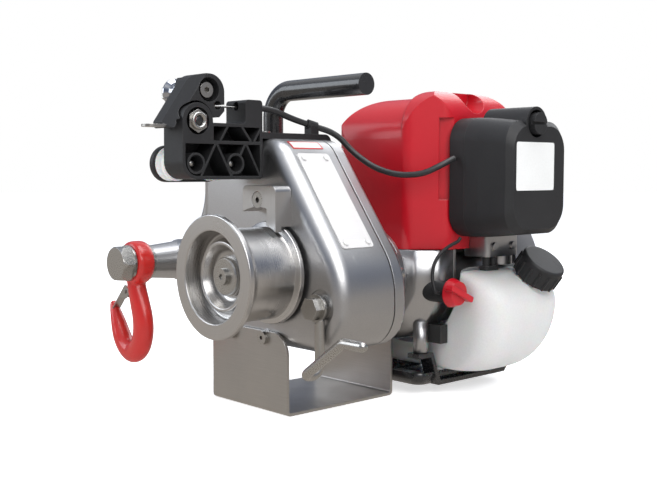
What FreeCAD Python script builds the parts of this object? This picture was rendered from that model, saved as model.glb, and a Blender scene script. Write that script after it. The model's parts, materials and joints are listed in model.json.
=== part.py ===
import FreeCAD, Part
import math
import os

# Petrol capstan winch. Millimetres, +Z up, drum at -Y, engine at +Y.
# The origin lies on the underside of the stand, below the drum axis and midway along the stand.

V = FreeCAD.Vector
X_AXIS = V(1, 0, 0)
Y_AXIS = V(0, 1, 0)
Z_AXIS = V(0, 0, 1)
FULL_TURN = 360.0
FULL_TURN_RADIANS = 2 * math.pi
HEX_SIDES = 6

# Shared clearances
OVERRUN = 2.0
TOUCHING = 0.001
RUN_CLEARANCE = 0.05
FREE_CLEARANCE = 0.35
SOCKET_SHARE = 1.1
SOCKET_DEPTH_SHARE = 0.6
BEND_RUN_SHARE = 0.45

# Main axes
AXIS_HEIGHT = 115.0
ENGINE_AXIS_X = 5.0
ENGINE_AXIS_DROP = 10.0

# Stand: one folded sheet
STAND_WIDTH = 100.0
STAND_CENTRE_X = -30.0
STAND_DEPTH = 121.0
STAND_SHEET = 2.5
STAND_FRONT_DROP = 48.5
STAND_REAR_DROP = 47.0
STAND_BEND_RADIUS = 4.0
STAND_CORNER_RADIUS = 18.0
STAND_SCREW_SPACING = 42.0
STAND_SCREW_DROP = 54.0
STAND_REAR_SCREWS = (-69.0, -47.0)
STAND_REAR_SCREW_DROP = 55.0
STAND_SCREW_RADIUS = 3.0
STAND_HEAD_RADIUS = 5.5
STAND_HEAD_HEIGHT = 3.2
STAND_SCREW_LENGTH = 12.0
STAND_POST_RADIUS = 6.8

# Gear housing
HOUSING_FRONT_GAP = 1.0
HOUSING_DEPTH = 58.0
HOUSING_WALL = 6.0
HOUSING_FRONT_WALL = 8.0
HOUSING_FRONT_ROUND = 12.0
HOUSING_TOP_RISE = 108.0
HOUSING_BOTTOM_DROP = 61.0
HOUSING_LEFT = -102.0
HOUSING_RIGHT = 79.0
SLANT_TOP_X = 0.7
SLANT_BOTTOM_RISE = 2.6
TOP_LEFT_RADIUS = 18.0
TOP_RIGHT_RADIUS = 28.0
SLANT_RADIUS = 64.0
LOW_RIGHT_RADIUS = 34.0
LOW_LEFT_RADIUS = 46.0
GASKET_THICKNESS = 1.4
GASKET_INSET = 1.6
COVER_DEPTH = 13.0
COVER_ROUND = 4.0
COVER_SCREW_RADIUS = 3.0
COVER_HEAD_RADIUS = 5.0
COVER_HEAD_HEIGHT = 5.0
COVER_SCREW_LENGTH = 26.0
COVER_BOSS_RADIUS = 7.5
COVER_BOSS_INSET = 9.0

# Hook arm of the housing and the hook
HOOK_AXIS_X = -150.0
ARM_RADIUS = 19.0
ARM_DEPTH = 34.0
ARM_SETBACK = 1.5
ARM_ROUND = 8.0
ARM_UPPER_RADIUS = 56.0
ARM_LOWER_RADIUS = 14.0
ARM_BOSS_LENGTH = 25.0
ARM_BOSS_RADIUS = 14.5
HOOK_BOLT_RADIUS = 9.0
HOOK_HEAD_ACROSS = 29.0
HOOK_HEAD_HEIGHT = 11.0
HOOK_WASHER_RADIUS = 16.0
HOOK_WASHER_THICKNESS = 2.5
HOOK_THICKNESS = 17.0
HOOK_EYE_OUTER = 19.5
HOOK_EYE_INNER = 9.05
HOOK_BOWL_RADIUS = 17.0
HOOK_BOWL_DROP = 65.0
HOOK_BOWL_SHIFT = -10.0
HOOK_SHANK_WIDTH = 15.0
HOOK_BACK_WIDTH = 18.0
HOOK_TIP_WIDTH = 9.0
HOOK_TIP_HEIGHT = 17.0
HOOK_TIP_LEAN = 5.0
HOOK_ROUND_SHARE = 0.3
LATCH_GAP = 2.2
LATCH_EAR_SHARE = 0.45
LATCH_SHEET = 1.2
LATCH_WIDTH = 8.0
LATCH_PIN_RADIUS = 1.8
LATCH_PIN_DROP = 27.0
LATCH_PIN_SHIFT = -14.0

# Drum
DRUM_LENGTH = 59.0
FLANGE_RADIUS = 48.5
FLANGE_RIM = 2.2
FLANGE_CONE_LENGTH = 9.0
BARREL_RADIUS = 38.0
BARREL_WAIST_RADIUS = 37.0
RING_RADIUS = 41.5
RING_WIDTH = 4.0
RECESS_RADIUS = 36.0
RECESS_DEPTH = 20.0
GROOVE_OUTER_RADIUS = 34.0
GROOVE_INNER_RADIUS = 29.5
GROOVE_DEPTH = 16.0
GROOVE_ROUND = 2.0
INNER_RING_OUTER_RADIUS = 27.5
INNER_RING_INNER_RADIUS = 25.0
INNER_RING_DEPTH = 9.0
INNER_RING_ROUND = 1.0
DISH_ROUND = 5.0
FLANGE_EDGE_ROUND = 1.0
BARREL_FLARE = 10.0
DRUM_WALL = 5.0
DRUM_HUB_RADIUS = 16.0
NOSE_RADIUS = 25.0
NOSE_LENGTH = 24.0
DRUM_CAP_RADIUS = 15.0
DRUM_CAP_THICKNESS = 4.0
DRUM_SCREW_RADIUS = 4.0
DRUM_SCREW_HEAD_RADIUS = 6.5
DRUM_SCREW_HEAD_HEIGHT = 3.0
DRUM_SCREW_LENGTH = 24.0
SHAFT_RADIUS = 10.0

# Gear train: input pinion, shaft A, shaft B and output gear, all on axes along Y
SHAFT_A_X = -30.0
FIRST_MODULE = 1.25
FIRST_PINION_TEETH = 14
FIRST_GEAR_TEETH = 84
SECOND_MODULE = 1.5
SECOND_PINION_TEETH = 12
SECOND_GEAR_TEETH = 48
THIRD_MODULE = 2.0
THIRD_PINION_TEETH = 12
OUTPUT_GEAR_TEETH = 40
ADDENDUM_SHARE = 0.85
DEDENDUM_SHARE = 1.2
TOOTH_TIP_SHARE = 0.10
TOOTH_PITCH_SHARE = 0.20
TOOTH_ROOT_SHARE = 0.27
GEAR_SPACING = 2.0
OUTPUT_GEAR_WIDTH = 11.0
SECOND_GEAR_WIDTH = 10.0
FIRST_GEAR_WIDTH = 7.0
PINION_EXTRA_WIDTH = 0.6
LAY_SHAFT_RADIUS = 6.0
INPUT_SHAFT_RADIUS = 7.0
BEARING_WALL = 7.0
BEARING_WIDTH = 8.0
DRUM_BEARING_WALL = 9.0
DRUM_BEARING_WIDTH = 10.0
BEARING_BOSS_WALL = 4.0
BEARING_PLATE_THICKNESS = 6.0
PLATE_POST_RADIUS = 6.0
PLATE_POST_PLACES = ((-82.0, 81.0), (50.0, 19.0), (-58.0, -45.0))
PLATE_SCREW_RADIUS = 2.5
PLATE_SCREW_LENGTH = 14.0
PLATE_HEAD_RADIUS = 4.2
PLATE_HEAD_HEIGHT = 2.2

# Clutch between the engine and the gear housing
BELL_RADIUS = 44.0
BELL_WALL = 3.5
BELL_END_RADIUS = 31.5
BELL_CONE_LENGTH = 15.0
BELL_FLANGE_RADIUS = 53.0
BELL_FLANGE_THICKNESS = 5.0
BELL_WINDOW_WIDTH = 18.0
BELL_WINDOW_HEIGHT = 20.0
BELL_WINDOW_COUNT = 4
BELL_SCREW_COUNT = 4
BELL_SCREW_RADIUS = 2.5
BELL_SCREW_LENGTH = 9.5
BELL_SCREW_SHARE = 0.5
BELL_SCREW_CIRCLE = 54.0
BELL_EAR_RADIUS = 6.5
BELL_SCREW_HEAD_RADIUS = 4.2
BELL_SCREW_HEAD_HEIGHT = 4.0
CLUTCH_DRUM_RADIUS = 39.0
CLUTCH_DRUM_WALL = 3.0
CLUTCH_DRUM_DEPTH = 20.0
CLUTCH_WEB = 3.5
SHOE_RADIUS = 34.5
SHOE_INNER_RADIUS = 15.5
SHOE_PIN_REACH = 24.0
SHOE_PIN_RADIUS = 2.5
SHOE_WIDTH = 12.0
SHOE_SLIT = 5.0
SHOE_HUB_RADIUS = 11.0

# Bolted rope guides on the housing face
EXIT_LEFT = -20.0
EXIT_RIGHT = 21.5
EXIT_TOP_RISE = 70.0
EXIT_DEPTH = 16.0
EXIT_FINGER_WIDTH = 11.0
EXIT_FINGER_DEPTH = 6.0
EXIT_GAP = 2.0
EXIT_CORNER_RADIUS = 5.0
EXIT_ARC_RADIUS = 53.0
EXIT_SCREW_X = -1.5
EXIT_SCREW_RISE = 58.6
EXIT_SCREW_RADIUS = 4.0
EXIT_HEAD_RADIUS = 6.5
EXIT_HEAD_DEPTH = 7.0
EXIT_SCREW_LENGTH = 18.0
ENTRY_BOLT_X = 56.0
ENTRY_BOLT_DROP = 23.5
ENTRY_POCKET_RADIUS = 14.0
ENTRY_POCKET_DEPTH = 2.0
ENTRY_EYE_RADIUS = 10.0
ENTRY_EYE_THICKNESS = 5.0
ENTRY_ROD_RADIUS = 3.9
ENTRY_BEND_RADIUS = 8.0
ENTRY_LEG_X = 60.0
ENTRY_LOOP_DEPTH = 17.0
ENTRY_LOOP_DROP = 74.0
ENTRY_RISE_X = 104.0
ENTRY_TIP_DROP = 42.5
ENTRY_TIP_X = 124.0
ENTRY_BOLT_RADIUS = 5.0
ENTRY_BOLT_HEAD_ACROSS = 16.0
ENTRY_BOLT_HEAD_HEIGHT = 7.0
ENTRY_WASHER_RADIUS = 11.0
ENTRY_WASHER_THICKNESS = 2.0
ENTRY_BOLT_LENGTH = 18.0

# Name plate, left bare, on the slanted wall
PLATE_WIDTH = 34.0
PLATE_LENGTH = 92.0
PLATE_THICKNESS = 1.0
PLATE_CENTRE_Y = -25.0
PLATE_DOWN_SHARE = 0.47
PLATE_CORNER_RADIUS = 3.0
RIVET_RADIUS = 2.6
RIVET_HEIGHT = 1.4
RIVET_INSET = 5.0

# Throttle bracket above the drum, with its wear rollers and cam lever
BRACKET_RIGHT = -14.0
BRACKET_DEPTH = 26.0
BRACKET_WEB = 5.0
BRACKET_BOTTOM_DROP = 45.0
BRACKET_TOP_DROP = 1.0
BRACKET_FRONT = -134.5
BRACKET_REAR = -57.0
BRACKET_CORNER_RADIUS = 14.0
PIVOT_Y = -120.0
PIVOT_RISE = 12.0
ARCH_RADIUS = 14.0
STOP_FRONT = -74.0
STOP_RISE = 18.5
STOP_RADIUS = 3.0
RIB = 1.8
BRACKET_WALL = 2.6
MID_RIB_DROP = 16.1
BRACKET_NECK_Y = -105.5
STUD_Y = -122.0
STUD_SPACING = 38.0
STUD_DROP = 32.7
STUD_RADIUS = 2.6
STUD_BOSS_RADIUS = 8.3
STUD_HEAD_RADIUS = 5.0
STUD_HEAD_HEIGHT = 3.0
LOWER_RIB_SHARES = ((0.20, 0.0), (0.40, 1.0), (0.60, 0.0), (0.80, 1.0), (1.0, 0.0))
UPPER_RIB_SHARES = (((0.14, 0.0), (0.30, 1.0)), ((0.61, 1.0), (0.80, 0.0)), ((0.87, 0.0), (1.03, 1.0)))
PIVOT_BOLT_RADIUS = 5.0
PIVOT_NUT_ACROSS = 16.0
PIVOT_NUT_HEIGHT = 8.0
PIVOT_BOLT_SETBACK = 2.0
NUT_RECESS_RADIUS = 10.5
ROLLER_RADIUS = 17.0
ROLLER_GROOVE_RADIUS = 14.0
ROLLER_WIDTH = 11.0
ROLLER_FLANGE = 2.5
REAR_PLATE_THICKNESS = 7.0
REAR_PLATE_RADIUS = 18.0
CAM_CLEARANCE = 1.6
CAM_ARM_ROUND = 2.2
CAM_RIGHT_INSET = 2.0
CAM_REAR = -93.5
CAM_RISE = 37.0
CAM_TOP_RADIUS = 14.0
CAM_NOSE_Y = -117.0
CAM_NOSE_RADIUS = 14.0
CAM_ARM_Y = -144.0
CAM_ARM_DROP = 1.0
CAM_TIP_Y = -141.5
CAM_TIP_DROP = 12.0
CAM_INNER_Y = -137.5
CAM_INNER_RISE = 1.0
CAM_HEEL_Y = -104.0
CAM_HEEL_RISE = 3.5
CAM_BEVEL = 5.2
CAM_BEVEL_DEPTH = 12.0
CAM_CHEEK = 5.0
CAM_CHEEK_RADIUS = 10.5
SPOOL_Y = -108.0
SPOOL_DROP = 12.5
SPOOL_BOLT_RADIUS = 4.0
SPOOL_HEAD_RADIUS = 6.0
SPOOL_HEAD_HEIGHT = 7.0
SPOOL_RECESS_RADIUS = 9.5
SPOOL_RECESS_DEPTH = 10.0
SPOOL_RADIUS = 8.5
SPOOL_FLANGE_RADIUS = 11.5
SPOOL_WIDTH = 20.0
SPOOL_FLANGE = 3.0
SPOOL_HUB_LENGTH = 6.0
TAB_LENGTH = 15.0
TAB_ROUND = 6.0
TAB_THICKNESS = 2.0
TAB_WIDTH = 14.0
TAB_PLACE = 10.0
TAB_GRIP = 4.0
WIRE_RADIUS = 0.8
WIRE_Y = -100.0
WIRE_RISE = 12.7
NIPPLE_RADIUS = 3.0
NIPPLE_LENGTH = 7.0
NIPPLE_CLEARANCE = 0.4
WIRE_REACH = 38.0
WIRE_SLIT = 4.2
WIRE_BORE_RADIUS = 3.6

# Handle and cable clip on top of the housing
HANDLE_RADIUS = 9.0
HANDLE_WALL = 2.0
HANDLE_Y = 6.0
HANDLE_RISE = 44.0
HANDLE_END_X = 42.0
HANDLE_LEG_X = -77.5
HANDLE_BEND_RADIUS = 24.0
HANDLE_PLUG_LENGTH = 12.0
HANDLE_PLUG_LIP = 2.0
FOOT_LENGTH = 26.0
FOOT_WIDTH = 24.0
FOOT_THICKNESS = 5.0
FOOT_SCREW_RADIUS = 3.0
FOOT_HEAD_RADIUS = 5.0
FOOT_HEAD_HEIGHT = 3.5
FOOT_SCREW_LENGTH = 5.8
FOOT_SCREW_OFFSET = 8.0
FOOT_SCREW_DROP = 4.0
STRAP_WIDTH = 20.0
STRAP_CENTRE_X = -26.0
STRAP_THICKNESS = 5.0
STRAP_DROP = 24.0
STRAP_BEND_RADIUS = 7.0
CLIP_INDEX = 3
CLIP_WIDTH = 9.0
CLIP_SHEET = 1.2
CABLE_RADIUS = 2.6
CABLE_ROUTE = (
    (-27.0, -57.0, 248.6), (-27.0, -36.0, 247.5), (-25.0, -16.0, 240.5), (-21.0, 2.0, 235.5),
    (-11.5, 22.0, 229.0), (-2.0, 34.0, 212.0), (16.0, 42.0, 199.0), (36.0, 50.0, 193.0),
    (54.0, 61.0, 194.0), (65.0, 73.0, 202.0), (68.5, 84.2, 207.5),
)

# Engine
ENGINE_DEPTH = 160.0
FAN_COVER_DEPTH = 34.0
FAN_COVER_WALL = 3.0
FAN_OPENING_RADIUS = 26.0
FLYWHEEL_RADIUS = 43.0
FLYWHEEL_SETBACK = 6.5
FLYWHEEL_WIDTH = 6.0
FAN_BLADE_COUNT = 14
FAN_BLADE_HEIGHT = 10.0
FAN_BLADE_THICKNESS = 2.2
FAN_BLADE_INNER_RADIUS = 19.0
FAN_BLADE_OUTER_RADIUS = 33.0
CRANK_RADIUS = 8.0
CRANK_REACH = 32.0
CASE_LEFT = -46.0
CASE_RIGHT = 52.0
CASE_BOTTOM_DROP = 43.0
CASE_TOP_RISE = 23.6
CASE_DEPTH = 84.0
CASE_CORNER_RADIUS = 22.0
CYLINDER_LEFT = -34.0
CYLINDER_RIGHT = 44.0
CYLINDER_FRONT_GAP = 10.0
CYLINDER_DEPTH = 58.0
CYLINDER_TOP_RISE = 131.0
FIN_COUNT = 9
FIN_THICKNESS = 2.4
FIN_DEPTH = 5.0
SHROUD_LEFT = -56.0
SHROUD_RIGHT = 60.0
SHROUD_BOTTOM_RISE = 24.0
SHROUD_DEPTH = 112.0
SHROUD_WALL = 2.6
SHROUD_FRONT_GAP = 1.5
SHROUD_CHAMFER = 26.0
SHROUD_CORNER_RADIUS = 14.0
FRONT_HUMP_RISE = 156.0
FRONT_HUMP_RADIUS = 36.0
FRONT_HUMP_SIDE_RADIUS = 44.0
REAR_HUMP_RISE = 161.0
REAR_HUMP_LEFT = 28.0
REAR_HUMP_RADIUS = 34.0
REAR_HUMP_SIDE_RADIUS = 24.0
REAR_HUMP_EDGE_RADIUS = 7.0
HUMP_BACK_RADIUS = 30.0
SHROUD_NOTCH_WIDTH = 9.0
SHROUD_NOTCH_DEPTH = 4.0
SHROUD_NOTCH_RISE = 67.0
SCOOP_RADIUS = 15.0
SCOOP_LIFT = 26.0
SCOOP_LENGTH = 24.0
CLEANER_GAP = 1.0
CLEANER_BASE_DEPTH = 16.0
CLEANER_COVER_DEPTH = 46.0
CLEANER_FRONT_Y = 87.0
CLEANER_LENGTH = 86.0
CLEANER_BOTTOM_RISE = 35.0
CLEANER_TOP_RISE = 137.0
CLEANER_CORNER_RADIUS = 20.0
CLEANER_TAPER = 7.0
CLEANER_WALL = 2.6
CLEANER_SHARES = ((0.0, 0.0), (0.3, 0.1), (0.88, 0.5), (1.0, 1.15))
CLEANER_SLOT_SHARES = (0.2, 0.5)
CLEANER_SLOT = 2.5
KNOB_RADIUS = 9.0
KNOB_DEPTH = 12.0
KNOB_DROP = 6.0
KNOB_ALONG_SHARE = 0.44
KNOB_POCKET_RADIUS = 11.5
KNOB_POCKET_DEPTH = 8.0
KNOB_SLOT = 2.4
KNOB_SLOT_DEPTH = 3.0
KNOB_SCREW_RADIUS = 3.0
FILTER_INSET = 8.0
FILTER_GAP = 1.0
FILTER_THICKNESS = 20.0
CARB_LENGTH = 22.0
CARB_WIDTH = 44.0
CARB_HEIGHT = 18.0
CARB_CENTRE_Y = 138.0
CARB_ROUND = 4.0
CARB_BOWL_SHIFT = 9.0
CARB_SCREW_OFFSET = 13.0
CARB_SCREW_HEIGHT = 2.0
CARB_SCREW_RADIUS = 3.5
CARB_BORE_RADIUS = 9.0
CARB_BOWL_RADIUS = 11.0
CARB_BOWL_HEIGHT = 8.0
TANK_FRONT_Y = 92.0
TANK_LENGTH = 98.0
TANK_BOTTOM_DROP = 83.0
TANK_RIGHT = 110.0
TANK_LEFT = -64.0
TANK_TOP_RISE = 5.0
TANK_SADDLE_GAP = 5.5
TANK_BOTTOM_RADIUS = 46.0
TANK_SHOULDER_DROP = 11.0
TANK_SHOULDER = 14.0
TANK_ROUND = 9.0
TANK_INNER_X = 62.0
TANK_LEFT_DROP = 41.0
TANK_LEFT_RADIUS = 34.0
TANK_WALL = 2.5
TANK_FRONT_CORNER_RADIUS = 44.0
TANK_BACK_CORNER_RADIUS = 40.0
TANK_INNER_CORNER_RADIUS = 12.0
TANK_BACK_LOW_RADIUS = 42.0
TANK_FRONT_LOW_RADIUS = 12.0
TANK_HIGH_RADIUS = 8.0
CAP_RADIUS = 20.0
CAP_HEIGHT = 19.0
CAP_WALL = 2.5
CAP_RIB_COUNT = 14
CAP_RIB = 1.3
CAP_TILT = 38.0
CAP_Y = 160.0
CAP_SEAT_X = 92.0
CAP_SEAT_DROP = 7.0
CAP_LIFT = 8.0
NECK_SINK = 8.0
NECK_RADIUS = 15.0
NECK_BORE_RADIUS = 11.5
NECK_LENGTH = 20.0
SKID_SHEET = 4.0
SKID_STRAP = 14.0
SKID_DROP = 93.0
SKID_TAB_LENGTH = 18.0
SKID_TAB_FRONT_Y = 67.0
SKID_FLAT_FRONT_Y = 95.0
SKID_FLAT_LENGTH = 89.0
SKID_TIP_LENGTH = 12.0
SKID_TIP_RISE = 14.0
GUARD_POST_RADIUS = 6.5
GUARD_POST_OFFSET = 34.0
GUARD_POST_Y = 76.0
GUARD_POST_DROP = 67.0
MUFFLER_DEPTH = 40.0
MUFFLER_GAP = 10.0
MUFFLER_LENGTH = 74.0
MUFFLER_BOTTOM_RISE = 33.0
MUFFLER_TOP_RISE = 109.0
MUFFLER_WALL = 2.0
MUFFLER_ROUND = 12.0
MUFFLER_GUARD = 2.0
MUFFLER_GUARD_GAP = 5.0
MUFFLER_POST_RADIUS = 3.0
GUARD_SLOT_COUNT = 5
GUARD_SLOT = 6.0
EXHAUST_RADIUS = 11.0
RECOIL_RADIUS = 62.0
RECOIL_WALL = 3.0
RECOIL_ROUND = 12.0
RECOIL_SLOT_COUNT = 18
RECOIL_SLOT_WIDTH = 4.0
RECOIL_SLOT_INNER = 24.0
RECOIL_SLOT_OUTER = 46.0
REEL_RADIUS = 34.0
REEL_WIDTH = 12.0
REEL_HUB_RADIUS = 9.0
REEL_GROOVE = 4.0
GRIP_LENGTH = 44.0
GRIP_RADIUS = 8.0
GRIP_RISE = 24.0
GRIP_GAP = 2.0
ROPE_RADIUS = 1.9
EYELET_RADIUS = 7.0
EYELET_HEIGHT = 9.0
SWITCH_Y = 76.0
SWITCH_DROP = 11.0
SWITCH_FACE_X = 74.0
SWITCH_BODY_RADIUS = 9.5
SWITCH_KNOB_RADIUS = 12.5
SWITCH_KNOB_TOP_RADIUS = 10.0
SWITCH_KNOB_LENGTH = 8.0
SWITCH_WING_LENGTH = 30.0
SWITCH_SPINDLE_RADIUS = 3.0
SWITCH_SPINDLE_LENGTH = 6.0
SWITCH_WING = 5.0
SWITCH_WING_HEIGHT = 4.0
SWITCH_WING_TILT = 25.0
FUEL_TUBE_RADIUS = 3.2
FUEL_TUBE_SPACING = 9.0
GROMMET_RADIUS = 9.5
GROMMET_HEIGHT = 4.0
GROMMET_X = 74.0
GROMMET_Y = 126.0
SWITCH_LEAD_RADIUS = 1.5
SWITCH_LEAD_ROUTE = (
    (69.0, 66.2, 94.0), (68.5, 61.5, 95.0), (64.5, 61.5, 107.0), (64.5, 63.5, 118.0),
    (66.0, 69.6, 127.0), (66.0, 82.0, 133.0), (67.5, 92.0, 136.5), (68.0, 94.0, 139.7),
)
PLUG_CAP_RADIUS = 11.0
PLUG_CAP_LENGTH = 20.0
PLUG_CAP_SHARE = 0.7
PLUG_NUT_HEIGHT = 6.0
TANK_CUSHION_X = 40.0
TANK_CUSHION_DROP = 50.0
TANK_CUSHION_LENGTH = 9.0
TANK_CUSHION_WIDTH = 16.0
TANK_CUSHION_THICKNESS = 8.0

# Places worked out from the sizes above
ENGINE_AXIS_Z = AXIS_HEIGHT - ENGINE_AXIS_DROP
STAND_FRONT_HEIGHT = AXIS_HEIGHT - STAND_FRONT_DROP
STAND_REAR_HEIGHT = AXIS_HEIGHT - STAND_REAR_DROP
STAND_SCREW_HEIGHT = AXIS_HEIGHT - STAND_SCREW_DROP
STAND_REAR_SCREW_HEIGHT = AXIS_HEIGHT - STAND_REAR_SCREW_DROP
HOUSING_TOP = AXIS_HEIGHT + HOUSING_TOP_RISE
HOUSING_BOTTOM = AXIS_HEIGHT - HOUSING_BOTTOM_DROP
SLANT_BOTTOM_Z = AXIS_HEIGHT + SLANT_BOTTOM_RISE
EXIT_TOP = AXIS_HEIGHT + EXIT_TOP_RISE
EXIT_SCREW_Z = AXIS_HEIGHT + EXIT_SCREW_RISE
ENTRY_BOLT_Z = AXIS_HEIGHT - ENTRY_BOLT_DROP
ENTRY_LOOP_BOTTOM = AXIS_HEIGHT - ENTRY_LOOP_DROP
ENTRY_TIP_Z = AXIS_HEIGHT - ENTRY_TIP_DROP
PIVOT_Z = HOUSING_TOP + PIVOT_RISE
BRACKET_BOTTOM = PIVOT_Z - BRACKET_BOTTOM_DROP
BRACKET_TOP = PIVOT_Z - BRACKET_TOP_DROP
STOP_TOP = PIVOT_Z + STOP_RISE
MID_RIB_Z = PIVOT_Z - MID_RIB_DROP
STUD_Z = PIVOT_Z - STUD_DROP
CAM_TOP = PIVOT_Z + CAM_RISE
CAM_ARM_Z = PIVOT_Z - CAM_ARM_DROP
CAM_TIP_Z = PIVOT_Z - CAM_TIP_DROP
CAM_INNER_Z = PIVOT_Z + CAM_INNER_RISE
CAM_HEEL_Z = PIVOT_Z + CAM_HEEL_RISE
SPOOL_Z = CAM_TOP - SPOOL_DROP
WIRE_Z = PIVOT_Z + WIRE_RISE
HANDLE_Z = HOUSING_TOP + HANDLE_RISE
CASE_BOTTOM = ENGINE_AXIS_Z - CASE_BOTTOM_DROP
CASE_TOP = ENGINE_AXIS_Z + CASE_TOP_RISE
CYLINDER_TOP = ENGINE_AXIS_Z + CYLINDER_TOP_RISE
SHROUD_BOTTOM = ENGINE_AXIS_Z + SHROUD_BOTTOM_RISE
FRONT_HUMP_TOP = ENGINE_AXIS_Z + FRONT_HUMP_RISE
REAR_HUMP_TOP = ENGINE_AXIS_Z + REAR_HUMP_RISE
SHROUD_NOTCH_Z = ENGINE_AXIS_Z + SHROUD_NOTCH_RISE
CLEANER_BOTTOM = ENGINE_AXIS_Z + CLEANER_BOTTOM_RISE
CLEANER_TOP = ENGINE_AXIS_Z + CLEANER_TOP_RISE
TANK_BOTTOM = ENGINE_AXIS_Z - TANK_BOTTOM_DROP
TANK_TOP = ENGINE_AXIS_Z + TANK_TOP_RISE
TANK_SHOULDER_Z = ENGINE_AXIS_Z - TANK_SHOULDER_DROP
TANK_LEFT_TOP = ENGINE_AXIS_Z - TANK_LEFT_DROP
CAP_SEAT_Z = ENGINE_AXIS_Z - CAP_SEAT_DROP
SKID_TOP = ENGINE_AXIS_Z - SKID_DROP
GUARD_POST_TOP = ENGINE_AXIS_Z - GUARD_POST_DROP
MUFFLER_BOTTOM = ENGINE_AXIS_Z + MUFFLER_BOTTOM_RISE
MUFFLER_TOP = ENGINE_AXIS_Z + MUFFLER_TOP_RISE
SWITCH_Z = ENGINE_AXIS_Z - SWITCH_DROP
TANK_CUSHION_Z = ENGINE_AXIS_Z - TANK_CUSHION_DROP
STAND_FRONT_Y = -STAND_DEPTH / 2
STAND_REAR_Y = STAND_DEPTH / 2
HOUSING_FRONT_Y = STAND_FRONT_Y + STAND_SHEET + HOUSING_FRONT_GAP
HOUSING_REAR_Y = HOUSING_FRONT_Y + HOUSING_DEPTH
COVER_FRONT_Y = HOUSING_REAR_Y + GASKET_THICKNESS
COVER_REAR_Y = COVER_FRONT_Y + COVER_DEPTH
PLATE_SEAT_Y = STAND_REAR_Y - STAND_SHEET
ENGINE_FRONT_Y = STAND_REAR_Y
ENGINE_REAR_Y = ENGINE_FRONT_Y + ENGINE_DEPTH
DRUM_REAR_Y = STAND_FRONT_Y + HOUSING_FRONT_GAP / 2
DRUM_FRONT_Y = DRUM_REAR_Y - DRUM_LENGTH
HOUSING_INNER_Y = HOUSING_FRONT_Y + HOUSING_FRONT_WALL
OUTPUT_GEAR_Y = HOUSING_INNER_Y + BEARING_WIDTH
SECOND_GEAR_Y = OUTPUT_GEAR_Y + OUTPUT_GEAR_WIDTH + GEAR_SPACING
BEARING_PLATE_Y = SECOND_GEAR_Y + SECOND_GEAR_WIDTH + GEAR_SPACING
FIRST_GEAR_Y = BEARING_PLATE_Y + BEARING_PLATE_THICKNESS + GEAR_SPACING
FIRST_CENTRES = FIRST_MODULE * (FIRST_PINION_TEETH + FIRST_GEAR_TEETH) / 2
SECOND_CENTRES = SECOND_MODULE * (SECOND_PINION_TEETH + SECOND_GEAR_TEETH) / 2
THIRD_CENTRES = THIRD_MODULE * (THIRD_PINION_TEETH + OUTPUT_GEAR_TEETH) / 2
HOOK_CENTRE_Y = HOUSING_FRONT_Y - ARM_BOSS_LENGTH - HOOK_WASHER_THICKNESS - HOOK_THICKNESS / 2


def circle_meeting(first, first_reach, second, second_reach):
    """Return the left-hand point that lies at the two given reaches from two points in the XZ plane."""
    gap = second - first
    span = gap.Length
    along = (first_reach ** 2 - second_reach ** 2 + span ** 2) / (2 * span)
    across = math.sqrt(first_reach ** 2 - along ** 2)
    unit = gap / span
    side = V(unit.z, 0, -unit.x)
    options = [first + unit * along + side * across, first + unit * along - side * across]
    return min(options, key=lambda point: point.x)


DRUM_AXIS = V(0, 0, AXIS_HEIGHT)
ENGINE_AXIS = V(ENGINE_AXIS_X, 0, ENGINE_AXIS_Z)
SHAFT_A_RISE = math.sqrt(FIRST_CENTRES ** 2 - (ENGINE_AXIS_X - SHAFT_A_X) ** 2)
SHAFT_A = V(SHAFT_A_X, 0, ENGINE_AXIS_Z + SHAFT_A_RISE)
SHAFT_B = circle_meeting(DRUM_AXIS, THIRD_CENTRES, SHAFT_A, SECOND_CENTRES)
HOOK_AXIS = V(HOOK_AXIS_X, 0, AXIS_HEIGHT)


def corner(before, point, after, radius):
    """Return the start, middle and end of the arc that rounds a corner."""
    towards = (before - point).normalize()
    away = (after - point).normalize()
    half = towards.getAngle(away) / 2
    reach = radius / math.tan(half)
    bisector = (towards + away).normalize()
    middle = point + bisector * (radius / math.sin(half) - radius)
    return point + towards * reach, middle, point + away * reach


def rounded_wire(points, radii, closed=True):
    """Return straight runs through the points, joined by tangent arcs."""
    count = len(points)
    stops = []
    for index, point in enumerate(points):
        ends = not closed and index in (0, count - 1)
        if ends or not radii[index]:
            stops.append((point, None, point))
        else:
            stops.append(corner(points[index - 1], point, points[(index + 1) % count], radii[index]))
    edges = []
    for index, (start, middle, end) in enumerate(stops):
        if middle is not None:
            edges.append(Part.Arc(start, middle, end).toShape())
        following = stops[(index + 1) % count][0]
        last = index == count - 1
        if (not last or closed) and (following - end).Length > TOUCHING:
            edges.append(Part.LineSegment(end, following).toShape())
    return Part.Wire(edges)


def slab(points, radii, sweep):
    """Return a flat outline with rounded corners, pushed along a sweep."""
    return Part.Face(rounded_wire(points, radii)).extrude(sweep)


def in_xz(pairs, y):
    """Return points of an outline that faces -Y."""
    return [V(x, y, z) for x, z in pairs]


def in_yz(pairs, x):
    """Return points of an outline that faces X."""
    return [V(x, y, z) for y, z in pairs]


def in_xy(pairs, z):
    """Return points of an outline that faces Z."""
    return [V(x, y, z) for x, y in pairs]


def alike(points, radius):
    """Return one radius for every corner."""
    return [radius] * len(points)


def box(low, high):
    """Return a block between two corners."""
    size = high - low
    return Part.makeBox(size.x, size.y, size.z, low)


def along_y(axis, start, end, radius):
    """Return a round bar along Y."""
    return Part.makeCylinder(radius, end - start, V(axis.x, start, axis.z), Y_AXIS)


def ring_y(axis, start, end, outer, inner):
    """Return a round ring along Y."""
    return along_y(axis, start, end, outer).cut(along_y(axis, start - OVERRUN, end + OVERRUN, inner))


def along_x(y, z, start, end, radius):
    """Return a round bar along X."""
    return Part.makeCylinder(radius, end - start, V(start, y, z), X_AXIS)


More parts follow.
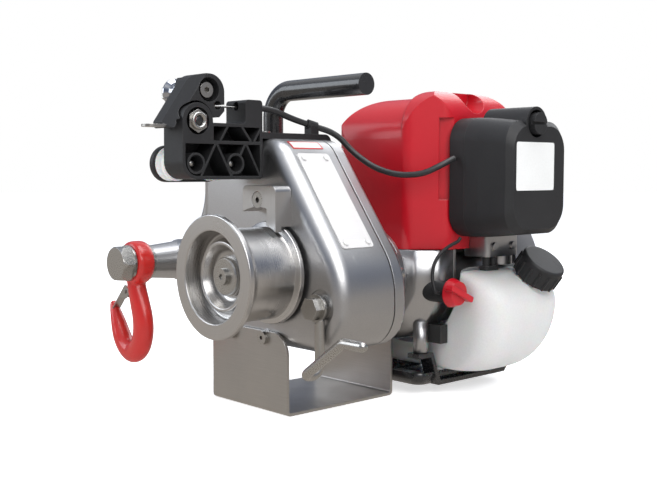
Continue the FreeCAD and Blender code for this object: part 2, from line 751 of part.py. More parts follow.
def along_z(x, y, start, end, radius):
    """Return a round bar along Z."""
    return Part.makeCylinder(radius, end - start, V(x, y, start), Z_AXIS)


def turned_y(axis, pairs, radii=None):
    """Return a solid turned about an axis along Y, from pairs of radius and Y and corner radii."""
    points = [V(axis.x + radius, y, axis.z) for radius, y in pairs]
    face = Part.Face(rounded_wire(points, radii or alike(points, 0)))
    return face.revolve(V(axis.x, 0, axis.z), Y_AXIS, FULL_TURN)


def turned_x(y, z, pairs):
    """Return a solid turned about an axis along X, from pairs of radius and X."""
    points = [V(x, y + radius, z) for radius, x in pairs]
    face = Part.Face(Part.makePolygon(points + points[:1]))
    return face.revolve(V(0, y, z), X_AXIS, FULL_TURN)


def hexagon(across):
    """Return the corner radius of a hexagon from its width across flats."""
    return across / 2 / math.cos(math.pi / HEX_SIDES)


def hex_bar(base, axis, across, length):
    """Return a six-sided bar from a base point along an axis."""
    points = []
    for index in range(HEX_SIDES):
        turn = 2 * math.pi * index / HEX_SIDES
        points.append(V(math.cos(turn), math.sin(turn), 0) * hexagon(across))
    bar = Part.Face(Part.makePolygon(points + points[:1])).extrude(V(0, 0, length))
    bar.Placement = FreeCAD.Placement(base, FreeCAD.Rotation(Z_AXIS, axis))
    return bar


def screw(seat, inward, radius, length, head_radius, head_height):
    """Return a socket-head screw whose head stands on a seat."""
    shank = Part.makeCylinder(radius, length, seat, inward)
    head = Part.makeCylinder(head_radius, head_height, seat, -inward)
    socket_across = radius * SOCKET_SHARE
    socket_depth = head_height * SOCKET_DEPTH_SHARE
    top = seat - inward * head_height
    return shank.fuse(head).cut(hex_bar(top, inward, socket_across, socket_depth)).removeSplitter()


def pin_hole(seat, inward, radius, length):
    """Return the hole that a screw's shank fills."""
    return Part.makeCylinder(radius, length, seat, inward)


def rounded_edges(shape, radius, chosen):
    """Return the shape with the chosen edges rounded."""
    edges = [edge for edge in shape.Edges if chosen(edge)]
    return shape.makeFillet(radius, edges)


def flat_at(axis_name, place):
    """Return a test for edges that lie in one plane."""
    def chosen(edge):
        tolerance = TOUCHING
        low = getattr(edge.BoundBox, axis_name + "Min")
        high = getattr(edge.BoundBox, axis_name + "Max")
        return abs(low - place) < tolerance and abs(high - place) < tolerance
    return chosen


def group(shapes):
    """Return separate solids as one node."""
    return Part.makeCompound(shapes)


def bent_rod(points, radii, radius):
    """Return a round bar along straight runs and tangent arcs."""
    path = rounded_wire(points, radii, closed=False)
    run = points[1] - points[0]
    profile = Part.Wire(Part.makeCircle(radius, points[0], run))
    return path.makePipeShell([profile], True, False)


def route_radii(points):
    """Return, for each point of a cord's route, the largest bend that its two runs allow."""
    radii = [0.0]
    for before, point, after in zip(points, points[1:], points[2:]):
        turn = (point - before).getAngle(after - point)
        shorter = min((point - before).Length, (after - point).Length)
        radii.append(BEND_RUN_SHARE * shorter / math.tan(turn / 2))
    return radii + [0.0]


def cord(name, route, radius):
    """Return a cord's tube, and print its bends and its volume against section times length."""
    points = [V(*place) for place in route]
    radii = route_radii(points)
    tube = bent_rod(points, radii, radius)
    length = rounded_wire(points, radii, closed=False).Length
    section = math.pi * radius ** 2
    print(name, "bends", [round(value, 1) for value in radii[1:-1]])
    print(name, "length", round(length, 1), "volume over section x length",
          round(tube.Volume / section / length, 4))
    return tube


# Stand

def stand_front_places():
    """Return the stand's front screws as places in the XZ plane."""
    half = STAND_SCREW_SPACING / 2
    return [V(STAND_CENTRE_X + side * half, 0, STAND_SCREW_HEIGHT) for side in (-1, 1)]


def stand_rear_places():
    """Return the stand's rear screws as places in the XZ plane."""
    return [V(x, 0, STAND_REAR_SCREW_HEIGHT) for x in STAND_REAR_SCREWS]


def stand_plate(y, height):
    """Return one upright leaf of the stand, with rounded top corners."""
    left = STAND_CENTRE_X - STAND_WIDTH / 2
    right = STAND_CENTRE_X + STAND_WIDTH / 2
    corners = in_xz([(left, 0), (right, 0), (right, height), (left, height)], y)
    radii = [0, 0, STAND_CORNER_RADIUS, STAND_CORNER_RADIUS]
    return slab(corners, radii, V(0, STAND_SHEET, 0))


def make_stand():
    """Return the folded stand with bends along X."""
    left = STAND_CENTRE_X - STAND_WIDTH / 2
    right = STAND_CENTRE_X + STAND_WIDTH / 2
    top = max(STAND_FRONT_HEIGHT, STAND_REAR_HEIGHT)
    outer = in_yz([(STAND_FRONT_Y, 0), (STAND_REAR_Y, 0), (STAND_REAR_Y, top), (STAND_FRONT_Y, top)], left)
    shell = slab(outer, [STAND_BEND_RADIUS, STAND_BEND_RADIUS, 0, 0], V(STAND_WIDTH, 0, 0))
    front = STAND_FRONT_Y + STAND_SHEET
    rear = STAND_REAR_Y - STAND_SHEET
    inner = in_yz([(front, STAND_SHEET), (rear, STAND_SHEET), (rear, top + OVERRUN),
                   (front, top + OVERRUN)], left)
    bend = STAND_BEND_RADIUS - STAND_SHEET
    channel = shell.cut(slab(inner, [bend, bend, 0, 0], V(STAND_WIDTH, 0, 0)))
    base = box(V(left, STAND_FRONT_Y, 0), V(right, STAND_REAR_Y, STAND_BEND_RADIUS))
    leaves = stand_plate(STAND_FRONT_Y, STAND_FRONT_HEIGHT).fuse(stand_plate(rear, STAND_REAR_HEIGHT))
    stand = channel.common(leaves.fuse(base))
    cuts = [along_y(ENGINE_AXIS, rear - OVERRUN, STAND_REAR_Y + OVERRUN, BELL_RADIUS + FREE_CLEARANCE)]
    for place in stand_front_places():
        cuts.append(along_y(place, STAND_FRONT_Y - OVERRUN, front + OVERRUN, STAND_SCREW_RADIUS))
    for place in stand_rear_places():
        cuts.append(along_y(place, rear - OVERRUN, STAND_REAR_Y + OVERRUN, STAND_SCREW_RADIUS))
    return stand.cut(cuts).removeSplitter()


def make_stand_screws():
    """Return the four screws that hold the stand to the housing and to the cover's posts."""
    seats = [(place + V(0, STAND_FRONT_Y, 0), Y_AXIS) for place in stand_front_places()]
    seats += [(place + V(0, STAND_REAR_Y, 0), -Y_AXIS) for place in stand_rear_places()]
    return group([screw(seat, inward, STAND_SCREW_RADIUS, STAND_SCREW_LENGTH, STAND_HEAD_RADIUS,
                        STAND_HEAD_HEIGHT)
                  for seat, inward in seats])


# Gear housing

def body_outline(inset):
    """Return the corners and radii of the housing's outline, drawn in by an inset."""
    slope = V(HOUSING_RIGHT - SLANT_TOP_X, 0, SLANT_BOTTOM_Z - HOUSING_TOP).normalize()
    normal = V(-slope.z, 0, slope.x)
    reach = normal.dot(V(SLANT_TOP_X, 0, HOUSING_TOP)) - inset
    right = HOUSING_RIGHT - inset
    top = HOUSING_TOP - inset
    left = HOUSING_LEFT + inset
    bottom = HOUSING_BOTTOM + inset
    slant_top = (reach - normal.z * top) / normal.x
    slant_bottom = (reach - normal.x * right) / normal.z
    pairs = [(left, top), (slant_top, top), (right, slant_bottom), (right, bottom), (left, bottom)]
    radii = [TOP_LEFT_RADIUS, TOP_RIGHT_RADIUS, SLANT_RADIUS, LOW_RIGHT_RADIUS, LOW_LEFT_RADIUS]
    return pairs, [radius - inset for radius in radii]


def body_slab(inset, start, end):
    """Return the housing's outline as a solid between two places along Y."""
    pairs, radii = body_outline(inset)
    return slab(in_xz(pairs, start), radii, V(0, end - start, 0))


def cover_screw_places():
    """Return the places of the screws round the joint of housing and cover."""
    inset = COVER_BOSS_INSET
    pairs, radii = body_outline(inset)
    points = in_xz(pairs, 0)
    places = []
    for index, point in enumerate(points):
        following = points[(index + 1) % len(points)]
        middle = corner(points[index - 1], point, following, radii[index])[1]
        places.append(middle)
    return places


def plate_post_places():
    """Return the places of the posts that carry the inner bearing plate."""
    return in_xz([(x, AXIS_HEIGHT + rise) for x, rise in PLATE_POST_PLACES], 0)


def arm_slab(start, end):
    """Return the ear that reaches left to the hook bolt, flared into the housing."""
    top = AXIS_HEIGHT + ARM_RADIUS
    bottom = AXIS_HEIGHT - ARM_RADIUS
    tip = HOOK_AXIS_X - ARM_RADIUS
    inner = HOUSING_LEFT + LOW_LEFT_RADIUS
    high = top + ARM_UPPER_RADIUS + ARM_RADIUS / 2
    low = bottom - ARM_LOWER_RADIUS * 2
    pairs = [(inner, high), (HOUSING_LEFT, high), (HOUSING_LEFT, top), (tip, top), (tip, bottom),
             (HOUSING_LEFT, bottom), (HOUSING_LEFT, low), (inner, low)]
    upper = min(ARM_UPPER_RADIUS, HOUSING_LEFT - tip - ARM_RADIUS)
    radii = [0, 0, upper, ARM_RADIUS, ARM_RADIUS, ARM_LOWER_RADIUS, 0, 0]
    return slab(in_xz(pairs, start), radii, V(0, end - start, 0))


def lay_shafts():
    """Return the two lay shafts' axes."""
    return [SHAFT_A, SHAFT_B]


def make_front_housing():
    """Return the front casting with its hook arm, bearing nose, posts, bosses and cavity."""
    front = HOUSING_FRONT_Y
    rear = HOUSING_REAR_Y
    outer = rounded_edges(body_slab(0, front, rear), HOUSING_FRONT_ROUND, flat_at("Y", front))
    arm_front = front + ARM_SETBACK
    arm = rounded_edges(arm_slab(arm_front, front + ARM_DEPTH), ARM_ROUND, flat_at("Y", arm_front))
    outer = outer.fuse(arm)
    boss = Part.makeCone(ARM_BOSS_RADIUS, ARM_RADIUS - HOUSING_FRONT_GAP,
                         ARM_BOSS_LENGTH + HOUSING_FRONT_ROUND,
                         V(HOOK_AXIS_X, front - ARM_BOSS_LENGTH, AXIS_HEIGHT), Y_AXIS)
    nose = along_y(DRUM_AXIS, front - NOSE_LENGTH, front + HOUSING_FRONT_WALL, NOSE_RADIUS)
    shell = outer.cut(body_slab(HOUSING_WALL, HOUSING_INNER_Y, rear + OVERRUN))
    shell = shell.fuse([boss, nose])
    inside = body_slab(HOUSING_WALL / 2, HOUSING_INNER_Y - HOUSING_WALL / 2, rear)
    extras = []
    for place in cover_screw_places():
        extras.append(along_y(place, HOUSING_INNER_Y, rear, COVER_BOSS_RADIUS).common(inside))
    for place in plate_post_places():
        extras.append(along_y(place, HOUSING_INNER_Y - TOUCHING, BEARING_PLATE_Y, PLATE_POST_RADIUS))
    for axis in lay_shafts():
        outer_radius = LAY_SHAFT_RADIUS + BEARING_WALL + BEARING_BOSS_WALL
        extras.append(along_y(axis, HOUSING_INNER_Y - TOUCHING, HOUSING_INNER_Y + BEARING_WIDTH / 2,
                              outer_radius))
    for pad in stand_front_places():
        extras.append(along_y(pad, STAND_FRONT_Y + STAND_SHEET, front + HOUSING_FRONT_ROUND,
                              STAND_POST_RADIUS))
    shell = shell.fuse(extras)
    cuts = []
    nose_front = front - NOSE_LENGTH
    seat = SHAFT_RADIUS + DRUM_BEARING_WALL
    cuts.append(along_y(DRUM_AXIS, nose_front - OVERRUN, HOUSING_INNER_Y + OVERRUN,
                        SHAFT_RADIUS + BEARING_WALL))
    cuts.append(along_y(DRUM_AXIS, nose_front - OVERRUN, nose_front + DRUM_BEARING_WIDTH, seat))
    cuts.append(along_y(DRUM_AXIS, HOUSING_INNER_Y - DRUM_BEARING_WIDTH / 2, HOUSING_INNER_Y + OVERRUN, seat))
    for axis in lay_shafts():
        start = HOUSING_INNER_Y - BEARING_WIDTH / 2
        cuts.append(along_y(axis, start, start + BEARING_WIDTH + OVERRUN, LAY_SHAFT_RADIUS + BEARING_WALL))
    entry = V(ENTRY_BOLT_X, 0, ENTRY_BOLT_Z)
    pocket_floor = front + ENTRY_POCKET_DEPTH
    cuts.append(along_y(entry, front - OVERRUN, pocket_floor, ENTRY_POCKET_RADIUS))
    cuts.append(along_y(entry, front - OVERRUN, pocket_floor + ENTRY_BOLT_LENGTH, ENTRY_BOLT_RADIUS))
    bolt_end = front + ARM_DEPTH - HOUSING_WALL
    cuts.append(along_y(HOOK_AXIS, front - ARM_BOSS_LENGTH - OVERRUN, bolt_end, HOOK_BOLT_RADIUS))
    for place in cover_screw_places():
        depth = COVER_SCREW_LENGTH - COVER_DEPTH
        cuts.append(along_y(place, rear - depth, rear + OVERRUN, COVER_SCREW_RADIUS))
    for place in plate_post_places():
        cuts.append(along_y(place, BEARING_PLATE_Y - PLATE_SCREW_LENGTH + BEARING_PLATE_THICKNESS,
                            BEARING_PLATE_Y + OVERRUN, PLATE_SCREW_RADIUS))
    stand_front = STAND_FRONT_Y + STAND_SHEET
    for hole in stand_front_places():
        cuts.append(along_y(hole, stand_front - OVERRUN, STAND_FRONT_Y + STAND_SCREW_LENGTH,
                            STAND_SCREW_RADIUS))
    exit_hole = V(EXIT_SCREW_X, 0, EXIT_SCREW_Z)
    exit_end = front - EXIT_DEPTH + EXIT_HEAD_DEPTH + EXIT_SCREW_LENGTH
    cuts.append(along_y(exit_hole, front - OVERRUN, exit_end, EXIT_SCREW_RADIUS))
    for place in foot_screw_places():
        cuts.append(pin_hole(place + V(0, 0, OVERRUN), -Z_AXIS, FOOT_SCREW_RADIUS,
                             FOOT_SCREW_LENGTH + OVERRUN))
    return shell.cut(cuts).removeSplitter()


def make_gasket():
    """Return the gasket between housing and cover, a little inside the outline."""
    ring = body_slab(GASKET_INSET, HOUSING_REAR_Y, COVER_FRONT_Y)
    ring = ring.cut(body_slab(HOUSING_WALL, HOUSING_REAR_Y - OVERRUN, COVER_FRONT_Y + OVERRUN))
    ears = [along_y(place, HOUSING_REAR_Y, COVER_FRONT_Y, COVER_BOSS_RADIUS)
            for place in cover_screw_places()]
    inside = body_slab(GASKET_INSET, HOUSING_REAR_Y, COVER_FRONT_Y)
    ring = ring.fuse([ear.common(inside) for ear in ears])
    holes = [along_y(place, HOUSING_REAR_Y - OVERRUN, COVER_FRONT_Y + OVERRUN, COVER_SCREW_RADIUS)
             for place in cover_screw_places()]
    return ring.cut(holes).removeSplitter()


def make_rear_cover():
    """Return the rear cover with bearing seats, the clutch opening and two posts for the stand."""
    cover = body_slab(0, COVER_FRONT_Y, COVER_REAR_Y)
    cover = rounded_edges(cover, COVER_ROUND, flat_at("Y", COVER_REAR_Y))
    pocket_end = COVER_REAR_Y - HOUSING_WALL
    cover = cover.cut(body_slab(HOUSING_WALL, COVER_FRONT_Y - OVERRUN, pocket_end))
    extras = []
    inside = body_slab(HOUSING_WALL / 2, COVER_FRONT_Y, pocket_end + TOUCHING)
    for place in cover_screw_places():
        extras.append(along_y(place, COVER_FRONT_Y, pocket_end + TOUCHING, COVER_BOSS_RADIUS).common(inside))
    boss_radius = LAY_SHAFT_RADIUS + BEARING_WALL + BEARING_BOSS_WALL
    extras.append(along_y(SHAFT_A, COVER_FRONT_Y, pocket_end + TOUCHING, boss_radius))
    input_boss = INPUT_SHAFT_RADIUS + BEARING_WALL + BEARING_BOSS_WALL
    extras.append(along_y(ENGINE_AXIS, COVER_FRONT_Y, pocket_end + TOUCHING, input_boss))
    for post in stand_rear_places():
        extras.append(along_y(post, pocket_end - TOUCHING, PLATE_SEAT_Y, STAND_POST_RADIUS))
    cover = cover.fuse(extras)
    cuts = [along_y(SHAFT_A, COVER_FRONT_Y - OVERRUN, COVER_FRONT_Y + BEARING_WIDTH,
                    LAY_SHAFT_RADIUS + BEARING_WALL)]
    cuts.append(along_y(ENGINE_AXIS, COVER_FRONT_Y - OVERRUN, COVER_REAR_Y + OVERRUN,
                        INPUT_SHAFT_RADIUS + BEARING_WALL))
    for place in cover_screw_places():
        cuts.append(along_y(place, COVER_FRONT_Y - OVERRUN, COVER_REAR_Y + OVERRUN, COVER_SCREW_RADIUS))
    for hole in stand_rear_places():
        cuts.append(along_y(hole, STAND_REAR_Y - STAND_SCREW_LENGTH, PLATE_SEAT_Y + OVERRUN,
                            STAND_SCREW_RADIUS))
    for place in bell_screw_places():
        seat = place + V(0, COVER_REAR_Y + BELL_FLANGE_THICKNESS, 0)
        cuts.append(pin_hole(seat, -Y_AXIS, BELL_SCREW_RADIUS, BELL_SCREW_LENGTH))
    return cover.cut(cuts).removeSplitter()


def make_cover_screws():
    """Return the screws round the cover's rim."""
    screws = []
    for place in cover_screw_places():
        seat = V(place.x, COVER_REAR_Y, place.z)
        screws.append(screw(seat, -Y_AXIS, COVER_SCREW_RADIUS, COVER_SCREW_LENGTH,
                            COVER_HEAD_RADIUS, COVER_HEAD_HEIGHT))
    return group(screws)


def make_bearing_plate():
    """Return the inner plate that carries the rear ends of the lay shafts."""
    start = BEARING_PLATE_Y
    end = start + BEARING_PLATE_THICKNESS
    plate = body_slab(HOUSING_WALL + FREE_CLEARANCE, start, end)
    cuts = []
    for place in cover_screw_places():
        cuts.append(along_y(place, start - OVERRUN, end + OVERRUN, COVER_BOSS_RADIUS + FREE_CLEARANCE))
    for place in plate_post_places():
        cuts.append(along_y(place, start - OVERRUN, end + OVERRUN, PLATE_SCREW_RADIUS))
    for axis in lay_shafts():
        cuts.append(along_y(axis, start - OVERRUN, end + OVERRUN, LAY_SHAFT_RADIUS + BEARING_WALL))
    return plate.cut(cuts).removeSplitter()


def make_plate_screws():
    """Return the screws of the inner bearing plate."""
    screws = []
    for place in plate_post_places():
        seat = V(place.x, BEARING_PLATE_Y + BEARING_PLATE_THICKNESS, place.z)
        screws.append(screw(seat, -Y_AXIS, PLATE_SCREW_RADIUS, PLATE_SCREW_LENGTH,
                            PLATE_HEAD_RADIUS, PLATE_HEAD_HEIGHT))
    return group(screws)


def make_bearings():
    """Return the ball bearings as rings: drum shaft, lay shafts and input shaft."""
    rings = []
    nose_front = HOUSING_FRONT_Y - NOSE_LENGTH
    drum_outer = SHAFT_RADIUS + DRUM_BEARING_WALL
    drum_inner = SHAFT_RADIUS + RUN_CLEARANCE
    for start in (nose_front, HOUSING_INNER_Y - DRUM_BEARING_WIDTH / 2):
        rings.append(ring_y(DRUM_AXIS, start, start + DRUM_BEARING_WIDTH, drum_outer, drum_inner))
    lay_outer = LAY_SHAFT_RADIUS + BEARING_WALL
    lay_inner = LAY_SHAFT_RADIUS + RUN_CLEARANCE
    for axis in lay_shafts():
        start = HOUSING_INNER_Y - BEARING_WIDTH / 2
        rings.append(ring_y(axis, start, start + BEARING_WIDTH, lay_outer, lay_inner))
        rings.append(ring_y(axis, BEARING_PLATE_Y, BEARING_PLATE_Y + BEARING_PLATE_THICKNESS, lay_outer,
                            lay_inner))
    rings.append(ring_y(SHAFT_A, COVER_FRONT_Y, COVER_FRONT_Y + BEARING_WIDTH, lay_outer, lay_inner))
    rings.append(ring_y(ENGINE_AXIS, COVER_FRONT_Y, COVER_REAR_Y, INPUT_SHAFT_RADIUS + BEARING_WALL,
                        INPUT_SHAFT_RADIUS + RUN_CLEARANCE))
    return group(rings)


# Gears

def spur_gear(axis, start, width, module, teeth, tooth_towards, bore):
    """Return a spur gear with a tooth centred on a direction in the XZ plane."""
    pitch = module * teeth / 2
    tip = pitch + module * ADDENDUM_SHARE
    root = pitch - module * DEDENDUM_SHARE
    step = 2 * math.pi / teeth
    marks = [(root, -TOOTH_ROOT_SHARE), (pitch, -TOOTH_PITCH_SHARE), (tip, -TOOTH_TIP_SHARE),
             (tip, TOOTH_TIP_SHARE), (pitch, TOOTH_PITCH_SHARE), (root, TOOTH_ROOT_SHARE)]
    points = []
    for index in range(teeth):
        for radius, share in marks:
            turn = tooth_towards + step * (index + share)
            points.append(V(axis.x + radius * math.cos(turn), start, axis.z + radius * math.sin(turn)))
    blank = Part.Face(Part.makePolygon(points + points[:1])).extrude(V(0, width, 0))
    return blank.cut(along_y(axis, start - OVERRUN, start + width + OVERRUN, bore))


def heading(start, end):
    """Return the direction from one axis to another in the XZ plane."""
    return math.atan2(end.z - start.z, end.x - start.x)


def make_output_gear():
    """Return the output gear, with a gap facing shaft B."""
    towards = heading(DRUM_AXIS, SHAFT_B) + math.pi / OUTPUT_GEAR_TEETH
    return spur_gear(DRUM_AXIS, OUTPUT_GEAR_Y, OUTPUT_GEAR_WIDTH, THIRD_MODULE, OUTPUT_GEAR_TEETH,
                     towards, SHAFT_RADIUS)


def make_shaft_b():
    """Return shaft B with its pinion."""
    end = BEARING_PLATE_Y + BEARING_PLATE_THICKNESS
    shaft = along_y(SHAFT_B, HOUSING_INNER_Y - BEARING_WIDTH / 2, end, LAY_SHAFT_RADIUS)
    pinion = spur_gear(SHAFT_B, OUTPUT_GEAR_Y - PINION_EXTRA_WIDTH, OUTPUT_GEAR_WIDTH + PINION_EXTRA_WIDTH,
                       THIRD_MODULE, THIRD_PINION_TEETH, heading(SHAFT_B, DRUM_AXIS), LAY_SHAFT_RADIUS)
    return shaft.fuse(pinion).removeSplitter()


def make_second_gear():
    """Return the gear on shaft B, with a gap facing shaft A."""
    towards = heading(SHAFT_B, SHAFT_A) + math.pi / SECOND_GEAR_TEETH
    return spur_gear(SHAFT_B, SECOND_GEAR_Y, SECOND_GEAR_WIDTH, SECOND_MODULE, SECOND_GEAR_TEETH,
                     towards, LAY_SHAFT_RADIUS)


def make_shaft_a():
    """Return shaft A with its pinion."""
    start = HOUSING_INNER_Y - BEARING_WIDTH / 2
    shaft = along_y(SHAFT_A, start, COVER_FRONT_Y + BEARING_WIDTH, LAY_SHAFT_RADIUS)
    pinion = spur_gear(SHAFT_A, SECOND_GEAR_Y - PINION_EXTRA_WIDTH, SECOND_GEAR_WIDTH + PINION_EXTRA_WIDTH,
                       SECOND_MODULE, SECOND_PINION_TEETH, heading(SHAFT_A, SHAFT_B), LAY_SHAFT_RADIUS)
    return shaft.fuse(pinion).removeSplitter()


def make_first_gear():
    """Return the large gear on shaft A, with a gap facing the input pinion."""
    towards = heading(SHAFT_A, ENGINE_AXIS) + math.pi / FIRST_GEAR_TEETH
    return spur_gear(SHAFT_A, FIRST_GEAR_Y, FIRST_GEAR_WIDTH, FIRST_MODULE, FIRST_GEAR_TEETH,
                     towards, LAY_SHAFT_RADIUS)


def clutch_drum_start():
    """Return where the clutch drum's web starts along Y."""
    return COVER_REAR_Y + BELL_FLANGE_THICKNESS + GEAR_SPACING


def make_clutch_drum():
    """Return the clutch drum with its shaft and the input pinion on the shaft's end."""
    start = clutch_drum_start()
    cup = along_y(ENGINE_AXIS, start, start + CLUTCH_DRUM_DEPTH, CLUTCH_DRUM_RADIUS)
    cup = cup.cut(along_y(ENGINE_AXIS, start + CLUTCH_WEB, start + CLUTCH_DRUM_DEPTH + OVERRUN,
                          CLUTCH_DRUM_RADIUS - CLUTCH_DRUM_WALL))
    shaft = along_y(ENGINE_AXIS, FIRST_GEAR_Y - PINION_EXTRA_WIDTH, start + CLUTCH_WEB, INPUT_SHAFT_RADIUS)
    pinion_root = FIRST_MODULE * (FIRST_PINION_TEETH / 2 - DEDENDUM_SHARE)
    pinion = spur_gear(ENGINE_AXIS, FIRST_GEAR_Y - PINION_EXTRA_WIDTH, FIRST_GEAR_WIDTH + PINION_EXTRA_WIDTH,
                       FIRST_MODULE, FIRST_PINION_TEETH, heading(ENGINE_AXIS, SHAFT_A), pinion_root / 2)
    return cup.fuse([shaft, pinion]).removeSplitter()


# Drum

def make_drum():
    """Return the capstan drum: flat front flange, ringed recess, waisted barrel, rear lip and hub."""
    front = DRUM_FRONT_Y
    rear = DRUM_REAR_Y
    floor = front + RECESS_DEPTH
    groove = front + GROOVE_DEPTH
    inner_ring = front + INNER_RING_DEPTH
    web = HOUSING_FRONT_Y - NOSE_LENGTH - GEAR_SPACING
    inner = BARREL_WAIST_RADIUS - DRUM_WALL
    neck = front + FLANGE_RIM + FLANGE_CONE_LENGTH
    ring = rear - RING_WIDTH
    corners = [
        (SHAFT_RADIUS, floor - DRUM_CAP_THICKNESS, 0),
        (DRUM_HUB_RADIUS, floor - DRUM_CAP_THICKNESS, 0),
        (DRUM_HUB_RADIUS, floor, 0),
        (INNER_RING_INNER_RADIUS - DISH_ROUND, floor, DISH_ROUND),
        (INNER_RING_INNER_RADIUS, inner_ring, INNER_RING_ROUND),
        (INNER_RING_OUTER_RADIUS, inner_ring, INNER_RING_ROUND),
        (GROOVE_INNER_RADIUS, groove, GROOVE_ROUND),
        (GROOVE_OUTER_RADIUS, groove, GROOVE_ROUND),
        (RECESS_RADIUS, front, FLANGE_EDGE_ROUND),
        (FLANGE_RADIUS, front, FLANGE_EDGE_ROUND),
        (FLANGE_RADIUS, front + FLANGE_RIM * 2, FLANGE_EDGE_ROUND),
        (BARREL_RADIUS, neck, BARREL_FLARE),
        (BARREL_WAIST_RADIUS, (neck + ring) / 2, 0),
        (BARREL_WAIST_RADIUS, ring - RING_WIDTH / 2, 0),
        (RING_RADIUS, ring, FLANGE_EDGE_ROUND),
        (RING_RADIUS, rear, FLANGE_EDGE_ROUND),
        (inner, rear, 0),
        (inner, web, 0),
        (SHAFT_RADIUS, web, 0),
    ]
    return turned_y(DRUM_AXIS, [(radius, y) for radius, y, _ in corners], [bend for _, _, bend in corners])


def make_drum_shaft():
    """Return the drum shaft, tapped in front for the centre screw."""
    start = DRUM_FRONT_Y + RECESS_DEPTH - DRUM_CAP_THICKNESS
    shaft = along_y(DRUM_AXIS, start, OUTPUT_GEAR_Y + OUTPUT_GEAR_WIDTH, SHAFT_RADIUS)
    return shaft.cut(along_y(DRUM_AXIS, start - OVERRUN, start + DRUM_SCREW_LENGTH - DRUM_CAP_THICKNESS,
                             DRUM_SCREW_RADIUS))


def make_drum_cap():
    """Return the round retaining washer in the drum's recess."""
    end = DRUM_FRONT_Y + RECESS_DEPTH - DRUM_CAP_THICKNESS
    start = end - DRUM_CAP_THICKNESS
    bevel = DRUM_CAP_THICKNESS / 4
    outline = [(DRUM_SCREW_RADIUS, start), (DRUM_CAP_RADIUS - bevel, start), (DRUM_CAP_RADIUS, start + bevel),
               (DRUM_CAP_RADIUS, end), (DRUM_SCREW_RADIUS, end)]
    return turned_y(DRUM_AXIS, outline)


def make_drum_screw():
    """Return the button-head screw that holds the drum on its shaft."""
    seat = V(0, DRUM_FRONT_Y + RECESS_DEPTH - 2 * DRUM_CAP_THICKNESS, AXIS_HEIGHT)
    return screw(seat, Y_AXIS, DRUM_SCREW_RADIUS, DRUM_SCREW_LENGTH, DRUM_SCREW_HEAD_RADIUS,
                 DRUM_SCREW_HEAD_HEIGHT)


# Hook

def hook_start():
    """Return where the hook's front face lies along Y."""
    return HOOK_CENTRE_Y - HOOK_THICKNESS / 2


def make_hook_bolt():
    """Return the hexagon bolt that carries the hook."""
    seat = hook_start() - HOOK_WASHER_THICKNESS
    end = HOUSING_FRONT_Y + ARM_DEPTH - HOUSING_WALL
    shank = along_y(HOOK_AXIS, seat, end, HOOK_BOLT_RADIUS)
    head = hex_bar(V(HOOK_AXIS_X, seat - HOOK_HEAD_HEIGHT, AXIS_HEIGHT), Y_AXIS, HOOK_HEAD_ACROSS,
                   HOOK_HEAD_HEIGHT)
    cone_radius = hexagon(HOOK_HEAD_ACROSS)
    crown = Part.makeCone(HOOK_HEAD_ACROSS / 2 - TOUCHING, cone_radius + HOOK_HEAD_HEIGHT,
                          HOOK_HEAD_HEIGHT * 2,
                          V(HOOK_AXIS_X, seat - HOOK_HEAD_HEIGHT, AXIS_HEIGHT), Y_AXIS)
    return shank.fuse(head.common(crown)).removeSplitter()


def make_hook_washers():
    """Return the washers in front of and behind the hook's eye."""
    front = hook_start() - HOOK_WASHER_THICKNESS
    rear = hook_start() + HOOK_THICKNESS
    reach = HOOK_WASHER_THICKNESS - FREE_CLEARANCE
    washers = [ring_y(HOOK_AXIS, start, start + reach, HOOK_WASHER_RADIUS, HOOK_BOLT_RADIUS)
               for start in (front, rear + FREE_CLEARANCE)]
    return group(washers)


def hook_bowl():
    """Return the centre of the hook's bowl."""
    return V(HOOK_AXIS_X + HOOK_BOWL_SHIFT, HOOK_CENTRE_Y, AXIS_HEIGHT - HOOK_BOWL_DROP)


def latch_pin():
    """Return the axis of the latch pin."""
    return V(HOOK_AXIS_X + LATCH_PIN_SHIFT, 0, AXIS_HEIGHT - LATCH_PIN_DROP)


def hook_tip():
    """Return the start and the end of the hook's tapered tip."""
    bowl = hook_bowl()
    start = V(bowl.x - HOOK_BOWL_RADIUS - HOOK_BACK_WIDTH / 2, HOOK_CENTRE_Y, bowl.z)
    return start, start + V(-HOOK_TIP_LEAN, 0, HOOK_TIP_HEIGHT)


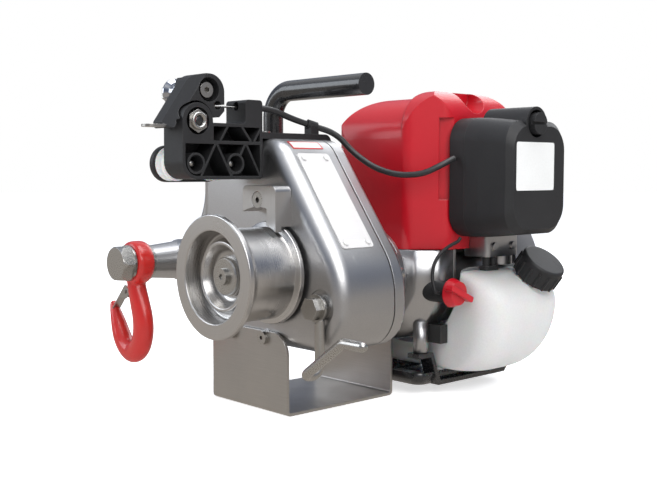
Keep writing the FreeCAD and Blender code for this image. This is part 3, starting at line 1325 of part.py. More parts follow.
def make_hook():
    """Return the forged hook: round eye, shank, bowl and tapered tip, with a lug for the latch."""
    eye = along_y(HOOK_AXIS, hook_start(), hook_start() + HOOK_THICKNESS, HOOK_EYE_OUTER)
    eye = rounded_edges(eye, HOOK_THICKNESS * HOOK_ROUND_SHARE, lambda edge: edge.Length > HOOK_EYE_OUTER)
    bowl = hook_bowl()
    reach = HOOK_BOWL_RADIUS + HOOK_BACK_WIDTH / 2
    back = V(bowl.x + reach, HOOK_CENTRE_Y, bowl.z)
    neck = V(HOOK_AXIS_X, HOOK_CENTRE_Y, AXIS_HEIGHT - (HOOK_EYE_OUTER + HOOK_EYE_INNER) / 2)
    shank = Part.makeCone(HOOK_SHANK_WIDTH / 2, HOOK_BACK_WIDTH / 2, (back - neck).Length, neck, back - neck)
    elbow = Part.makeSphere(HOOK_BACK_WIDTH / 2, back)
    half = Part.Face(Part.Wire(Part.makeCircle(HOOK_BACK_WIDTH / 2, back, Z_AXIS)))
    bend = half.revolve(bowl, Y_AXIS, FULL_TURN / 2)
    start, end = hook_tip()
    tip = Part.makeCone(HOOK_BACK_WIDTH / 2, HOOK_TIP_WIDTH / 2, (end - start).Length, start, end - start)
    corner_ball = Part.makeSphere(HOOK_BACK_WIDTH / 2, start)
    knob = Part.makeSphere(HOOK_TIP_WIDTH / 2, end)
    pin = latch_pin()
    lug_half = LATCH_WIDTH / 2 - LATCH_SHEET - FREE_CLEARANCE
    lug = along_y(pin, HOOK_CENTRE_Y - lug_half, HOOK_CENTRE_Y + lug_half, LATCH_PIN_RADIUS * 2)
    web = box(V(pin.x, HOOK_CENTRE_Y - lug_half, pin.z - LATCH_PIN_RADIUS * 2),
              V(HOOK_AXIS_X, HOOK_CENTRE_Y + lug_half, pin.z + LATCH_PIN_RADIUS * 4))
    body = eye.fuse([shank, elbow, bend, corner_ball, tip, knob, lug, web])
    end_y = hook_start() + HOOK_THICKNESS
    eye_hole = along_y(HOOK_AXIS, hook_start() - OVERRUN, end_y + OVERRUN, HOOK_EYE_INNER)
    pin_cut = along_y(pin, HOOK_CENTRE_Y - LATCH_WIDTH, HOOK_CENTRE_Y + LATCH_WIDTH, LATCH_PIN_RADIUS)
    return body.cut([eye_hole, pin_cut]).removeSplitter()


def latch_frame():
    """Return the latch's run: its length and its direction from the pin to the hook's tip."""
    pin = latch_pin()
    tip = hook_tip()[1]
    aim = V(tip.x + HOOK_TIP_WIDTH / 2 + LATCH_GAP, 0, tip.z)
    return (aim - pin).Length, (aim - pin).normalize()


def make_latch():
    """Return the folded sheet latch: a web along the throat and two ears on the pin."""
    pin = latch_pin()
    length, course = latch_frame()
    side = V(course.z, 0, -course.x)
    if side.x > 0:
        side = -side
    half = LATCH_WIDTH / 2
    start = pin + V(0, HOOK_CENTRE_Y - half, 0)
    ear_radius = LATCH_PIN_RADIUS * 2 + LATCH_SHEET
    back = start + side * ear_radius
    web_points = [back, back + course * length, back + course * length - side * LATCH_SHEET,
                  back - side * LATCH_SHEET]
    web = slab(web_points, alike(web_points, 0), V(0, LATCH_WIDTH, 0))
    reach = length * LATCH_EAR_SHARE
    ear_points = [start - side * ear_radius - course * ear_radius, back - course * ear_radius,
                  back + course * reach, start - side * ear_radius + course * ear_radius]
    ears = []
    for offset in (0, LATCH_WIDTH - LATCH_SHEET):
        shift = V(0, offset, 0)
        points = [point + shift for point in ear_points]
        ears.append(slab(points, [ear_radius / 2, ear_radius / 2, 0, ear_radius / 2], V(0, LATCH_SHEET, 0)))
    latch = web.fuse(ears)
    hole = along_y(pin, HOOK_CENTRE_Y - LATCH_WIDTH, HOOK_CENTRE_Y + LATCH_WIDTH,
                   LATCH_PIN_RADIUS + RUN_CLEARANCE)
    return latch.cut(hole).removeSplitter()


def make_latch_pin():
    """Return the pin through the hook's lug and the latch."""
    reach = LATCH_WIDTH / 2 + LATCH_SHEET
    return along_y(latch_pin(), HOOK_CENTRE_Y - reach, HOOK_CENTRE_Y + reach, LATCH_PIN_RADIUS)


# Rope guides on the housing face

def make_exit_guide():
    """Return the cast rope exit guide, hollowed over the drum, with its stripping finger."""
    front = HOUSING_FRONT_Y - EXIT_DEPTH
    low = AXIS_HEIGHT + BARREL_RADIUS / 2
    pairs = [(EXIT_LEFT, low), (EXIT_RIGHT, low), (EXIT_RIGHT, EXIT_TOP), (EXIT_LEFT, EXIT_TOP)]
    radii = [0, 0, EXIT_CORNER_RADIUS, EXIT_CORNER_RADIUS]
    block = slab(in_xz(pairs, front), radii, V(0, EXIT_DEPTH, 0))
    upper = block.cut(along_y(DRUM_AXIS, front - OVERRUN, HOUSING_FRONT_Y + OVERRUN, EXIT_ARC_RADIUS))
    finger_pairs = [(EXIT_RIGHT - EXIT_FINGER_WIDTH, low), (EXIT_RIGHT, low),
                    (EXIT_RIGHT, EXIT_TOP - EXIT_CORNER_RADIUS),
                    (EXIT_RIGHT - EXIT_FINGER_WIDTH, EXIT_TOP - EXIT_CORNER_RADIUS)]
    finger = slab(in_xz(finger_pairs, front), alike(finger_pairs, 0), V(0, EXIT_FINGER_DEPTH, 0))
    finger = finger.cut(along_y(DRUM_AXIS, front - OVERRUN, HOUSING_FRONT_Y, BARREL_RADIUS + EXIT_GAP))
    shelf = slab(in_xz(finger_pairs, front), alike(finger_pairs, 0), V(0, EXIT_DEPTH, 0))
    shelf = shelf.cut(along_y(DRUM_AXIS, front - OVERRUN, HOUSING_FRONT_Y + OVERRUN, RING_RADIUS + EXIT_GAP))
    guide = upper.fuse([finger, shelf])
    place = V(EXIT_SCREW_X, 0, EXIT_SCREW_Z)
    guide = guide.cut(along_y(place, front - OVERRUN, front + EXIT_HEAD_DEPTH,
                              EXIT_HEAD_RADIUS + FREE_CLEARANCE))
    return guide.cut(along_y(place, front, HOUSING_FRONT_Y + OVERRUN, EXIT_SCREW_RADIUS)).removeSplitter()


def make_exit_screw():
    """Return the sunk socket screw of the rope exit guide."""
    seat = V(EXIT_SCREW_X, HOUSING_FRONT_Y - EXIT_DEPTH + EXIT_HEAD_DEPTH, EXIT_SCREW_Z)
    return screw(seat, Y_AXIS, EXIT_SCREW_RADIUS, EXIT_SCREW_LENGTH, EXIT_HEAD_RADIUS,
                 EXIT_HEAD_DEPTH - FREE_CLEARANCE)


def entry_seat():
    """Return where the entry guide's eye meets the housing along Y."""
    return HOUSING_FRONT_Y + ENTRY_POCKET_DEPTH


def make_entry_guide():
    """Return the bent rod that leads the rope in, with a flattened eye under its bolt."""
    rear = entry_seat()
    rod_y = HOUSING_FRONT_Y - ENTRY_ROD_RADIUS - FREE_CLEARANCE
    eye_bottom = ENTRY_BOLT_Z - ENTRY_EYE_RADIUS / 2
    front_y = rod_y - ENTRY_LOOP_DEPTH
    points = [V(ENTRY_LEG_X, rod_y, eye_bottom), V(ENTRY_LEG_X, rod_y, ENTRY_LOOP_BOTTOM),
              V(ENTRY_LEG_X, front_y, ENTRY_LOOP_BOTTOM), V(ENTRY_RISE_X, front_y, ENTRY_TIP_Z),
              V(ENTRY_TIP_X, front_y, ENTRY_TIP_Z)]
    radii = [0, ENTRY_BEND_RADIUS, ENTRY_BEND_RADIUS, ENTRY_BEND_RADIUS, 0]
    rod = bent_rod(points, radii, ENTRY_ROD_RADIUS)
    bolt = V(ENTRY_BOLT_X, 0, ENTRY_BOLT_Z)
    eye = along_y(bolt, rear - ENTRY_EYE_THICKNESS, rear, ENTRY_EYE_RADIUS)
    knob = Part.makeSphere(ENTRY_ROD_RADIUS, points[-1])
    rod = rod.cut(along_y(bolt, rear, rear + ENTRY_ROD_RADIUS * 2, ENTRY_POCKET_RADIUS * 2))
    clear = along_y(bolt, rod_y - ENTRY_ROD_RADIUS * 2, rear - ENTRY_EYE_THICKNESS,
                    ENTRY_WASHER_RADIUS + FREE_CLEARANCE)
    guide = rod.cut(clear).fuse([eye, knob])
    return guide.cut(along_y(bolt, rear - ENTRY_EYE_THICKNESS - OVERRUN, rear + OVERRUN,
                             ENTRY_BOLT_RADIUS)).removeSplitter()


def make_entry_bolt():
    """Return the hexagon bolt and washer of the rope entry guide."""
    rear = entry_seat()
    bolt = V(ENTRY_BOLT_X, 0, ENTRY_BOLT_Z)
    washer_end = rear - ENTRY_EYE_THICKNESS
    washer = along_y(bolt, washer_end - ENTRY_WASHER_THICKNESS, washer_end, ENTRY_WASHER_RADIUS)
    shank = along_y(bolt, washer_end, rear + ENTRY_BOLT_LENGTH, ENTRY_BOLT_RADIUS)
    head = hex_bar(V(ENTRY_BOLT_X, washer_end - ENTRY_WASHER_THICKNESS - ENTRY_BOLT_HEAD_HEIGHT,
                     ENTRY_BOLT_Z),
                   Y_AXIS, ENTRY_BOLT_HEAD_ACROSS, ENTRY_BOLT_HEAD_HEIGHT)
    return washer.fuse([shank, head]).removeSplitter()


# Name plate

def plate_frame():
    """Return the plate's centre on the slanted wall, the way down the wall and the wall's outward normal."""
    top = V(SLANT_TOP_X, PLATE_CENTRE_Y, HOUSING_TOP)
    bottom = V(HOUSING_RIGHT, PLATE_CENTRE_Y, SLANT_BOTTOM_Z)
    down = (bottom - top).normalize()
    normal = V(-down.z, 0, down.x)
    return top + (bottom - top) * PLATE_DOWN_SHARE, down, normal


def plate_points(inset):
    """Return the plate's four corners, drawn in by an inset."""
    centre, down, normal = plate_frame()
    half_length = down * (PLATE_LENGTH / 2 - inset)
    half_width = Y_AXIS * (PLATE_WIDTH / 2 - inset)
    return [centre - half_length - half_width, centre - half_length + half_width,
            centre + half_length + half_width, centre + half_length - half_width]


def make_name_plate():
    """Return the bare plate on the slanted wall."""
    points = plate_points(0)
    normal = plate_frame()[2]
    plate = slab(points, alike(points, PLATE_CORNER_RADIUS), normal * PLATE_THICKNESS)
    for place in plate_points(RIVET_INSET):
        plate = plate.cut(Part.makeCylinder(RIVET_RADIUS / 2, PLATE_THICKNESS + OVERRUN, place, normal))
    return plate


def make_plate_rivets():
    """Return the plate's four rivets."""
    normal = plate_frame()[2]
    rivets = []
    for place in plate_points(RIVET_INSET):
        head = Part.makeCylinder(RIVET_RADIUS, RIVET_HEIGHT, place + normal * PLATE_THICKNESS, normal)
        pin = Part.makeCylinder(RIVET_RADIUS / 2, PLATE_THICKNESS, place, normal)
        rivets.append(head.fuse(pin).removeSplitter())
    return group(rivets)


# Throttle bracket, rollers and cam

def bracket_left():
    """Return the X of the bracket's hidden face."""
    return BRACKET_RIGHT - BRACKET_DEPTH


def stud_places():
    """Return the Y of the two studs."""
    return [STUD_Y, STUD_Y + STUD_SPACING]


def rib_between(start, end):
    """Return one straight rib of the bracket between two places in the YZ plane."""
    run = (end - start).normalize()
    side = V(0, -run.z, run.y) * (RIB / 2)
    points = [start + side, start - side, end - side, end + side]
    return slab(points, alike(points, 0), V(BRACKET_DEPTH - BRACKET_WEB, 0, 0))


def make_guide_bracket():
    """Return the moulded bracket: arch, cable stop, pockets with triangular ribs and two stud bosses."""
    left = bracket_left()
    pairs = [(BRACKET_FRONT, BRACKET_BOTTOM), (BRACKET_REAR, BRACKET_BOTTOM), (BRACKET_REAR, STOP_TOP),
             (STOP_FRONT, STOP_TOP), (STOP_FRONT, BRACKET_TOP), (PIVOT_Y + ARCH_RADIUS, BRACKET_TOP),
             (PIVOT_Y + ARCH_RADIUS, PIVOT_Z + ARCH_RADIUS), (PIVOT_Y - ARCH_RADIUS, PIVOT_Z + ARCH_RADIUS)]
    arch = ARCH_RADIUS - TOUCHING
    radii = [BRACKET_CORNER_RADIUS, STOP_RADIUS, STOP_RADIUS, STOP_RADIUS, STOP_RADIUS, 0, arch, arch]
    body = slab(in_yz(pairs, left), radii, V(BRACKET_DEPTH, 0, 0))
    floor = left + BRACKET_WEB
    depth = V(BRACKET_DEPTH, 0, 0)
    low = BRACKET_BOTTOM + BRACKET_WALL
    rear = BRACKET_REAR - BRACKET_WALL
    lower_front = BRACKET_FRONT + BRACKET_WALL
    half_rib = BRACKET_WALL / 2
    lower_pairs = [(lower_front, low), (rear, low), (rear, MID_RIB_Z - half_rib),
                   (lower_front, MID_RIB_Z - half_rib)]
    lower_radii = [BRACKET_CORNER_RADIUS - BRACKET_WALL, 0, 0, 0]
    lower = slab(in_yz(lower_pairs, floor), lower_radii, depth)
    upper_low = MID_RIB_Z + half_rib
    upper_top = BRACKET_TOP - BRACKET_WALL
    upper_pairs = [(BRACKET_NECK_Y, upper_low), (rear, upper_low), (rear, upper_top),
                   (BRACKET_NECK_Y, upper_top)]
    upper = slab(in_yz(upper_pairs, floor), alike(upper_pairs, 0), depth)
    body = body.cut([lower, upper])
    ribs = []
    lower_span = rear - lower_front
    lower_rise = MID_RIB_Z - low
    for first, second in zip(LOWER_RIB_SHARES, LOWER_RIB_SHARES[1:]):
        ends = [V(floor, lower_front + lower_span * along, low + lower_rise * up)
                for along, up in (first, second)]
        ribs.append(rib_between(*ends).common(lower))
    upper_span = rear - BRACKET_NECK_Y
    upper_rise = upper_top - upper_low
    for pair in UPPER_RIB_SHARES:
        ends = [V(floor, BRACKET_NECK_Y + upper_span * along, upper_low + upper_rise * up)
                for along, up in pair]
        ribs.append(rib_between(*ends).common(upper))
    bosses = [along_x(y, STUD_Z, left, BRACKET_RIGHT, STUD_BOSS_RADIUS).common(lower) for y in stud_places()]
    body = body.fuse(ribs + bosses)
    cuts = []
    for y in stud_places():
        cuts.append(along_x(y, STUD_Z, floor, BRACKET_RIGHT + OVERRUN, STUD_BOSS_RADIUS - RIB))
        cuts.append(along_x(y, STUD_Z, left - OVERRUN, floor + OVERRUN, STUD_RADIUS))
    nut_floor = BRACKET_RIGHT - PIVOT_NUT_HEIGHT
    cuts.append(along_x(PIVOT_Y, PIVOT_Z, nut_floor, BRACKET_RIGHT + OVERRUN, NUT_RECESS_RADIUS))
    cuts.append(along_x(PIVOT_Y, PIVOT_Z, left - OVERRUN, BRACKET_RIGHT, PIVOT_BOLT_RADIUS))
    wire_x = CABLE_ROUTE[0][0]
    wire_z = CABLE_ROUTE[0][2]
    cuts.append(Part.makeCylinder(WIRE_BORE_RADIUS, BRACKET_REAR - STOP_FRONT + OVERRUN * 2,
                                  V(wire_x, STOP_FRONT - OVERRUN, wire_z), Y_AXIS))
    return body.cut(cuts).removeSplitter()


def make_bracket_studs():
    """Return the two studs that carry the rollers and the rear plate."""
    left = bracket_left() - FREE_CLEARANCE * 2 - ROLLER_WIDTH - REAR_PLATE_THICKNESS
    right = bracket_left() + BRACKET_WEB + STUD_HEAD_HEIGHT
    studs = []
    for y in stud_places():
        bar = along_x(y, STUD_Z, left, right, STUD_RADIUS)
        head = along_x(y, STUD_Z, bracket_left() + BRACKET_WEB, right, STUD_HEAD_RADIUS)
        studs.append(bar.fuse(head).removeSplitter())
    return group(studs)


def make_guide_roller(y):
    """Return one white grooved roller."""
    right = bracket_left() - FREE_CLEARANCE
    left = right - ROLLER_WIDTH
    bore = STUD_RADIUS + RUN_CLEARANCE
    outline = [(bore, left), (ROLLER_RADIUS, left), (ROLLER_RADIUS, left + ROLLER_FLANGE),
               (ROLLER_GROOVE_RADIUS, left + ROLLER_FLANGE * 2),
               (ROLLER_GROOVE_RADIUS, right - ROLLER_FLANGE * 2),
               (ROLLER_RADIUS, right - ROLLER_FLANGE), (ROLLER_RADIUS, right), (bore, right)]
    return turned_x(y, STUD_Z, outline)


def make_rear_plate():
    """Return the black plate behind the rollers, with a round front end."""
    right = bracket_left() - FREE_CLEARANCE * 2 - ROLLER_WIDTH
    left = right - REAR_PLATE_THICKNESS
    front = STUD_Y - REAR_PLATE_RADIUS
    rear = STUD_Y + STUD_SPACING + REAR_PLATE_RADIUS
    pairs = [(front, STUD_Z - REAR_PLATE_RADIUS), (rear, STUD_Z - REAR_PLATE_RADIUS),
             (rear, STUD_Z + REAR_PLATE_RADIUS), (front, STUD_Z + REAR_PLATE_RADIUS)]
    plate = slab(in_yz(pairs, left), alike(pairs, REAR_PLATE_RADIUS - TOUCHING),
                 V(REAR_PLATE_THICKNESS, 0, 0))
    holes = [along_x(y, STUD_Z, left - OVERRUN, right + OVERRUN, STUD_RADIUS) for y in stud_places()]
    return plate.cut(holes).removeSplitter()


def cam_cheek_left():
    """Return the X of the cam cheek's outer face."""
    return bracket_left() - FREE_CLEARANCE - CAM_CHEEK


def make_pivot_bolt():
    """Return the cam's pivot bolt with its head behind the cheek."""
    left = cam_cheek_left() - FREE_CLEARANCE
    bar = along_x(PIVOT_Y, PIVOT_Z, left, BRACKET_RIGHT - PIVOT_BOLT_SETBACK, PIVOT_BOLT_RADIUS)
    head = along_x(PIVOT_Y, PIVOT_Z, left - SPOOL_FLANGE, left, CAM_CHEEK_RADIUS - OVERRUN)
    return bar.fuse(head).removeSplitter()


def make_pivot_nut():
    """Return the lock nut in the bracket's recess."""
    start = BRACKET_RIGHT - PIVOT_NUT_HEIGHT
    nut = hex_bar(V(start, PIVOT_Y, PIVOT_Z), X_AXIS, PIVOT_NUT_ACROSS, PIVOT_NUT_HEIGHT + FREE_CLEARANCE)
    return nut.cut(along_x(PIVOT_Y, PIVOT_Z, start - OVERRUN, BRACKET_RIGHT + OVERRUN, PIVOT_BOLT_RADIUS))


def make_cam_lever():
    """Return the cam lever: a hooked body over the arch, with a cheek down to the pivot."""
    right = BRACKET_RIGHT - CAM_RIGHT_INSET
    left = bracket_left()
    pairs = [(CAM_REAR, CAM_HEEL_Z + CAM_CHEEK), (CAM_REAR, CAM_TOP), (CAM_NOSE_Y, CAM_TOP),
             (CAM_ARM_Y, CAM_ARM_Z),
             (CAM_TIP_Y, CAM_TIP_Z), (CAM_INNER_Y, CAM_INNER_Z), (PIVOT_Y, PIVOT_Z), (CAM_HEEL_Y, CAM_HEEL_Z),
             (CAM_REAR - CAM_CHEEK, CAM_HEEL_Z)]
    radii = [0, CAM_TOP_RADIUS, CAM_NOSE_RADIUS, CAM_ARM_ROUND, CAM_ARM_ROUND, CAM_ARM_ROUND, 0, 0, 0]
    body = slab(in_yz(pairs, left), radii, V(right - left, 0, 0))
    lead = OVERRUN / CAM_BEVEL_DEPTH
    bevel_pairs = [(right + CAM_BEVEL_DEPTH * lead, CAM_BEVEL * (1 + lead)),
                   (right + CAM_BEVEL_DEPTH * lead, -CAM_BEVEL * lead),
                   (right - CAM_BEVEL_DEPTH * (1 + lead), -CAM_BEVEL * lead)]
    slope = V(0, CAM_ARM_Y - CAM_NOSE_Y, CAM_ARM_Z - CAM_TOP).normalize()
    outward = V(0, slope.z, -slope.y)
    reach = CAM_TOP - CAM_TIP_Z
    edge = V(0, CAM_ARM_Y, CAM_ARM_Z) + slope * reach
    points = [V(x, 0, 0) + edge - outward * inward for x, inward in bevel_pairs]
    bevel = slab(points, alike(points, 0), slope * -(reach * 3))
    body = body.cut(along_x(PIVOT_Y, PIVOT_Z, left - OVERRUN, right + OVERRUN, ARCH_RADIUS + CAM_CLEARANCE))
    cheek_left = cam_cheek_left()
    cheek_pairs = [(PIVOT_Y - CAM_CHEEK_RADIUS, PIVOT_Z - CAM_CHEEK_RADIUS),
                   (PIVOT_Y + CAM_CHEEK_RADIUS, PIVOT_Z - CAM_CHEEK_RADIUS),
                   (SPOOL_Y + CAM_CHEEK_RADIUS, SPOOL_Z + CAM_CHEEK_RADIUS),
                   (SPOOL_Y - CAM_CHEEK_RADIUS, SPOOL_Z + CAM_CHEEK_RADIUS)]
    cheek = slab(in_yz(cheek_pairs, cheek_left), alike(cheek_pairs, CAM_CHEEK_RADIUS / 2), V(CAM_CHEEK, 0, 0))
    filler_pairs = [(SPOOL_Y - CAM_CHEEK_RADIUS, PIVOT_Z + ARCH_RADIUS + CAM_CLEARANCE + FREE_CLEARANCE),
                    (SPOOL_Y + CAM_CHEEK_RADIUS, PIVOT_Z + ARCH_RADIUS + CAM_CLEARANCE + FREE_CLEARANCE),
                    (SPOOL_Y + CAM_CHEEK_RADIUS, SPOOL_Z + CAM_CHEEK_RADIUS),
                    (SPOOL_Y - CAM_CHEEK_RADIUS, SPOOL_Z + CAM_CHEEK_RADIUS)]
    filler = slab(in_yz(filler_pairs, cheek_left), alike(filler_pairs, RIB),
                  V(left - cheek_left + OVERRUN, 0, 0))
    cam = body.fuse([cheek, filler])
    cuts = [along_x(PIVOT_Y, PIVOT_Z, cheek_left - OVERRUN, left + OVERRUN,
                    PIVOT_BOLT_RADIUS + RUN_CLEARANCE)]
    cuts.append(along_x(SPOOL_Y, SPOOL_Z, right - SPOOL_RECESS_DEPTH, right + OVERRUN, SPOOL_RECESS_RADIUS))
    cuts.append(along_x(SPOOL_Y, SPOOL_Z, cheek_left - OVERRUN, right, SPOOL_BOLT_RADIUS))
    wire_x = CABLE_ROUTE[0][0]
    nipple_end = wire_x + NIPPLE_LENGTH / 2 + NIPPLE_CLEARANCE
    cuts.append(along_x(WIRE_Y, WIRE_Z, wire_x - NIPPLE_LENGTH / 2 - NIPPLE_CLEARANCE, right + OVERRUN,
                        NIPPLE_RADIUS + NIPPLE_CLEARANCE))
    cuts.append(box(V(wire_x - WIRE_SLIT / 2, WIRE_Y, WIRE_Z - WIRE_SLIT),
                    V(wire_x + WIRE_SLIT / 2, CAM_REAR + OVERRUN,
                                                                           WIRE_Z + WIRE_SLIT)))
    cuts.append(box(V(nipple_end - WIRE_SLIT, WIRE_Y, WIRE_Z - WIRE_RADIUS),
                    V(right + OVERRUN, CAM_REAR + OVERRUN,
                                                                            WIRE_Z + WIRE_RADIUS)))
    cuts.append(tab_blade())
    cuts.append(bevel)
    for cut in cuts:
        cam = cam.cut(cut)
    return cam


def tab_blade():
    """Return the flat thumb tab with its rounded end, whose root sits in the cam's arm."""
    middle = bracket_left() + TAB_PLACE
    front = CAM_ARM_Y - TAB_LENGTH
    back = CAM_ARM_Y + TAB_GRIP
    half = TAB_WIDTH / 2
    pairs = [(middle - half, front), (middle + half, front), (middle + half, back), (middle - half, back)]
    points = in_xy(pairs, CAM_ARM_Z - TAB_THICKNESS * 2)
    return slab(points, [TAB_ROUND, TAB_ROUND, 0, 0], V(0, 0, TAB_THICKNESS))


def make_cam_tab():
    """Return the steel thumb tab."""
    return tab_blade()


def make_spool_bolt():
    """Return the socket-head bolt that carries the chromed spool."""
    right = BRACKET_RIGHT - CAM_RIGHT_INSET - SPOOL_RECESS_DEPTH
    end = cam_cheek_left() - FREE_CLEARANCE * 2 - SPOOL_WIDTH - SPOOL_HUB_LENGTH
    seat = V(right, SPOOL_Y, SPOOL_Z)
    return screw(seat, -X_AXIS, SPOOL_BOLT_RADIUS, right - end, SPOOL_HEAD_RADIUS, SPOOL_HEAD_HEIGHT)


def make_spool():
    """Return the chromed spool on the cam bolt."""
    right = cam_cheek_left() - FREE_CLEARANCE
    left = right - SPOOL_WIDTH
    bore = SPOOL_BOLT_RADIUS + RUN_CLEARANCE
    outline = [(bore, left), (SPOOL_FLANGE_RADIUS - SPOOL_FLANGE / 2, left),
               (SPOOL_FLANGE_RADIUS, left + SPOOL_FLANGE / 2),
               (SPOOL_FLANGE_RADIUS, left + SPOOL_FLANGE), (SPOOL_RADIUS, left + SPOOL_FLANGE * 2),
               (SPOOL_RADIUS, right - SPOOL_FLANGE * 2), (SPOOL_FLANGE_RADIUS, right - SPOOL_FLANGE),
               (SPOOL_FLANGE_RADIUS, right), (bore, right)]
    return turned_x(SPOOL_Y, SPOOL_Z, outline)


def make_spool_nut():
    """Return the nut on the outer end of the spool bolt."""
    start = cam_cheek_left() - FREE_CLEARANCE * 2 - SPOOL_WIDTH - SPOOL_HUB_LENGTH
    nut = hex_bar(V(start, SPOOL_Y, SPOOL_Z), X_AXIS, SPOOL_RADIUS * 2 - SPOOL_FLANGE, SPOOL_HUB_LENGTH)
    return nut.cut(along_x(SPOOL_Y, SPOOL_Z, start - OVERRUN, start + SPOOL_HUB_LENGTH + OVERRUN,
                           SPOOL_BOLT_RADIUS))


def make_throttle_wire():
    """Return the inner wire with its nipple in the cam."""
    wire_x = CABLE_ROUTE[0][0]
    nipple = along_x(WIRE_Y, WIRE_Z, wire_x - NIPPLE_LENGTH / 2, wire_x + NIPPLE_LENGTH / 2, NIPPLE_RADIUS)
    wire = Part.makeCylinder(WIRE_RADIUS, WIRE_REACH, V(wire_x, WIRE_Y, WIRE_Z), Y_AXIS)
    return nipple.fuse(wire).removeSplitter()


def make_throttle_cable():
    """Return the cable's outer sheath on its route from the bracket to the carburettor."""
    return cord("throttle cable", CABLE_ROUTE, CABLE_RADIUS)


# Handle, strap and clip

def foot_centre():
    """Return the middle of the handle foot's underside."""
    return V(HANDLE_LEG_X, HANDLE_Y - FOOT_WIDTH / 2, HOUSING_TOP)


def foot_screw_places():
    """Return the tops of the two screw holes under the handle's foot."""
    centre = foot_centre()
    return [centre + V(side * FOOT_SCREW_OFFSET, -FOOT_SCREW_DROP, 0) for side in (-1, 1)]


def make_handle_foot():
    """Return the flat foot that the handle's leg stands on."""
    low_y = HANDLE_Y - FOOT_WIDTH - FOOT_SCREW_DROP
    pairs = [(HANDLE_LEG_X - FOOT_LENGTH / 2, low_y), (HANDLE_LEG_X + FOOT_LENGTH / 2, low_y),
             (HANDLE_LEG_X + FOOT_LENGTH / 2, HANDLE_Y + HANDLE_RADIUS),
             (HANDLE_LEG_X - FOOT_LENGTH / 2, HANDLE_Y + HANDLE_RADIUS)]
    foot = slab(in_xy(pairs, HOUSING_TOP), alike(pairs, FOOT_THICKNESS), V(0, 0, FOOT_THICKNESS))
    for place in foot_screw_places():
        foot = foot.cut(along_z(place.x, place.y, HOUSING_TOP - OVERRUN,
                                HOUSING_TOP + FOOT_THICKNESS + OVERRUN, FOOT_SCREW_RADIUS))
    return foot


def make_foot_screws():
    """Return the screws of the handle's foot."""
    return group([screw(place + V(0, 0, FOOT_THICKNESS), -Z_AXIS, FOOT_SCREW_RADIUS,
                        FOOT_SCREW_LENGTH + FOOT_THICKNESS,
                        FOOT_HEAD_RADIUS, FOOT_HEAD_HEIGHT) for place in foot_screw_places()])


def make_handle():
    """Return the bent handle tube, open at its free end."""
    foot = V(HANDLE_LEG_X, HANDLE_Y, HOUSING_TOP + FOOT_THICKNESS)
    bend = V(HANDLE_LEG_X, HANDLE_Y, HANDLE_Z)
    end = V(HANDLE_END_X - HANDLE_PLUG_LIP, HANDLE_Y, HANDLE_Z)
    points = [foot, bend, end]
    radii = [0, HANDLE_BEND_RADIUS, 0]
    tube = bent_rod(points, radii, HANDLE_RADIUS)
    bore = HANDLE_RADIUS - HANDLE_WALL
    return tube.cut(along_x(HANDLE_Y, HANDLE_Z, end.x - HANDLE_PLUG_LENGTH, end.x + OVERRUN, bore))


def make_handle_plug():
    """Return the plug in the handle's free end."""
    end = HANDLE_END_X - HANDLE_PLUG_LIP
    plug = along_x(HANDLE_Y, HANDLE_Z, end - HANDLE_PLUG_LENGTH, end, HANDLE_RADIUS - HANDLE_WALL)
    lip = along_x(HANDLE_Y, HANDLE_Z, end, HANDLE_END_X, HANDLE_RADIUS)
    return plug.fuse(lip).removeSplitter()


def make_top_strap():
    """Return the black strap along the housing's top, bent down over the cover."""
    left = STRAP_CENTRE_X - STRAP_WIDTH / 2
    front = BRACKET_REAR
    back = COVER_REAR_Y
    top = HOUSING_TOP + STRAP_THICKNESS
    pairs = [(front, HOUSING_TOP), (back, HOUSING_TOP), (back, HOUSING_TOP - STRAP_DROP),
             (back + STRAP_THICKNESS, HOUSING_TOP - STRAP_DROP), (back + STRAP_THICKNESS, top), (front, top)]
    radii = [0, 0, 0, 0, STRAP_BEND_RADIUS, 0]
    return slab(in_yz(pairs, left), radii, V(STRAP_WIDTH, 0, 0))


def clip_frame():
    """Return the cable's middle at the clip, and its course there."""
    points = [V(*place) for place in CABLE_ROUTE]
    radius = route_radii(points)[CLIP_INDEX]
    before, point, after = points[CLIP_INDEX - 1:CLIP_INDEX + 2]
    middle = corner(before, point, after, radius)[1]
    towards = (before - point).normalize()
    away = (after - point).normalize()
    return middle, (away - towards).normalize()


def make_cable_clip():
    """Return the saddle that holds the cable on the strap."""
    middle, course = clip_frame()
    outer = CABLE_RADIUS + FREE_CLEARANCE + CLIP_SHEET
    half = CLIP_WIDTH / 2
    start = middle - course * half
    ring = Part.makeCylinder(outer, CLIP_WIDTH, start, course)
    top = HOUSING_TOP + STRAP_THICKNESS
    foot = box(V(middle.x - outer, middle.y - half, top), V(middle.x + outer, middle.y + half, middle.z))
    bore = Part.makeCylinder(CABLE_RADIUS + FREE_CLEARANCE, CLIP_WIDTH * 3,
                             middle - course * CLIP_WIDTH * 3 / 2, course)
    return ring.fuse(foot).cut(bore).removeSplitter()


# Clutch

def bell_screw_places():
    """Return the bell's screws on a circle about the engine's axis."""
    places = []
    for index in range(BELL_SCREW_COUNT):
        turn = FULL_TURN_RADIANS * (index + BELL_SCREW_SHARE) / BELL_SCREW_COUNT
        places.append(ENGINE_AXIS + V(math.cos(turn), 0, math.sin(turn)) * BELL_SCREW_CIRCLE)
    return places


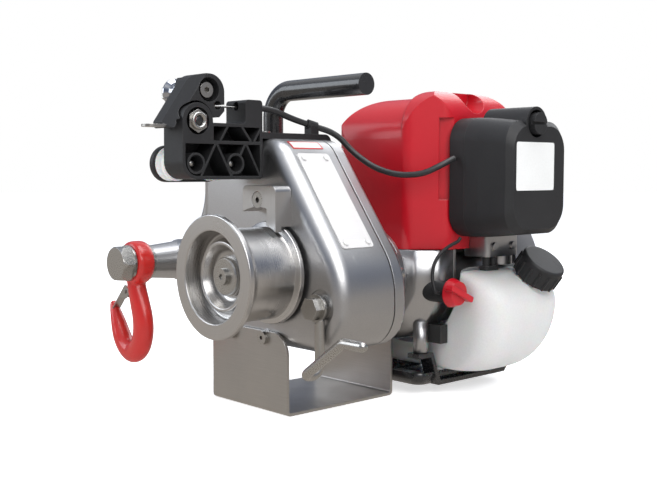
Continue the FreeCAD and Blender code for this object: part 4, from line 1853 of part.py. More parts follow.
def make_clutch_bell():
    """Return the bell between the cover and the engine: flange, barrel, cone, windows and four screw ears."""
    start = COVER_REAR_Y
    flange_end = start + BELL_FLANGE_THICKNESS
    cone = ENGINE_FRONT_Y - BELL_CONE_LENGTH
    end = ENGINE_FRONT_Y
    inner = BELL_RADIUS - BELL_WALL
    outline = [(inner, start), (BELL_FLANGE_RADIUS, start), (BELL_FLANGE_RADIUS, flange_end),
               (BELL_RADIUS, flange_end), (BELL_RADIUS, cone), (BELL_END_RADIUS, end),
               (BELL_END_RADIUS - BELL_WALL, end), (inner, cone - GEAR_SPACING)]
    bell = turned_y(ENGINE_AXIS, outline)
    hollow = along_y(ENGINE_AXIS, start - OVERRUN, cone - GEAR_SPACING, inner)
    ears = [along_y(place, start, flange_end, BELL_EAR_RADIUS).cut(hollow) for place in bell_screw_places()]
    bell = bell.fuse(ears)
    cuts = []
    middle = (flange_end + cone) / 2
    half = BELL_WINDOW_WIDTH / 2
    reach = BELL_RADIUS + OVERRUN
    for index in range(BELL_WINDOW_COUNT):
        window = box(V(ENGINE_AXIS_X, middle - half, ENGINE_AXIS_Z - BELL_WINDOW_HEIGHT / 2),
                     V(ENGINE_AXIS_X + reach, middle + half, ENGINE_AXIS_Z + BELL_WINDOW_HEIGHT / 2))
        window.rotate(ENGINE_AXIS, Y_AXIS, FULL_TURN * (index + BELL_SCREW_SHARE) / BELL_WINDOW_COUNT)
        cuts.append(window)
    for place in bell_screw_places():
        cuts.append(along_y(place, start - OVERRUN, flange_end + OVERRUN, BELL_SCREW_RADIUS))
    return bell.cut(cuts).removeSplitter()


def make_bell_screws():
    """Return the bell's four screws."""
    flange_end = COVER_REAR_Y + BELL_FLANGE_THICKNESS
    return group([screw(place + V(0, flange_end, 0), -Y_AXIS, BELL_SCREW_RADIUS, BELL_SCREW_LENGTH,
                        BELL_SCREW_HEAD_RADIUS, BELL_SCREW_HEAD_HEIGHT) for place in bell_screw_places()])


def shoe_start():
    """Return where the clutch shoes start along Y."""
    return clutch_drum_start() + CLUTCH_WEB + GEAR_SPACING


def make_clutch_hub():
    """Return the clutch hub with a guide pin for each shoe."""
    start = shoe_start()
    hub = along_y(ENGINE_AXIS, start, start + SHOE_WIDTH, SHOE_HUB_RADIUS)
    middle = start + SHOE_WIDTH / 2
    reach = SHOE_PIN_REACH
    pins = along_x(middle, ENGINE_AXIS_Z, ENGINE_AXIS_X - reach, ENGINE_AXIS_X + reach, SHOE_PIN_RADIUS)
    bore = along_y(ENGINE_AXIS, start - OVERRUN, start + SHOE_WIDTH + OVERRUN, CRANK_RADIUS)
    return hub.fuse(pins).cut(bore).removeSplitter()


def make_clutch_shoe(side):
    """Return one lined clutch shoe, on the given side of the crank."""
    start = shoe_start()
    ring = ring_y(ENGINE_AXIS, start, start + SHOE_WIDTH, SHOE_RADIUS, SHOE_INNER_RADIUS)
    inner = ENGINE_AXIS_X + side * SHOE_SLIT / 2
    outer = ENGINE_AXIS_X + side * (SHOE_RADIUS + OVERRUN)
    low = V(min(inner, outer), start - OVERRUN, ENGINE_AXIS_Z - SHOE_RADIUS - OVERRUN)
    high = V(max(inner, outer), start + SHOE_WIDTH + OVERRUN, ENGINE_AXIS_Z + SHOE_RADIUS + OVERRUN)
    middle = start + SHOE_WIDTH / 2
    reach = SHOE_PIN_REACH + GEAR_SPACING
    bore = along_x(middle, ENGINE_AXIS_Z, ENGINE_AXIS_X - reach, ENGINE_AXIS_X + reach,
                   SHOE_PIN_RADIUS + RUN_CLEARANCE)
    return ring.common(box(low, high)).cut(bore)


# Engine

def make_crankshaft():
    """Return the crankshaft, a plain bar from the clutch to the starter."""
    start = ENGINE_FRONT_Y - CRANK_REACH
    end = ENGINE_REAR_Y - RECOIL_WALL - REEL_WIDTH - GEAR_SPACING * 2
    return along_y(ENGINE_AXIS, start, end, CRANK_RADIUS)


def fan_cover_end():
    """Return where the fan cover ends along Y."""
    return ENGINE_FRONT_Y + FAN_COVER_DEPTH


def guard_post_places():
    """Return the X of the guard's two posts."""
    return [ENGINE_AXIS_X - GUARD_POST_OFFSET, ENGINE_AXIS_X + GUARD_POST_OFFSET]


def casing_wire(inset, y, top):
    """Return the fan cover's outline across Y: a trough with a round bottom, drawn in by an inset."""
    left = SHROUD_LEFT + inset
    right = SHROUD_RIGHT - inset
    radius = (right - left) / 2
    bottom = ENGINE_AXIS_Z - radius
    pairs = [(left, top), (left, bottom), (right, bottom), (right, top)]
    return rounded_wire(in_xz(pairs, y), [0, radius - TOUCHING, radius - TOUCHING, 0])


def casing_form(inset, front, end, top):
    """Return the fan cover's outside, or its inside when drawn in, with its slanted front."""
    slant = SHROUD_CHAMFER + inset * (math.sqrt(2) - 1)
    sections = [casing_wire(slant, front, top), casing_wire(inset, front + slant - inset, top),
                casing_wire(inset, end, top)]
    return Part.makeLoft(sections, True, True)


def casing_solid():
    """Return the fan cover's outside as one solid."""
    return casing_form(0, ENGINE_FRONT_Y, fan_cover_end(), SHROUD_BOTTOM - FREE_CLEARANCE)


def make_fan_cover():
    """Return the fan cover: a round-bottomed trough with a slanted front and two guard bosses."""
    front = ENGINE_FRONT_Y
    end = fan_cover_end()
    wall = FAN_COVER_WALL
    top = SHROUD_BOTTOM - FREE_CLEARANCE
    outside = casing_solid()
    inside = casing_form(wall, front + wall, end + OVERRUN, top + OVERRUN)
    bosses = [along_z(x, GUARD_POST_Y, GUARD_POST_TOP, ENGINE_AXIS_Z - FAN_OPENING_RADIUS, GUARD_POST_RADIUS)
              for x in guard_post_places()]
    opening = along_y(ENGINE_AXIS, front - OVERRUN, front + wall + OVERRUN, FAN_OPENING_RADIUS)
    return outside.fuse(bosses).cut([inside, opening]).removeSplitter()


def make_flywheel_fan():
    """Return the flywheel with its fan blades and hub."""
    face = ENGINE_FRONT_Y + FAN_COVER_WALL + FLYWHEEL_SETBACK + FAN_BLADE_HEIGHT
    wheel = along_y(ENGINE_AXIS, face, face + FLYWHEEL_WIDTH, FLYWHEEL_RADIUS)
    wheel = wheel.fuse(along_y(ENGINE_AXIS, face - FAN_BLADE_HEIGHT, face, CRANK_RADIUS * 2))
    blades = []
    half = FAN_BLADE_THICKNESS / 2
    for index in range(FAN_BLADE_COUNT):
        blade = box(V(ENGINE_AXIS_X + FAN_BLADE_INNER_RADIUS, face - FAN_BLADE_HEIGHT, ENGINE_AXIS_Z - half),
                    V(ENGINE_AXIS_X + FAN_BLADE_OUTER_RADIUS, face + half, ENGINE_AXIS_Z + half))
        blade.rotate(ENGINE_AXIS, Y_AXIS, FULL_TURN * index / FAN_BLADE_COUNT)
        blades.append(blade)
    wheel = wheel.fuse(blades)
    bore = along_y(ENGINE_AXIS, face - FAN_BLADE_HEIGHT - OVERRUN, face + FLYWHEEL_WIDTH + OVERRUN,
                   CRANK_RADIUS)
    return wheel.cut(bore).removeSplitter()


def cylinder_front():
    """Return where the finned cylinder starts along Y."""
    return fan_cover_end() + CYLINDER_FRONT_GAP


def make_engine_block():
    """Return the crankcase with its finned cylinder, bored for the crankshaft."""
    start = fan_cover_end()
    end = start + CASE_DEPTH
    pairs = [(CASE_LEFT, CASE_BOTTOM), (CASE_RIGHT, CASE_BOTTOM), (CASE_RIGHT, CASE_TOP),
             (CASE_LEFT, CASE_TOP)]
    case = slab(in_xz(pairs, start), alike(pairs, CASE_CORNER_RADIUS), V(0, end - start, 0))
    rim = Part.Face(casing_wire(0, start, SHROUD_BOTTOM - FREE_CLEARANCE)).extrude(V(0, FAN_COVER_WALL, 0))
    front = cylinder_front()
    back = front + CYLINDER_DEPTH
    cylinder = box(V(CYLINDER_LEFT, front, CASE_TOP - CASE_CORNER_RADIUS),
                   V(CYLINDER_RIGHT, back, CYLINDER_TOP))
    fins = []
    pitch = (CYLINDER_TOP - CASE_TOP) / FIN_COUNT
    for index in range(FIN_COUNT):
        top = CYLINDER_TOP - pitch * index
        fins.append(box(V(CYLINDER_LEFT - FIN_DEPTH, front - FIN_DEPTH, top - FIN_THICKNESS),
                        V(CYLINDER_RIGHT + FIN_DEPTH, back + FIN_DEPTH, top)))
    back_rim = along_y(ENGINE_AXIS, end - FAN_COVER_WALL, end, RECOIL_RADIUS)
    block = case.fuse([rim, back_rim, cylinder] + fins)
    bore = along_y(ENGINE_AXIS, start - OVERRUN, end + OVERRUN, CRANK_RADIUS + RUN_CLEARANCE)
    return block.cut(bore).removeSplitter()


def make_spark_plug():
    """Return the plug with its cap on the cylinder head."""
    x = (CYLINDER_LEFT + CYLINDER_RIGHT) / 2
    y = cylinder_front() + CYLINDER_DEPTH / 2
    seat = V(x, y, CYLINDER_TOP)
    nut = hex_bar(seat, Z_AXIS, PLUG_CAP_RADIUS * 2, PLUG_NUT_HEIGHT)
    cap = along_z(x, y, CYLINDER_TOP, CYLINDER_TOP + PLUG_CAP_LENGTH, PLUG_CAP_RADIUS * PLUG_CAP_SHARE)
    return nut.fuse(cap).removeSplitter()


def shroud_points(inset, z):
    """Return the shroud's outline at one height, drawn in by an inset, with its slanted front corner."""
    front = ENGINE_FRONT_Y + SHROUD_FRONT_GAP + inset
    left = SHROUD_LEFT + inset
    right = SHROUD_RIGHT - inset
    back = ENGINE_FRONT_Y + SHROUD_FRONT_GAP + SHROUD_DEPTH - inset
    slant = SHROUD_RIGHT - SHROUD_CHAMFER - ENGINE_FRONT_Y - SHROUD_FRONT_GAP - inset * math.sqrt(2)
    pairs = [(left, front), (front + slant, front), (right, right - slant), (right, back), (left, back)]
    return in_xy(pairs, z)


def hump(inset, left, top, side_radii, front_radius):
    """Return one rounded hump of the shroud, drawn in by an inset; side radii are left and right."""
    bottom = SHROUD_BOTTOM - (OVERRUN if inset else 0)
    high = top - inset
    front = ENGINE_FRONT_Y + SHROUD_FRONT_GAP + inset
    back = ENGINE_FRONT_Y + SHROUD_FRONT_GAP + SHROUD_DEPTH - inset
    right = SHROUD_RIGHT - inset
    points = shroud_points(inset, bottom)
    plan = slab(points, alike(points, SHROUD_CORNER_RADIUS - inset), V(0, 0, high - bottom))
    left_radius, right_radius = side_radii
    across = [(left, bottom), (right, bottom), (right, high), (left, high)]
    across = slab(in_xz(across, front), [0, 0, right_radius - inset, left_radius - inset],
                  V(0, back - front, 0))
    along = [(front, bottom), (back, bottom), (back, high), (front, high)]
    along = slab(in_yz(along, left), [0, 0, HUMP_BACK_RADIUS - inset, front_radius - inset],
                 V(right - left, 0, 0))
    return plan.common(across).common(along)


def shroud_form(inset):
    """Return the shroud's outside, or its inside when drawn in: two humps with a notch and a scoop."""
    front = hump(inset, SHROUD_LEFT + inset, FRONT_HUMP_TOP, (FRONT_HUMP_SIDE_RADIUS, REAR_HUMP_SIDE_RADIUS),
                 FRONT_HUMP_RADIUS)
    rear = hump(inset, REAR_HUMP_LEFT + inset, REAR_HUMP_TOP, (REAR_HUMP_EDGE_RADIUS, REAR_HUMP_SIDE_RADIUS),
                REAR_HUMP_RADIUS)
    slant_end = V(SHROUD_RIGHT, ENGINE_FRONT_Y + SHROUD_FRONT_GAP + SHROUD_CHAMFER, SHROUD_NOTCH_Z - inset)
    along = V(1, 1, 0).normalize()
    inward = V(-1, 1, 0).normalize()
    start = slant_end - along * (SHROUD_NOTCH_WIDTH + inset)
    depth = SHROUD_NOTCH_DEPTH + inset
    reach = along * SHROUD_CHAMFER * 2
    points = [start - inward * SHROUD_CHAMFER, start + inward * depth, start + inward * depth + reach,
              start - inward * SHROUD_CHAMFER + reach]
    notch = slab(points, alike(points, 0), V(0, 0, CLEANER_TOP - SHROUD_NOTCH_Z + inset * 2))
    knob_y, knob_z = knob_place()
    scoop = along_x(knob_y, knob_z + SCOOP_LIFT, SHROUD_RIGHT - SCOOP_LENGTH - inset, SHROUD_RIGHT + OVERRUN,
                    SCOOP_RADIUS + inset)
    return front.fuse(rear).cut([notch, scoop]).removeSplitter()


def make_shroud():
    """Return the red shroud: a hollow cover with two humps, open below."""
    shroud = shroud_form(0).cut(shroud_form(SHROUD_WALL))
    pipe_y = muffler_front() + MUFFLER_LENGTH / 2
    pipe_z = (MUFFLER_BOTTOM + MUFFLER_TOP) / 2
    pipe = along_x(pipe_y, pipe_z, SHROUD_LEFT - OVERRUN, SHROUD_LEFT + SHROUD_WALL + OVERRUN,
                   EXHAUST_RADIUS + FREE_CLEARANCE)
    return shroud.cut([pipe, carb_block(FREE_CLEARANCE)]).removeSplitter()


def muffler_front():
    """Return where the muffler starts along Y."""
    return cylinder_front() + CYLINDER_DEPTH / 2 - MUFFLER_LENGTH / 2


def muffler_can(inset):
    """Return the muffler's outside, or its inside when drawn in."""
    right = SHROUD_LEFT - MUFFLER_GAP - inset
    left = right - MUFFLER_DEPTH + inset * 2
    front = muffler_front() + inset
    back = front + MUFFLER_LENGTH - inset * 2
    low = MUFFLER_BOTTOM + inset
    high = MUFFLER_TOP - inset
    pairs = [(front, low), (back, low), (back, high), (front, high)]
    can = slab(in_yz(pairs, left), alike(pairs, MUFFLER_ROUND * 2 - inset), V(right - left, 0, 0))
    return rounded_edges(can, MUFFLER_ROUND - inset, flat_at("X", left))


def make_muffler():
    """Return the hollow muffler box with its pipe into the cylinder."""
    right = SHROUD_LEFT - MUFFLER_GAP
    y = muffler_front() + MUFFLER_LENGTH / 2
    z = (MUFFLER_BOTTOM + MUFFLER_TOP) / 2
    pipe = along_x(y, z, right - OVERRUN, CYLINDER_LEFT - FIN_DEPTH, EXHAUST_RADIUS)
    return muffler_can(0).cut(muffler_can(MUFFLER_WALL)).fuse(pipe).removeSplitter()


def make_muffler_guard():
    """Return the slotted heat guard on its four posts."""
    right = SHROUD_LEFT - MUFFLER_GAP - MUFFLER_DEPTH - MUFFLER_GUARD_GAP
    front = muffler_front()
    pairs = [(front, MUFFLER_BOTTOM), (front + MUFFLER_LENGTH, MUFFLER_BOTTOM),
             (front + MUFFLER_LENGTH, MUFFLER_TOP), (front, MUFFLER_TOP)]
    guard = slab(in_yz(pairs, right - MUFFLER_GUARD), alike(pairs, MUFFLER_ROUND * 2), V(MUFFLER_GUARD, 0, 0))
    inset = MUFFLER_ROUND * 2
    slots = []
    pitch = (MUFFLER_TOP - MUFFLER_BOTTOM) / (GUARD_SLOT_COUNT + 1)
    for index in range(GUARD_SLOT_COUNT):
        z = MUFFLER_BOTTOM + pitch * (index + 1)
        slots.append(box(V(right - MUFFLER_GUARD - OVERRUN, front + inset, z - GUARD_SLOT / 2),
                         V(right + OVERRUN, front + MUFFLER_LENGTH - inset, z + GUARD_SLOT / 2)))
    posts = []
    for y in (front + inset / 2 + MUFFLER_ROUND / 2, front + MUFFLER_LENGTH - inset / 2 - MUFFLER_ROUND / 2):
        for z in (MUFFLER_BOTTOM + inset, MUFFLER_TOP - inset):
            posts.append(along_x(y, z, right - MUFFLER_GUARD, right + MUFFLER_GUARD_GAP, MUFFLER_POST_RADIUS))
    return guard.cut(slots).fuse(posts).removeSplitter()


# Air cleaner and carburettor

def cleaner_base_left():
    """Return the X of the air cleaner base's inner face."""
    return SHROUD_RIGHT + CLEANER_GAP


def cleaner_points(inset, x):
    """Return the air cleaner's outline at one X, drawn in by an inset."""
    low = CLEANER_FRONT_Y + inset
    high = CLEANER_FRONT_Y + CLEANER_LENGTH - inset
    bottom = CLEANER_BOTTOM + inset
    top = CLEANER_TOP - inset
    return in_yz([(low, bottom), (high, bottom), (high, top), (low, top)], x)


def knob_place():
    """Return the Y and Z of the air cleaner's knob."""
    return CLEANER_FRONT_Y + CLEANER_LENGTH * KNOB_ALONG_SHARE, CLEANER_TOP - KNOB_DROP


def make_cleaner_base():
    """Return the air cleaner's base plate with the intake throat and the knob's stud boss."""
    left = cleaner_base_left()
    points = cleaner_points(0, left)
    base = slab(points, alike(points, CLEANER_CORNER_RADIUS), V(CLEANER_BASE_DEPTH, 0, 0))
    points = cleaner_points(CLEANER_WALL, left + CLEANER_WALL)
    hollow = slab(points, alike(points, CLEANER_CORNER_RADIUS - CLEANER_WALL), V(CLEANER_BASE_DEPTH, 0, 0))
    base = base.cut(hollow)
    y, z = knob_place()
    stud = along_x(y, z, left, left + CLEANER_BASE_DEPTH, KNOB_SCREW_RADIUS * 2)
    hole = along_x(y, z, left + CLEANER_WALL, left + CLEANER_BASE_DEPTH + OVERRUN,
                   KNOB_SCREW_RADIUS + RUN_CLEARANCE)
    throat = along_z(carb_x(), CARB_CENTRE_Y, CLEANER_BOTTOM - OVERRUN,
                     CLEANER_BOTTOM + CLEANER_WALL + OVERRUN, CARB_BORE_RADIUS)
    return base.fuse(stud).cut([hole, throat]).removeSplitter()


def cleaner_cover_form(inset):
    """Return the cover's outside, or its inside when drawn in."""
    left = cleaner_base_left() + CLEANER_BASE_DEPTH
    sections = []
    for share, draw in CLEANER_SHARES:
        x = left + (CLEANER_COVER_DEPTH - inset) * share
        points = cleaner_points(inset + CLEANER_TAPER * draw, x)
        sections.append(rounded_wire(points, alike(points, CLEANER_CORNER_RADIUS - inset)))
    return Part.makeLoft(sections, True, True)


def make_cleaner_cover():
    """Return the hollow air cleaner cover with its ridge and the pocket for the knob."""
    left = cleaner_base_left() + CLEANER_BASE_DEPTH
    right = left + CLEANER_COVER_DEPTH
    y, z = knob_place()
    ridge_radius = KNOB_POCKET_RADIUS + CLEANER_WALL
    ridge = along_x(y, z, left, right, ridge_radius)
    cover = cleaner_cover_form(0).cut(cleaner_cover_form(CLEANER_WALL)).fuse(ridge)
    slots = []
    for share in CLEANER_SLOT_SHARES:
        middle = left + CLEANER_COVER_DEPTH * share
        slots.append(box(V(middle - CLEANER_SLOT, CLEANER_FRONT_Y + CLEANER_CORNER_RADIUS,
                           CLEANER_BOTTOM - OVERRUN),
                         V(middle + CLEANER_SLOT, CLEANER_FRONT_Y + CLEANER_LENGTH - CLEANER_CORNER_RADIUS,
                           CLEANER_BOTTOM + CLEANER_TAPER + CLEANER_WALL + OVERRUN)))
    pocket = along_x(y, z, right - KNOB_POCKET_DEPTH, right + OVERRUN, KNOB_POCKET_RADIUS)
    hole = along_x(y, z, left - OVERRUN, right, KNOB_SCREW_RADIUS + RUN_CLEARANCE)
    return cover.cut(slots + [pocket, hole]).removeSplitter()


def make_filter_element():
    """Return the foam filter inside the air cleaner."""
    left = cleaner_base_left() + CLEANER_WALL + FILTER_GAP
    points = cleaner_points(FILTER_INSET, left)
    foam = slab(points, alike(points, FILTER_INSET), V(FILTER_THICKNESS, 0, 0))
    y, z = knob_place()
    spared = along_x(y, z, left - OVERRUN, left + FILTER_THICKNESS + OVERRUN,
                     KNOB_POCKET_RADIUS + FILTER_GAP + CLEANER_WALL)
    return foam.cut(spared).removeSplitter()


def make_cleaner_knob():
    """Return the air cleaner's slotted knob with its screw."""
    left = cleaner_base_left() + CLEANER_BASE_DEPTH
    right = left + CLEANER_COVER_DEPTH
    y, z = knob_place()
    floor = right - KNOB_POCKET_DEPTH + FREE_CLEARANCE
    head = along_x(y, z, floor, floor + KNOB_DEPTH, KNOB_RADIUS)
    bar = along_x(y, z, left - CLEANER_BASE_DEPTH / 2, floor, KNOB_SCREW_RADIUS)
    top = floor + KNOB_DEPTH
    slot = box(V(top - KNOB_SLOT_DEPTH, y - KNOB_RADIUS - OVERRUN, z - KNOB_SLOT / 2),
               V(top + OVERRUN, y + KNOB_RADIUS + OVERRUN, z + KNOB_SLOT / 2))
    return head.fuse(bar).cut(slot).removeSplitter()


def carb_x():
    """Return the X of the carburettor's middle."""
    return cleaner_base_left() + CLEANER_BASE_DEPTH / 2


def carb_block(extra):
    """Return the carburettor's block, enlarged by an extra on all sides."""
    grown = V(extra, extra, extra)
    low = V(CASE_RIGHT, CARB_CENTRE_Y - CARB_WIDTH / 2, CLEANER_BOTTOM - CARB_HEIGHT)
    high = V(carb_x() + CARB_LENGTH / 2, CARB_CENTRE_Y + CARB_WIDTH / 2, CLEANER_BOTTOM)
    return box(low - grown, high + grown)


def make_carburettor():
    """Return the carburettor below the air cleaner: body, bowl and intake flange."""
    x = carb_x()
    y = CARB_CENTRE_Y
    low = CLEANER_BOTTOM - CARB_HEIGHT
    body = rounded_edges(carb_block(0), CARB_ROUND,
                         lambda edge: abs(edge.BoundBox.ZLength - CARB_HEIGHT) < TOUCHING)
    bowl = along_z(x, y + CARB_BOWL_SHIFT, low - CARB_BOWL_HEIGHT, low, CARB_BOWL_RADIUS)
    screws = [along_x(y + side * CARB_SCREW_OFFSET, low + CARB_HEIGHT / 2, x,
                      x + CARB_LENGTH / 2 + CARB_SCREW_HEIGHT,
                      CARB_SCREW_RADIUS) for side in (-1, 1)]
    return body.fuse([bowl] + screws).removeSplitter()


# Tank, guard and tubes

def cap_axis():
    """Return the filler's direction."""
    tilt = math.radians(CAP_TILT)
    return V(math.sin(tilt), 0, math.cos(tilt))


def cap_point(rise):
    """Return a point on the filler's axis."""
    return V(CAP_SEAT_X, CAP_Y, CAP_SEAT_Z) + cap_axis() * rise


def tank_face(y):
    """Return the tank's outline, facing Y."""
    pairs = [(TANK_LEFT, TANK_BOTTOM), (TANK_RIGHT, TANK_BOTTOM), (TANK_RIGHT, TANK_SHOULDER_Z),
             (TANK_RIGHT - TANK_SHOULDER, TANK_TOP), (TANK_INNER_X, TANK_TOP), (TANK_INNER_X, ENGINE_AXIS_Z),
             (TANK_LEFT, TANK_LEFT_TOP)]
    radii = [TANK_LEFT_RADIUS, TANK_BOTTOM_RADIUS, TANK_ROUND, TANK_ROUND, 0, 0, TANK_WALL]
    return Part.Face(rounded_wire(in_xz(pairs, y), radii))


def tank_form(inset):
    """Return the tank's outside, or its inside when drawn in, rounded in plan and from the side."""
    front = TANK_FRONT_Y + inset
    back = TANK_FRONT_Y + TANK_LENGTH - inset
    face = tank_face(front)
    if inset:
        face = face.makeOffset2D(-inset)
    left = TANK_LEFT + inset
    right = TANK_RIGHT - inset
    low = TANK_BOTTOM + inset
    plan_pairs = [(left, front), (right, front), (right, back), (left, back)]
    plan_radii = [TANK_INNER_CORNER_RADIUS, TANK_FRONT_CORNER_RADIUS, TANK_BACK_CORNER_RADIUS,
                  TANK_INNER_CORNER_RADIUS]
    plan = slab(in_xy(plan_pairs, low), [radius - inset for radius in plan_radii], V(0, 0, TANK_TOP - low))
    high = TANK_TOP - inset
    side_pairs = [(front, low), (back, low), (back, high), (front, high)]
    side_radii = [TANK_FRONT_LOW_RADIUS, TANK_BACK_LOW_RADIUS, TANK_HIGH_RADIUS, TANK_HIGH_RADIUS]
    side = slab(in_yz(side_pairs, left), [radius - inset for radius in side_radii], V(right - left, 0, 0))
    form = face.extrude(V(0, back - front, 0)).common(plan).common(side)
    saddle = (SHROUD_RIGHT - SHROUD_LEFT) / 2 + TANK_SADDLE_GAP + inset
    return form.cut(along_y(ENGINE_AXIS, front - OVERRUN, back + OVERRUN, saddle))


def make_fuel_tank():
    """Return the hollow crescent tank with its saddle and tilted filler neck."""
    axis = cap_axis()
    ground = Part.makeCylinder(CAP_RADIUS + GEAR_SPACING, CAP_HEIGHT * 2,
                               cap_point(CAP_LIFT - FREE_CLEARANCE), axis)
    neck = Part.makeCylinder(NECK_RADIUS, NECK_LENGTH, cap_point(CAP_LIFT - NECK_SINK), axis)
    bore = Part.makeCylinder(NECK_BORE_RADIUS, NECK_LENGTH * 2, cap_point(-NECK_SINK), axis)
    return tank_form(0).cut(ground).fuse(neck).cut([tank_form(TANK_WALL), bore]).removeSplitter()


def make_fuel_cap():
    """Return the ribbed fuel cap on the neck."""
    axis = cap_axis()
    cap = Part.makeCylinder(CAP_RADIUS, CAP_HEIGHT, cap_point(CAP_LIFT), axis)
    cap = rounded_edges(cap, CAP_WALL,
                        lambda edge: edge.CenterOfMass.z > cap_point(CAP_LIFT + CAP_HEIGHT / 2).z
                        and edge.Length > CAP_RADIUS * 3)
    bore = Part.makeCylinder(NECK_RADIUS + RUN_CLEARANCE, CAP_HEIGHT - CAP_WALL, cap_point(CAP_LIFT), axis)
    side = V(axis.z, 0, -axis.x)
    ribs = []
    for index in range(CAP_RIB_COUNT):
        rib = Part.makeCylinder(CAP_RIB, CAP_HEIGHT - CAP_WALL * 2, cap_point(CAP_LIFT) + side * CAP_RADIUS,
                                axis)
        rib.rotate(cap_point(0), axis, FULL_TURN * index / CAP_RIB_COUNT)
        ribs.append(rib)
    return cap.fuse(ribs).cut(bore).removeSplitter()


def folded_outline(pairs, thickness):
    """Return the outline of a folded sheet: a line of pairs and the same line moved below it."""
    points = [V(y, z, 0) for y, z in pairs]
    runs = [(after - before).normalize() for before, after in zip(points, points[1:])]
    downs = [V(run.y, -run.x, 0) for run in runs]
    moved = [points[0] + downs[0] * thickness]
    for point, first, second in zip(points[1:], downs, downs[1:]):
        moved.append(point + (first + second) * (thickness / (1 + first.dot(second))))
    moved.append(points[-1] + downs[-1] * thickness)
    return [(point.x, point.y) for point in points + moved[::-1]]


def make_guard_rail():
    """Return the folded skid below the tank: two straps with tabs, a front bar and a rear bar."""
    left, right = guard_post_places()
    half = SKID_STRAP / 2
    flat_end = SKID_FLAT_FRONT_Y + SKID_FLAT_LENGTH
    tab_end = SKID_TAB_FRONT_Y + SKID_TAB_LENGTH
    line = [(SKID_TAB_FRONT_Y, GUARD_POST_TOP), (tab_end, GUARD_POST_TOP), (SKID_FLAT_FRONT_Y, SKID_TOP),
            (flat_end, SKID_TOP), (flat_end + SKID_TIP_LENGTH, SKID_TOP + SKID_TIP_RISE)]
    points = in_yz(folded_outline(line, SKID_SHEET), left - half)
    skid = slab(points, alike(points, 0), V(right - left + SKID_STRAP, 0, 0))
    tall = GUARD_POST_TOP + OVERRUN
    below = SKID_TOP - SKID_SHEET * 2
    bands = [(SKID_TAB_FRONT_Y - OVERRUN, SKID_FLAT_FRONT_Y),
             (SKID_FLAT_FRONT_Y + SKID_STRAP, flat_end - SKID_STRAP),
             (flat_end, flat_end + SKID_TIP_LENGTH * 2)]
    gaps = [box(V(left + half, start, below), V(right - half, end, tall)) for start, end in bands]
    return skid.cut(gaps).removeSplitter()


def make_tank_cushion():
    """Return the rubber block between the fan cover and the tank."""
    low = V(TANK_CUSHION_X, TANK_FRONT_Y - TANK_CUSHION_LENGTH, TANK_CUSHION_Z - TANK_CUSHION_THICKNESS)
    high = V(TANK_CUSHION_X + TANK_CUSHION_WIDTH, TANK_FRONT_Y, TANK_CUSHION_Z + TANK_CUSHION_THICKNESS)
    return box(low, high).cut(casing_solid())


def tube_places():
    """Return the two fuel tubes' places on the tank's top."""
    half = FUEL_TUBE_SPACING / 2
    return [(GROMMET_X, GROMMET_Y - half), (GROMMET_X, GROMMET_Y + half)]


def make_fuel_tubes():
    """Return the two fuel tubes from the tank to the carburettor."""
    high = CLEANER_BOTTOM - CARB_HEIGHT
    return group([along_z(x, y, TANK_TOP, high, FUEL_TUBE_RADIUS) for x, y in tube_places()])


def make_tube_grommet():
    """Return the rubber grommet round the two tubes."""
    half = FUEL_TUBE_SPACING / 2 + GROMMET_RADIUS / 2
    pairs = [(GROMMET_X - GROMMET_RADIUS / 2, GROMMET_Y - half),
             (GROMMET_X + GROMMET_RADIUS / 2, GROMMET_Y - half),
             (GROMMET_X + GROMMET_RADIUS / 2, GROMMET_Y + half),
             (GROMMET_X - GROMMET_RADIUS / 2, GROMMET_Y + half)]
    pad = slab(in_xy(pairs, TANK_TOP), alike(pairs, GROMMET_RADIUS / 3), V(0, 0, GROMMET_HEIGHT))
    return pad.cut([along_z(x, y, TANK_TOP - OVERRUN, TANK_TOP + GROMMET_HEIGHT + OVERRUN, FUEL_TUBE_RADIUS)
                    for x, y in tube_places()])


# Stop switch

def make_switch_body():
    """Return the stop switch's body on the fan cover's side."""
    start = SHROUD_RIGHT - SHROUD_CHAMFER
    body = along_x(SWITCH_Y, SWITCH_Z, start, SWITCH_FACE_X, SWITCH_BODY_RADIUS)
    body = body.cut(casing_solid())
    return body.cut(along_x(SWITCH_Y, SWITCH_Z, SWITCH_FACE_X - SWITCH_SPINDLE_LENGTH - FREE_CLEARANCE,
                            SWITCH_FACE_X + OVERRUN,
                            SWITCH_SPINDLE_RADIUS + RUN_CLEARANCE))


def make_switch_knob():
    """Return the winged stop knob with its spindle."""
    start = SWITCH_FACE_X + FREE_CLEARANCE
    end = start + SWITCH_KNOB_LENGTH
    knob = turned_x(SWITCH_Y, SWITCH_Z, [(0, start), (SWITCH_KNOB_RADIUS, start),
                                         (SWITCH_KNOB_TOP_RADIUS, end), (0, end)])
    spindle = along_x(SWITCH_Y, SWITCH_Z, SWITCH_FACE_X - SWITCH_SPINDLE_LENGTH, start, SWITCH_SPINDLE_RADIUS)
    half = SWITCH_WING_LENGTH / 2
    pairs = [(SWITCH_Y - half, SWITCH_Z - SWITCH_WING / 2), (SWITCH_Y + half, SWITCH_Z - SWITCH_WING / 2),
             (SWITCH_Y + half, SWITCH_Z + SWITCH_WING / 2), (SWITCH_Y - half, SWITCH_Z + SWITCH_WING / 2)]
    wing = slab(in_yz(pairs, end - SWITCH_WING_HEIGHT), alike(pairs, SWITCH_WING / 3),
                V(SWITCH_WING_HEIGHT * 2, 0, 0))
    wing.rotate(V(0, SWITCH_Y, SWITCH_Z), X_AXIS, -SWITCH_WING_TILT)
    return knob.fuse([spindle, wing]).removeSplitter()


def make_switch_lead():
    """Return the stop switch's lead, from the switch to the shroud."""
    return cord("switch lead", SWITCH_LEAD_ROUTE, SWITCH_LEAD_RADIUS)


# Starter

